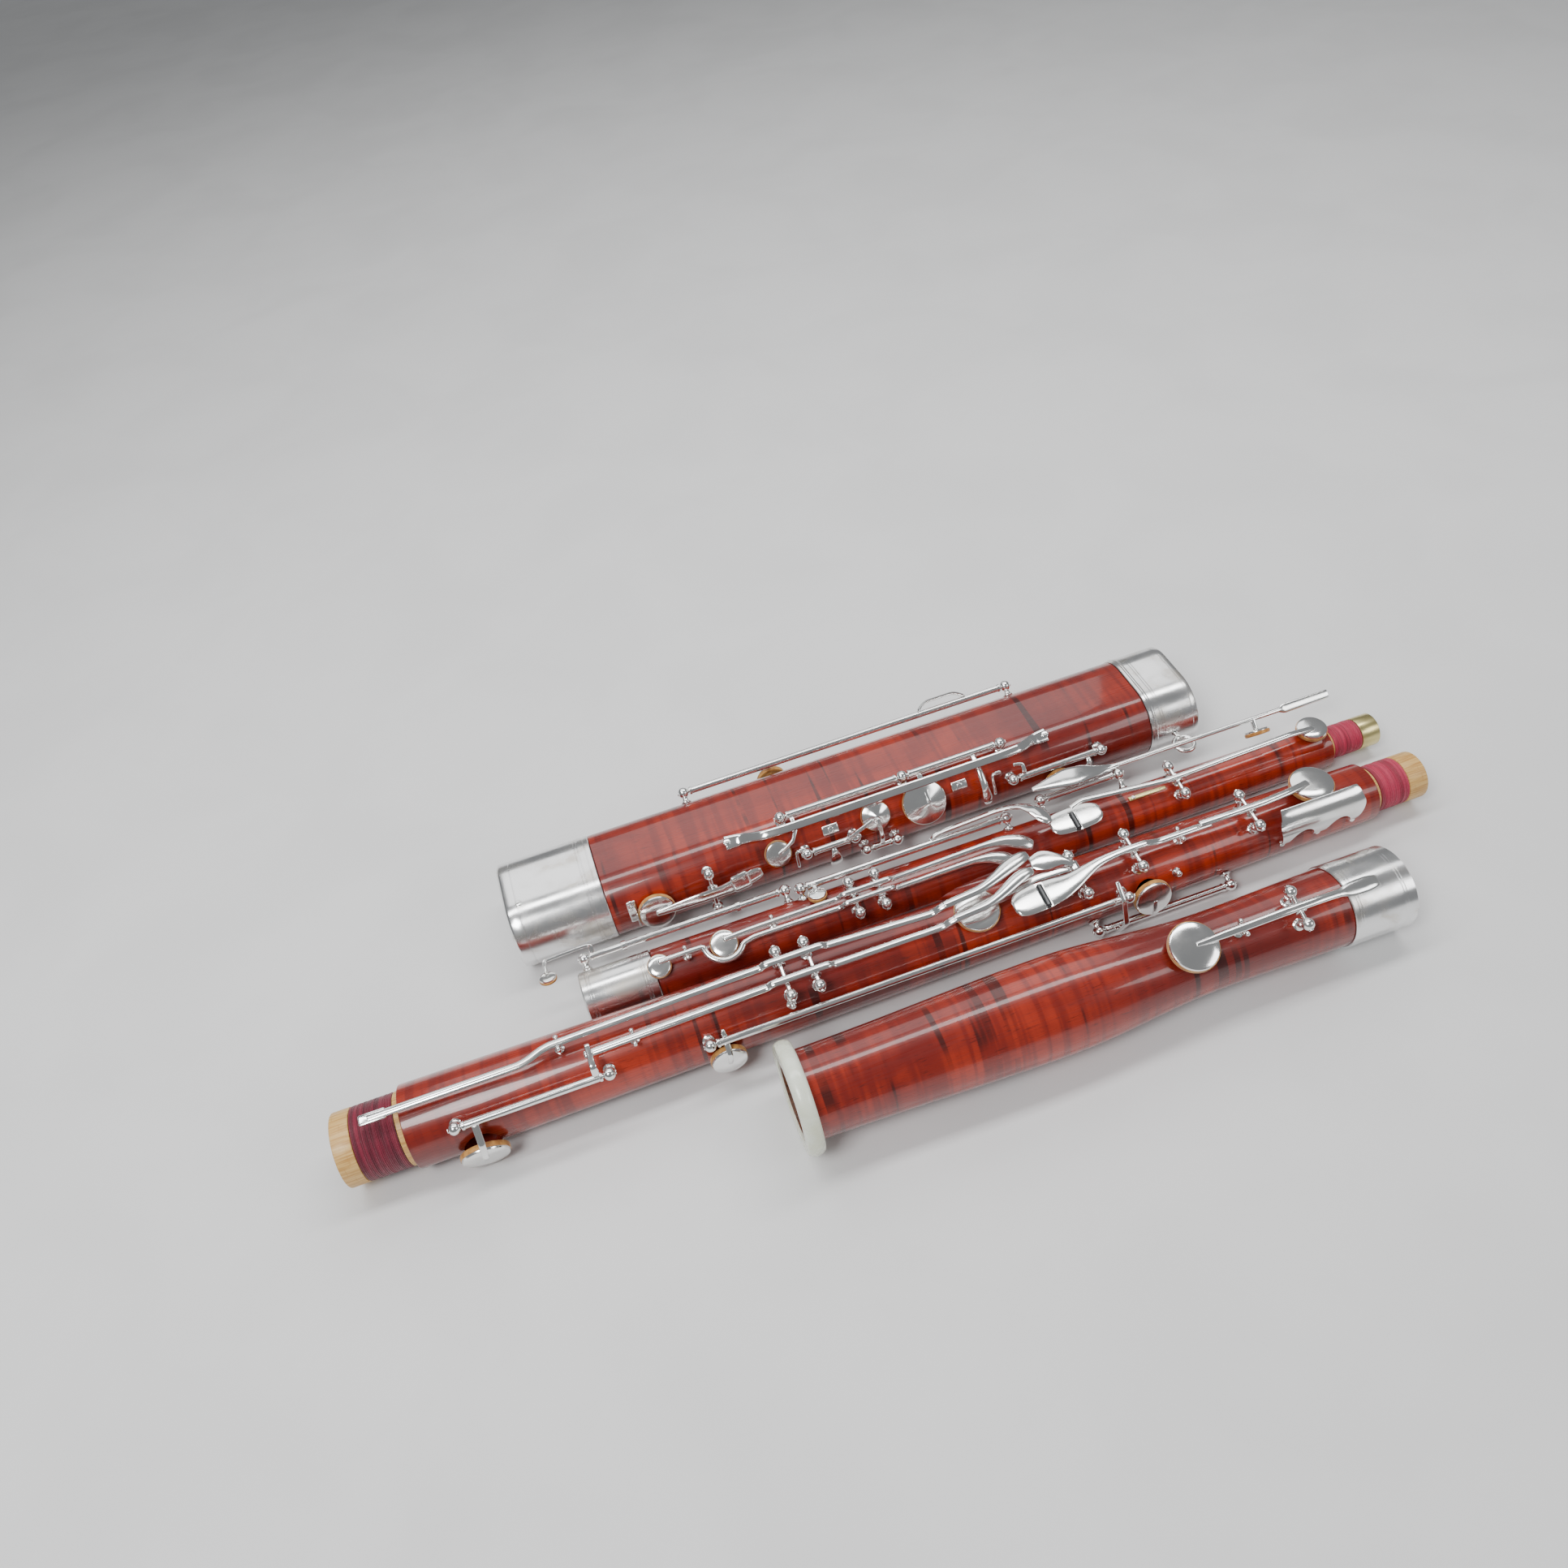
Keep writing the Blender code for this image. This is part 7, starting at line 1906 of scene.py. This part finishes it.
    def f_key(self) -> None:
        """Pad lever near the bottom cap, on a cross axle between two long posts."""
        axle, roll, splay = 116.5, 72.0, 21.0
        cup_at = self.f_hole
        reach = self.radius + 9.6
        height = axle_height(splay, reach)
        self.front.cross_posts("boot_f_posts", axle, self.floor, roll, splay, reach)
        seat = self.radius + 2.6
        top = height + HARDWARE.hub_to_bar
        plate = bar(((cup_at - 1.0, -2.2, seat + 5.0, 1.6, 0.9), (cup_at + 12.0, -1.6, top - 2.2, 2.8, 1.0),
                     (axle - 8.0, 0.0, top, 3.2, 1.1), (axle + 4.0, 0.0, top, 3.2, 1.1),
                     (axle + 12.0, 0.6, top, 4.0, 1.1), (axle + 26.0, 3.0, top - 0.6, 4.0, 1.1),
                     (axle + 30.0, 3.6, top - 0.8, 2.6, 0.9)), 3.0, reach=3.5)
        pad_block = bar(
            ((axle + 11.0, 1.6, top + 0.6, 5.2, 1.5), (axle + 22.0, 2.6, top + 0.3, 5.2, 1.5)), 4.0)
        self.front.lever("boot_f_key", roll, (axle, 0.0, height), [plate, pad_block],
                         [PadCup(cup_at, 77.0 - roll, seat, 11.0, 4.4, 0.4, 2.9)])
        near = cup_at - 13.2
        shield = bar(
            [(*polar(near, angle, self.floor + 0.7), 2.6, 0.7) for angle in (56.0, 62.0, 70.0, 80.0, 90.0)],
            4.0, polar(0.0, 73.0, 1.0))
        wall = bar(
            [(*polar(near + 1.6, angle, self.floor + 3.2), 0.6, 3.2) for angle in (66.0, 74.0, 82.0, 90.0)],
            4.0, polar(0.0, 78.0, 1.0))
        self.front.fit("boot_f_shield", [shield, wall], Finish.SILVER)
        for index, angle in enumerate((58.0, 64.5)):
            self.front.wood_screw(f"f_shield_screw_{index + 1}", near, angle, self.floor + 1.4, 1.3)

    def back_key(self) -> None:
        """Long rod at the back with a hump bracket and a pad cup."""
        first, last, roll = 120.0, 334.0, -50.0
        reach = self.radius + 6.4
        self.back.rod_posts("boot_back_posts", (first, last), (self.floor,) * 2, roll, reach)
        cup_at = self.back_hole
        turn = -84.0 - roll
        seat = self.radius + 2.4
        bend = polar(cup_at, turn * 0.45, reach + 2.0)
        holder = arm_from(cup_at, reach, (bend, polar(cup_at, turn, seat + 4.6)), 3.4, 1.8)
        at = 291.0
        rise = reach + 6.4
        hump = plain_bar(
            ((at - 16.0, 0.0, reach + 1.9), (at - 13.0, 0.0, reach + 4.4), (at - 9.0, 0.0, rise),
            (at + 9.0, 0.0, rise), (at + 13.0, 0.0, reach + 4.4), (at + 16.0, 0.0, reach + 1.9)), 5.0, 2.0)
        self.back.key("boot_back_key", [*self.back.barrel(first, last, reach), holder, hump],
                      [PadCup(cup_at, turn, seat, 9.0, 4.0, 0.5, 2.5)], roll)

    def fittings(self) -> None:
        """Guard rail with screwed feet, lugs, and the lock ring."""
        start, end = 135.6, 332.6
        foot = self.radius + 1.0
        top = self.radius + 11.0
        rise = 33.0
        low = 22.0
        rail = bar(
            ((*polar(start - 4.0, low, foot), 4.0, 0.9), (*polar(start + 5.0, low + 1.0, foot), 3.4, 0.9),
            (*polar(start + 10.0, low + 5.0, foot + 4.0), 2.8, 1.0),
            (*polar(start + 18.0, rise - 1.0, top - 0.6), 2.7, 1.2),
            (*polar(start + 30.0, rise, top), 2.7, 1.3), (*polar(end - 30.0, rise, top), 2.7, 1.3),
            (*polar(end - 18.0, rise - 1.0, top - 0.6), 2.7, 1.2), (*polar(end - 10.0, low + 5.0, foot + 4.0),
            2.8, 1.0), (*polar(end - 5.0, low + 1.0, foot), 3.4, 0.9),
            (*polar(end + 4.0, low, foot), 4.0, 0.9)), 3.0, polar(0.0, rise, 1.0), 3.0)
        self.front.fit("boot_guard_rail_forged", [rail], Finish.SILVER, node="boot_guard_rail")
        for index, station in enumerate((start - 2.6, end + 2.6)):
            self.front.wood_screw(f"rail_screw_{index + 1}", station, low, foot + 0.8, 2.1)
        for index, station in enumerate((193.0, 275.0)):
            lug = bar(((*polar(station - 5.0, 51.0, self.floor + 0.7), 2.8, 0.8),
                       (*polar(station + 5.0, 51.0, self.floor + 0.7), 2.8, 0.8)), 2.4, polar(0.0, 51.0, 1.0))
            self.front.fit(f"boot_lug_{index + 1}", [lug], Finish.SILVER)
            self.front.wood_screw(f"lug_screw_{index + 1}", station, 51.0, self.floor + 1.4, 1.8)
        for index, (station, low_turn, high_turn) in enumerate(((169.0, 84.0, 62.0), (294.5, 76.0, 50.0))):
            crank = bar(((*polar(station, low_turn, self.floor + 1.0), 1.3, 1.0),
                         (*polar(station, low_turn, self.floor + 5.0), 1.3, 1.0),
                         (*polar(station, high_turn, self.floor + 5.4), 1.3, 1.0),
                         (*polar(station + 6.0, high_turn, self.floor + 5.4), 1.3, 1.0)), 2.2, ALONG, 2.0)
            self.front.fit(f"boot_stay_{index + 1}", [crank], Finish.SILVER)
        self.front.wood_screw("cap_screw", 9.0, 6.0, self.radius + self.proud, 1.9)
        at = self.length - self.ferrule / 2.0
        seat = self.radius + self.proud + GAP
        stem = lathe(((0.0, 2.2), (0.5, 2.2), (1.0, 1.6), (3.4, 1.5), (4.2, 2.0), (5.4, 2.1), (6.2, 1.2)),
                     (at, 0.0, seat), UP)
        centre = seat + 5.4 + 6.0 - 1.8
        profile = []
        for index in range(16):
            turn = math.tau * index / 16.0
            profile.append((1.5 * math.cos(turn), 6.0 + 1.5 * math.sin(turn)))
        ring = lathe(profile, (at, 0.0, centre), ACROSS, 48, closed=True, guide=ALONG)
        self.front.fit(
            "boot_lock_ring_turned", [stem, ring], Finish.SILVER, "lock_ring", "boot_lock_ring", 89.0)

    def build(self) -> None:
        """Make every piece of the joint."""
        self.wood()
        self.metal()
        self.upper_keys()
        self.side_keys()
        self.f_key()
        self.back_key()
        self.fittings()


# ==================================================================== bell joint
@dataclass
class BellJoint(TurnedJoint):
    """Bell with its ring, ferrule and low B flat key."""

    length: float = 345.0
    ring_radius: float = 29.74
    ring_length: float = 9.0
    mouth_radius: float = 23.2
    belly_radius: float = 26.0
    belly_at: float = 145.0
    waist_radius: float = 20.6
    waist_at: float = 236.0
    top_radius: float = 21.7
    ferrule: float = 38.0
    wall: float = 1.1
    wall_end: float = 2.6
    bore_mouth: float = 18.6
    bore_top: float = 16.0
    socket: float = 20.25
    socket_depth: float = 38.0
    lip: float = 1.2
    ring_seat: float = 20.8
    pad_hole: float = 217.0
    pad_turn: float = 20.0
    section: Section = Section("bell_joint", "bell_mouth_face", 24.0)

    def radius(self, station: float) -> float:
        """Radius of the wood: slim mouth, belly, waist, and a wider top.

        Args:
            station: where along the bore.

        Returns:
            The radius.
        """
        stops = ((self.ring_length, self.mouth_radius), (self.belly_at, self.belly_radius),
                 (self.waist_at, self.waist_radius), (self.length - self.ferrule, self.top_radius))
        if station <= stops[0][0]:
            return stops[0][1]
        for (first, low), (second, high) in zip(stops, stops[1:]):
            if station <= second:
                ease = (1.0 - math.cos((station - first) / (second - first) * math.pi)) / 2.0
                return low + (high - low) * ease
        return stops[-1][1]

    def bore(self, station: float) -> float:
        """Radius of the bore, or of the socket near the top.

        Args:
            station: where along the bore.

        Returns:
            The radius.
        """
        depth = self.length - self.socket_depth
        if station > depth - 0.1:
            return self.socket
        return self.bore_mouth + (self.bore_top - self.bore_mouth) * station / depth

    def wood(self) -> None:
        """Turned bell with its ivory ring and its ferrule."""
        end = self.length - self.ferrule
        seat = self.socket + self.wall_end - self.wall - GAP
        top = self.length - self.wall - GAP
        floor = self.length - self.socket_depth
        profile = [(self.lip, self.ring_seat), (self.ring_length, self.ring_seat)]
        steps = 48
        for index in range(steps + 1):
            station = self.ring_length + (end - self.ring_length) * index / steps
            profile.append((station, self.radius(station)))
        profile += [
            (end, seat), (top, seat), (top, self.socket), (floor, self.socket), (floor, self.bore_top),
            (self.lip, self.bore_mouth)]
        at = self.pad_hole
        hole = rod(
            polar(at, self.pad_turn, self.radius(at) + 5.0), polar(at, self.pad_turn, self.bore(at) - 2.0),
            10.4)
        body = self.bench.turn("bell_body_wood", "bell_body", profile, Finish.MAPLE, [hole])
        dress_wood(body, self.section, (), self.bore)
        inner = self.ring_seat + GAP
        shoulder = self.ring_radius - 2.6
        ring = [(self.ring_length - GAP, inner), (0.5, inner), (0.0, inner + 0.5), (0.0, shoulder - 0.6)]
        for index in range(1, 16):
            angle = math.pi * index / 16.0
            ring.append((self.ring_length * 0.5 * (1.0 - math.cos(angle)), shoulder + 2.6 * math.sin(angle)))
        ring.append((self.ring_length - GAP, shoulder - GAP))
        self.bench.turn("bell_ring_turned", "bell_ring", ring, Finish.IVORY)
        outer = self.socket + self.wall_end
        skin = seat + GAP
        start = end + GAP
        ferrule = [(start, outer - 0.5), (start + 0.5, outer),
                   *grooves(outer, (start + 3.0, start + 4.6, self.length - 8.0, self.length - 6.4), 0.22),
                   (self.length - 0.9, outer), (self.length, outer - 0.9), (self.length, self.socket),
                   (self.length - self.wall, self.socket), (self.length - self.wall, skin), (start, skin)]
        self.bench.turn("bell_ferrule_spun", "bell_ferrule", ferrule, Finish.TURNED_SILVER)

    def key(self) -> None:
        """Low B flat pad lever on top of the bell."""
        axle, splay = 276.0, 17.0
        roll = self.pad_turn
        at = self.pad_hole
        reach = self.radius(axle) + 10.0
        height = axle_height(splay, reach)
        self.bench.cross_posts("bell_posts", axle, self.floor(axle), roll, splay, reach)
        seat = self.radius(at) + 2.8
        top = height + HARDWARE.hub_to_bar
        end = 322.0
        beam = bar(
            ((at, 0.0, seat + 5.0, 1.2, 1.0), (at + 16.0, 0.0, seat + 6.4, 2.0, 1.2),
            (axle - 10.0, 0.0, top, 2.1, 1.1), (axle + 10.0, 0.0, top, 2.1, 1.1),
            (end - 22.0, 0.0, height + 1.4, 2.1, 1.1), (end - 18.0, 0.0, height + 1.2, 3.8, 1.1),
            (end - 6.0, 0.0, height + 0.6, 4.2, 1.1), (end, 0.0, height + 0.2, 3.0, 0.8)), 2.4, reach=4.0)
        self.bench.lever("bell_key", roll, (axle, 0.0, height), [beam], [PadCup(at, 0.0, seat, 13.4)])
        level = seat + 6.4 + (top - seat - 6.4) * 0.35
        self.bench.guide("bell_guide", 244.0, roll, self.radius(244.0), level, HARDWARE.bar_width)

    def build(self) -> None:
        """Make every piece of the joint."""
        self.wood()
        self.key()


# ==================================================================== studio
@dataclass(frozen=True)
class Lamp:
    """Soft rectangular light aimed at the middle of the instrument."""

    name: str
    place: tuple[float, float, float]
    wide: float
    deep: float
    power: float

    def build(self) -> None:
        """Hang the light."""
        light = bpy.data.lights.new(self.name, "AREA")
        light.shape = "RECTANGLE"
        light.size = self.wide
        light.size_y = self.deep
        light.energy = self.power
        lamp = bpy.data.objects.new(self.name, light)
        lamp.location = self.place
        lamp.rotation_euler = (-Vector(self.place)).to_track_quat("-Z", "Y").to_euler()
        bpy.context.collection.objects.link(lamp)


@dataclass(frozen=True)
class Studio:
    """Pale floor, soft lights and the camera."""

    floor_half: float = 4.0
    air: Numbers = (0.96, 0.98, 1.0, 1.0)
    air_strength: float = 0.24
    film: float = 36.0
    lens: float = 28.43
    eye: tuple[float, float, float] = (-0.12796, -0.40643, 0.58944)
    right: tuple[float, float, float] = (0.94026, -0.31675, -0.12482)
    forward: tuple[float, float, float] = (0.12974, 0.67233, -0.72879)
    lamps: tuple[Lamp, ...] = (
        Lamp("strip_light", (0.0, 0.25, 1.15), 1.9, 0.20, 12.0),
        Lamp("back_light", (0.1, 1.15, 1.25), 1.9, 0.8, 9.0),
        Lamp("key_light", (-0.7, -0.6, 1.3), 0.5, 0.5, 14.0),
        Lamp("fill_light", (1.2, -0.9, 1.0), 0.7, 0.5, 5.0),
    )

    def build(self) -> None:
        """Lay the floor, hang the lights and place the camera."""
        bm = bmesh.new()
        bmesh.ops.create_grid(bm, x_segments=1, y_segments=1, size=self.floor_half)
        mesh = bpy.data.meshes.new("studio_floor")
        bm.to_mesh(mesh)
        bm.free()
        mesh.materials.append(FINISHES[Finish.FLOOR])
        floor = bpy.data.objects.new("studio_floor", mesh)
        bpy.context.collection.objects.link(floor)
        for lamp in self.lamps:
            lamp.build()
        world = bpy.data.worlds.new("studio_air")
        world.use_nodes = True
        air = world.node_tree.nodes["Background"]
        air.inputs["Color"].default_value = self.air
        air.inputs["Strength"].default_value = self.air_strength
        bpy.context.scene.world = world
        self.place_camera()

    def place_camera(self) -> None:
        """Set the camera at the eye, looking forward."""
        right = Vector(self.right).normalized()
        forward = Vector(self.forward).normalized()
        down = forward.cross(right)
        camera = bpy.data.cameras.new("studio_camera")
        camera.sensor_width = self.film
        camera.lens = self.lens
        camera.clip_start = 0.01
        seat = bpy.data.objects.new("studio_camera", camera)
        turn = Matrix((right, -down, -forward)).transposed().to_4x4()
        seat.matrix_world = Matrix.Translation(self.eye) @ turn
        bpy.context.collection.objects.link(seat)
        bpy.context.scene.camera = seat


def main() -> None:
    """Make the finishes, then every joint, then the studio."""
    mix_finishes()
    for joint in (LongJoint(), WingJoint(), BootJoint(), BellJoint()):
        LOG.info("building %s", type(joint).__name__)
        joint.build()
    Studio().build()


if __name__ == "__main__":
    main()
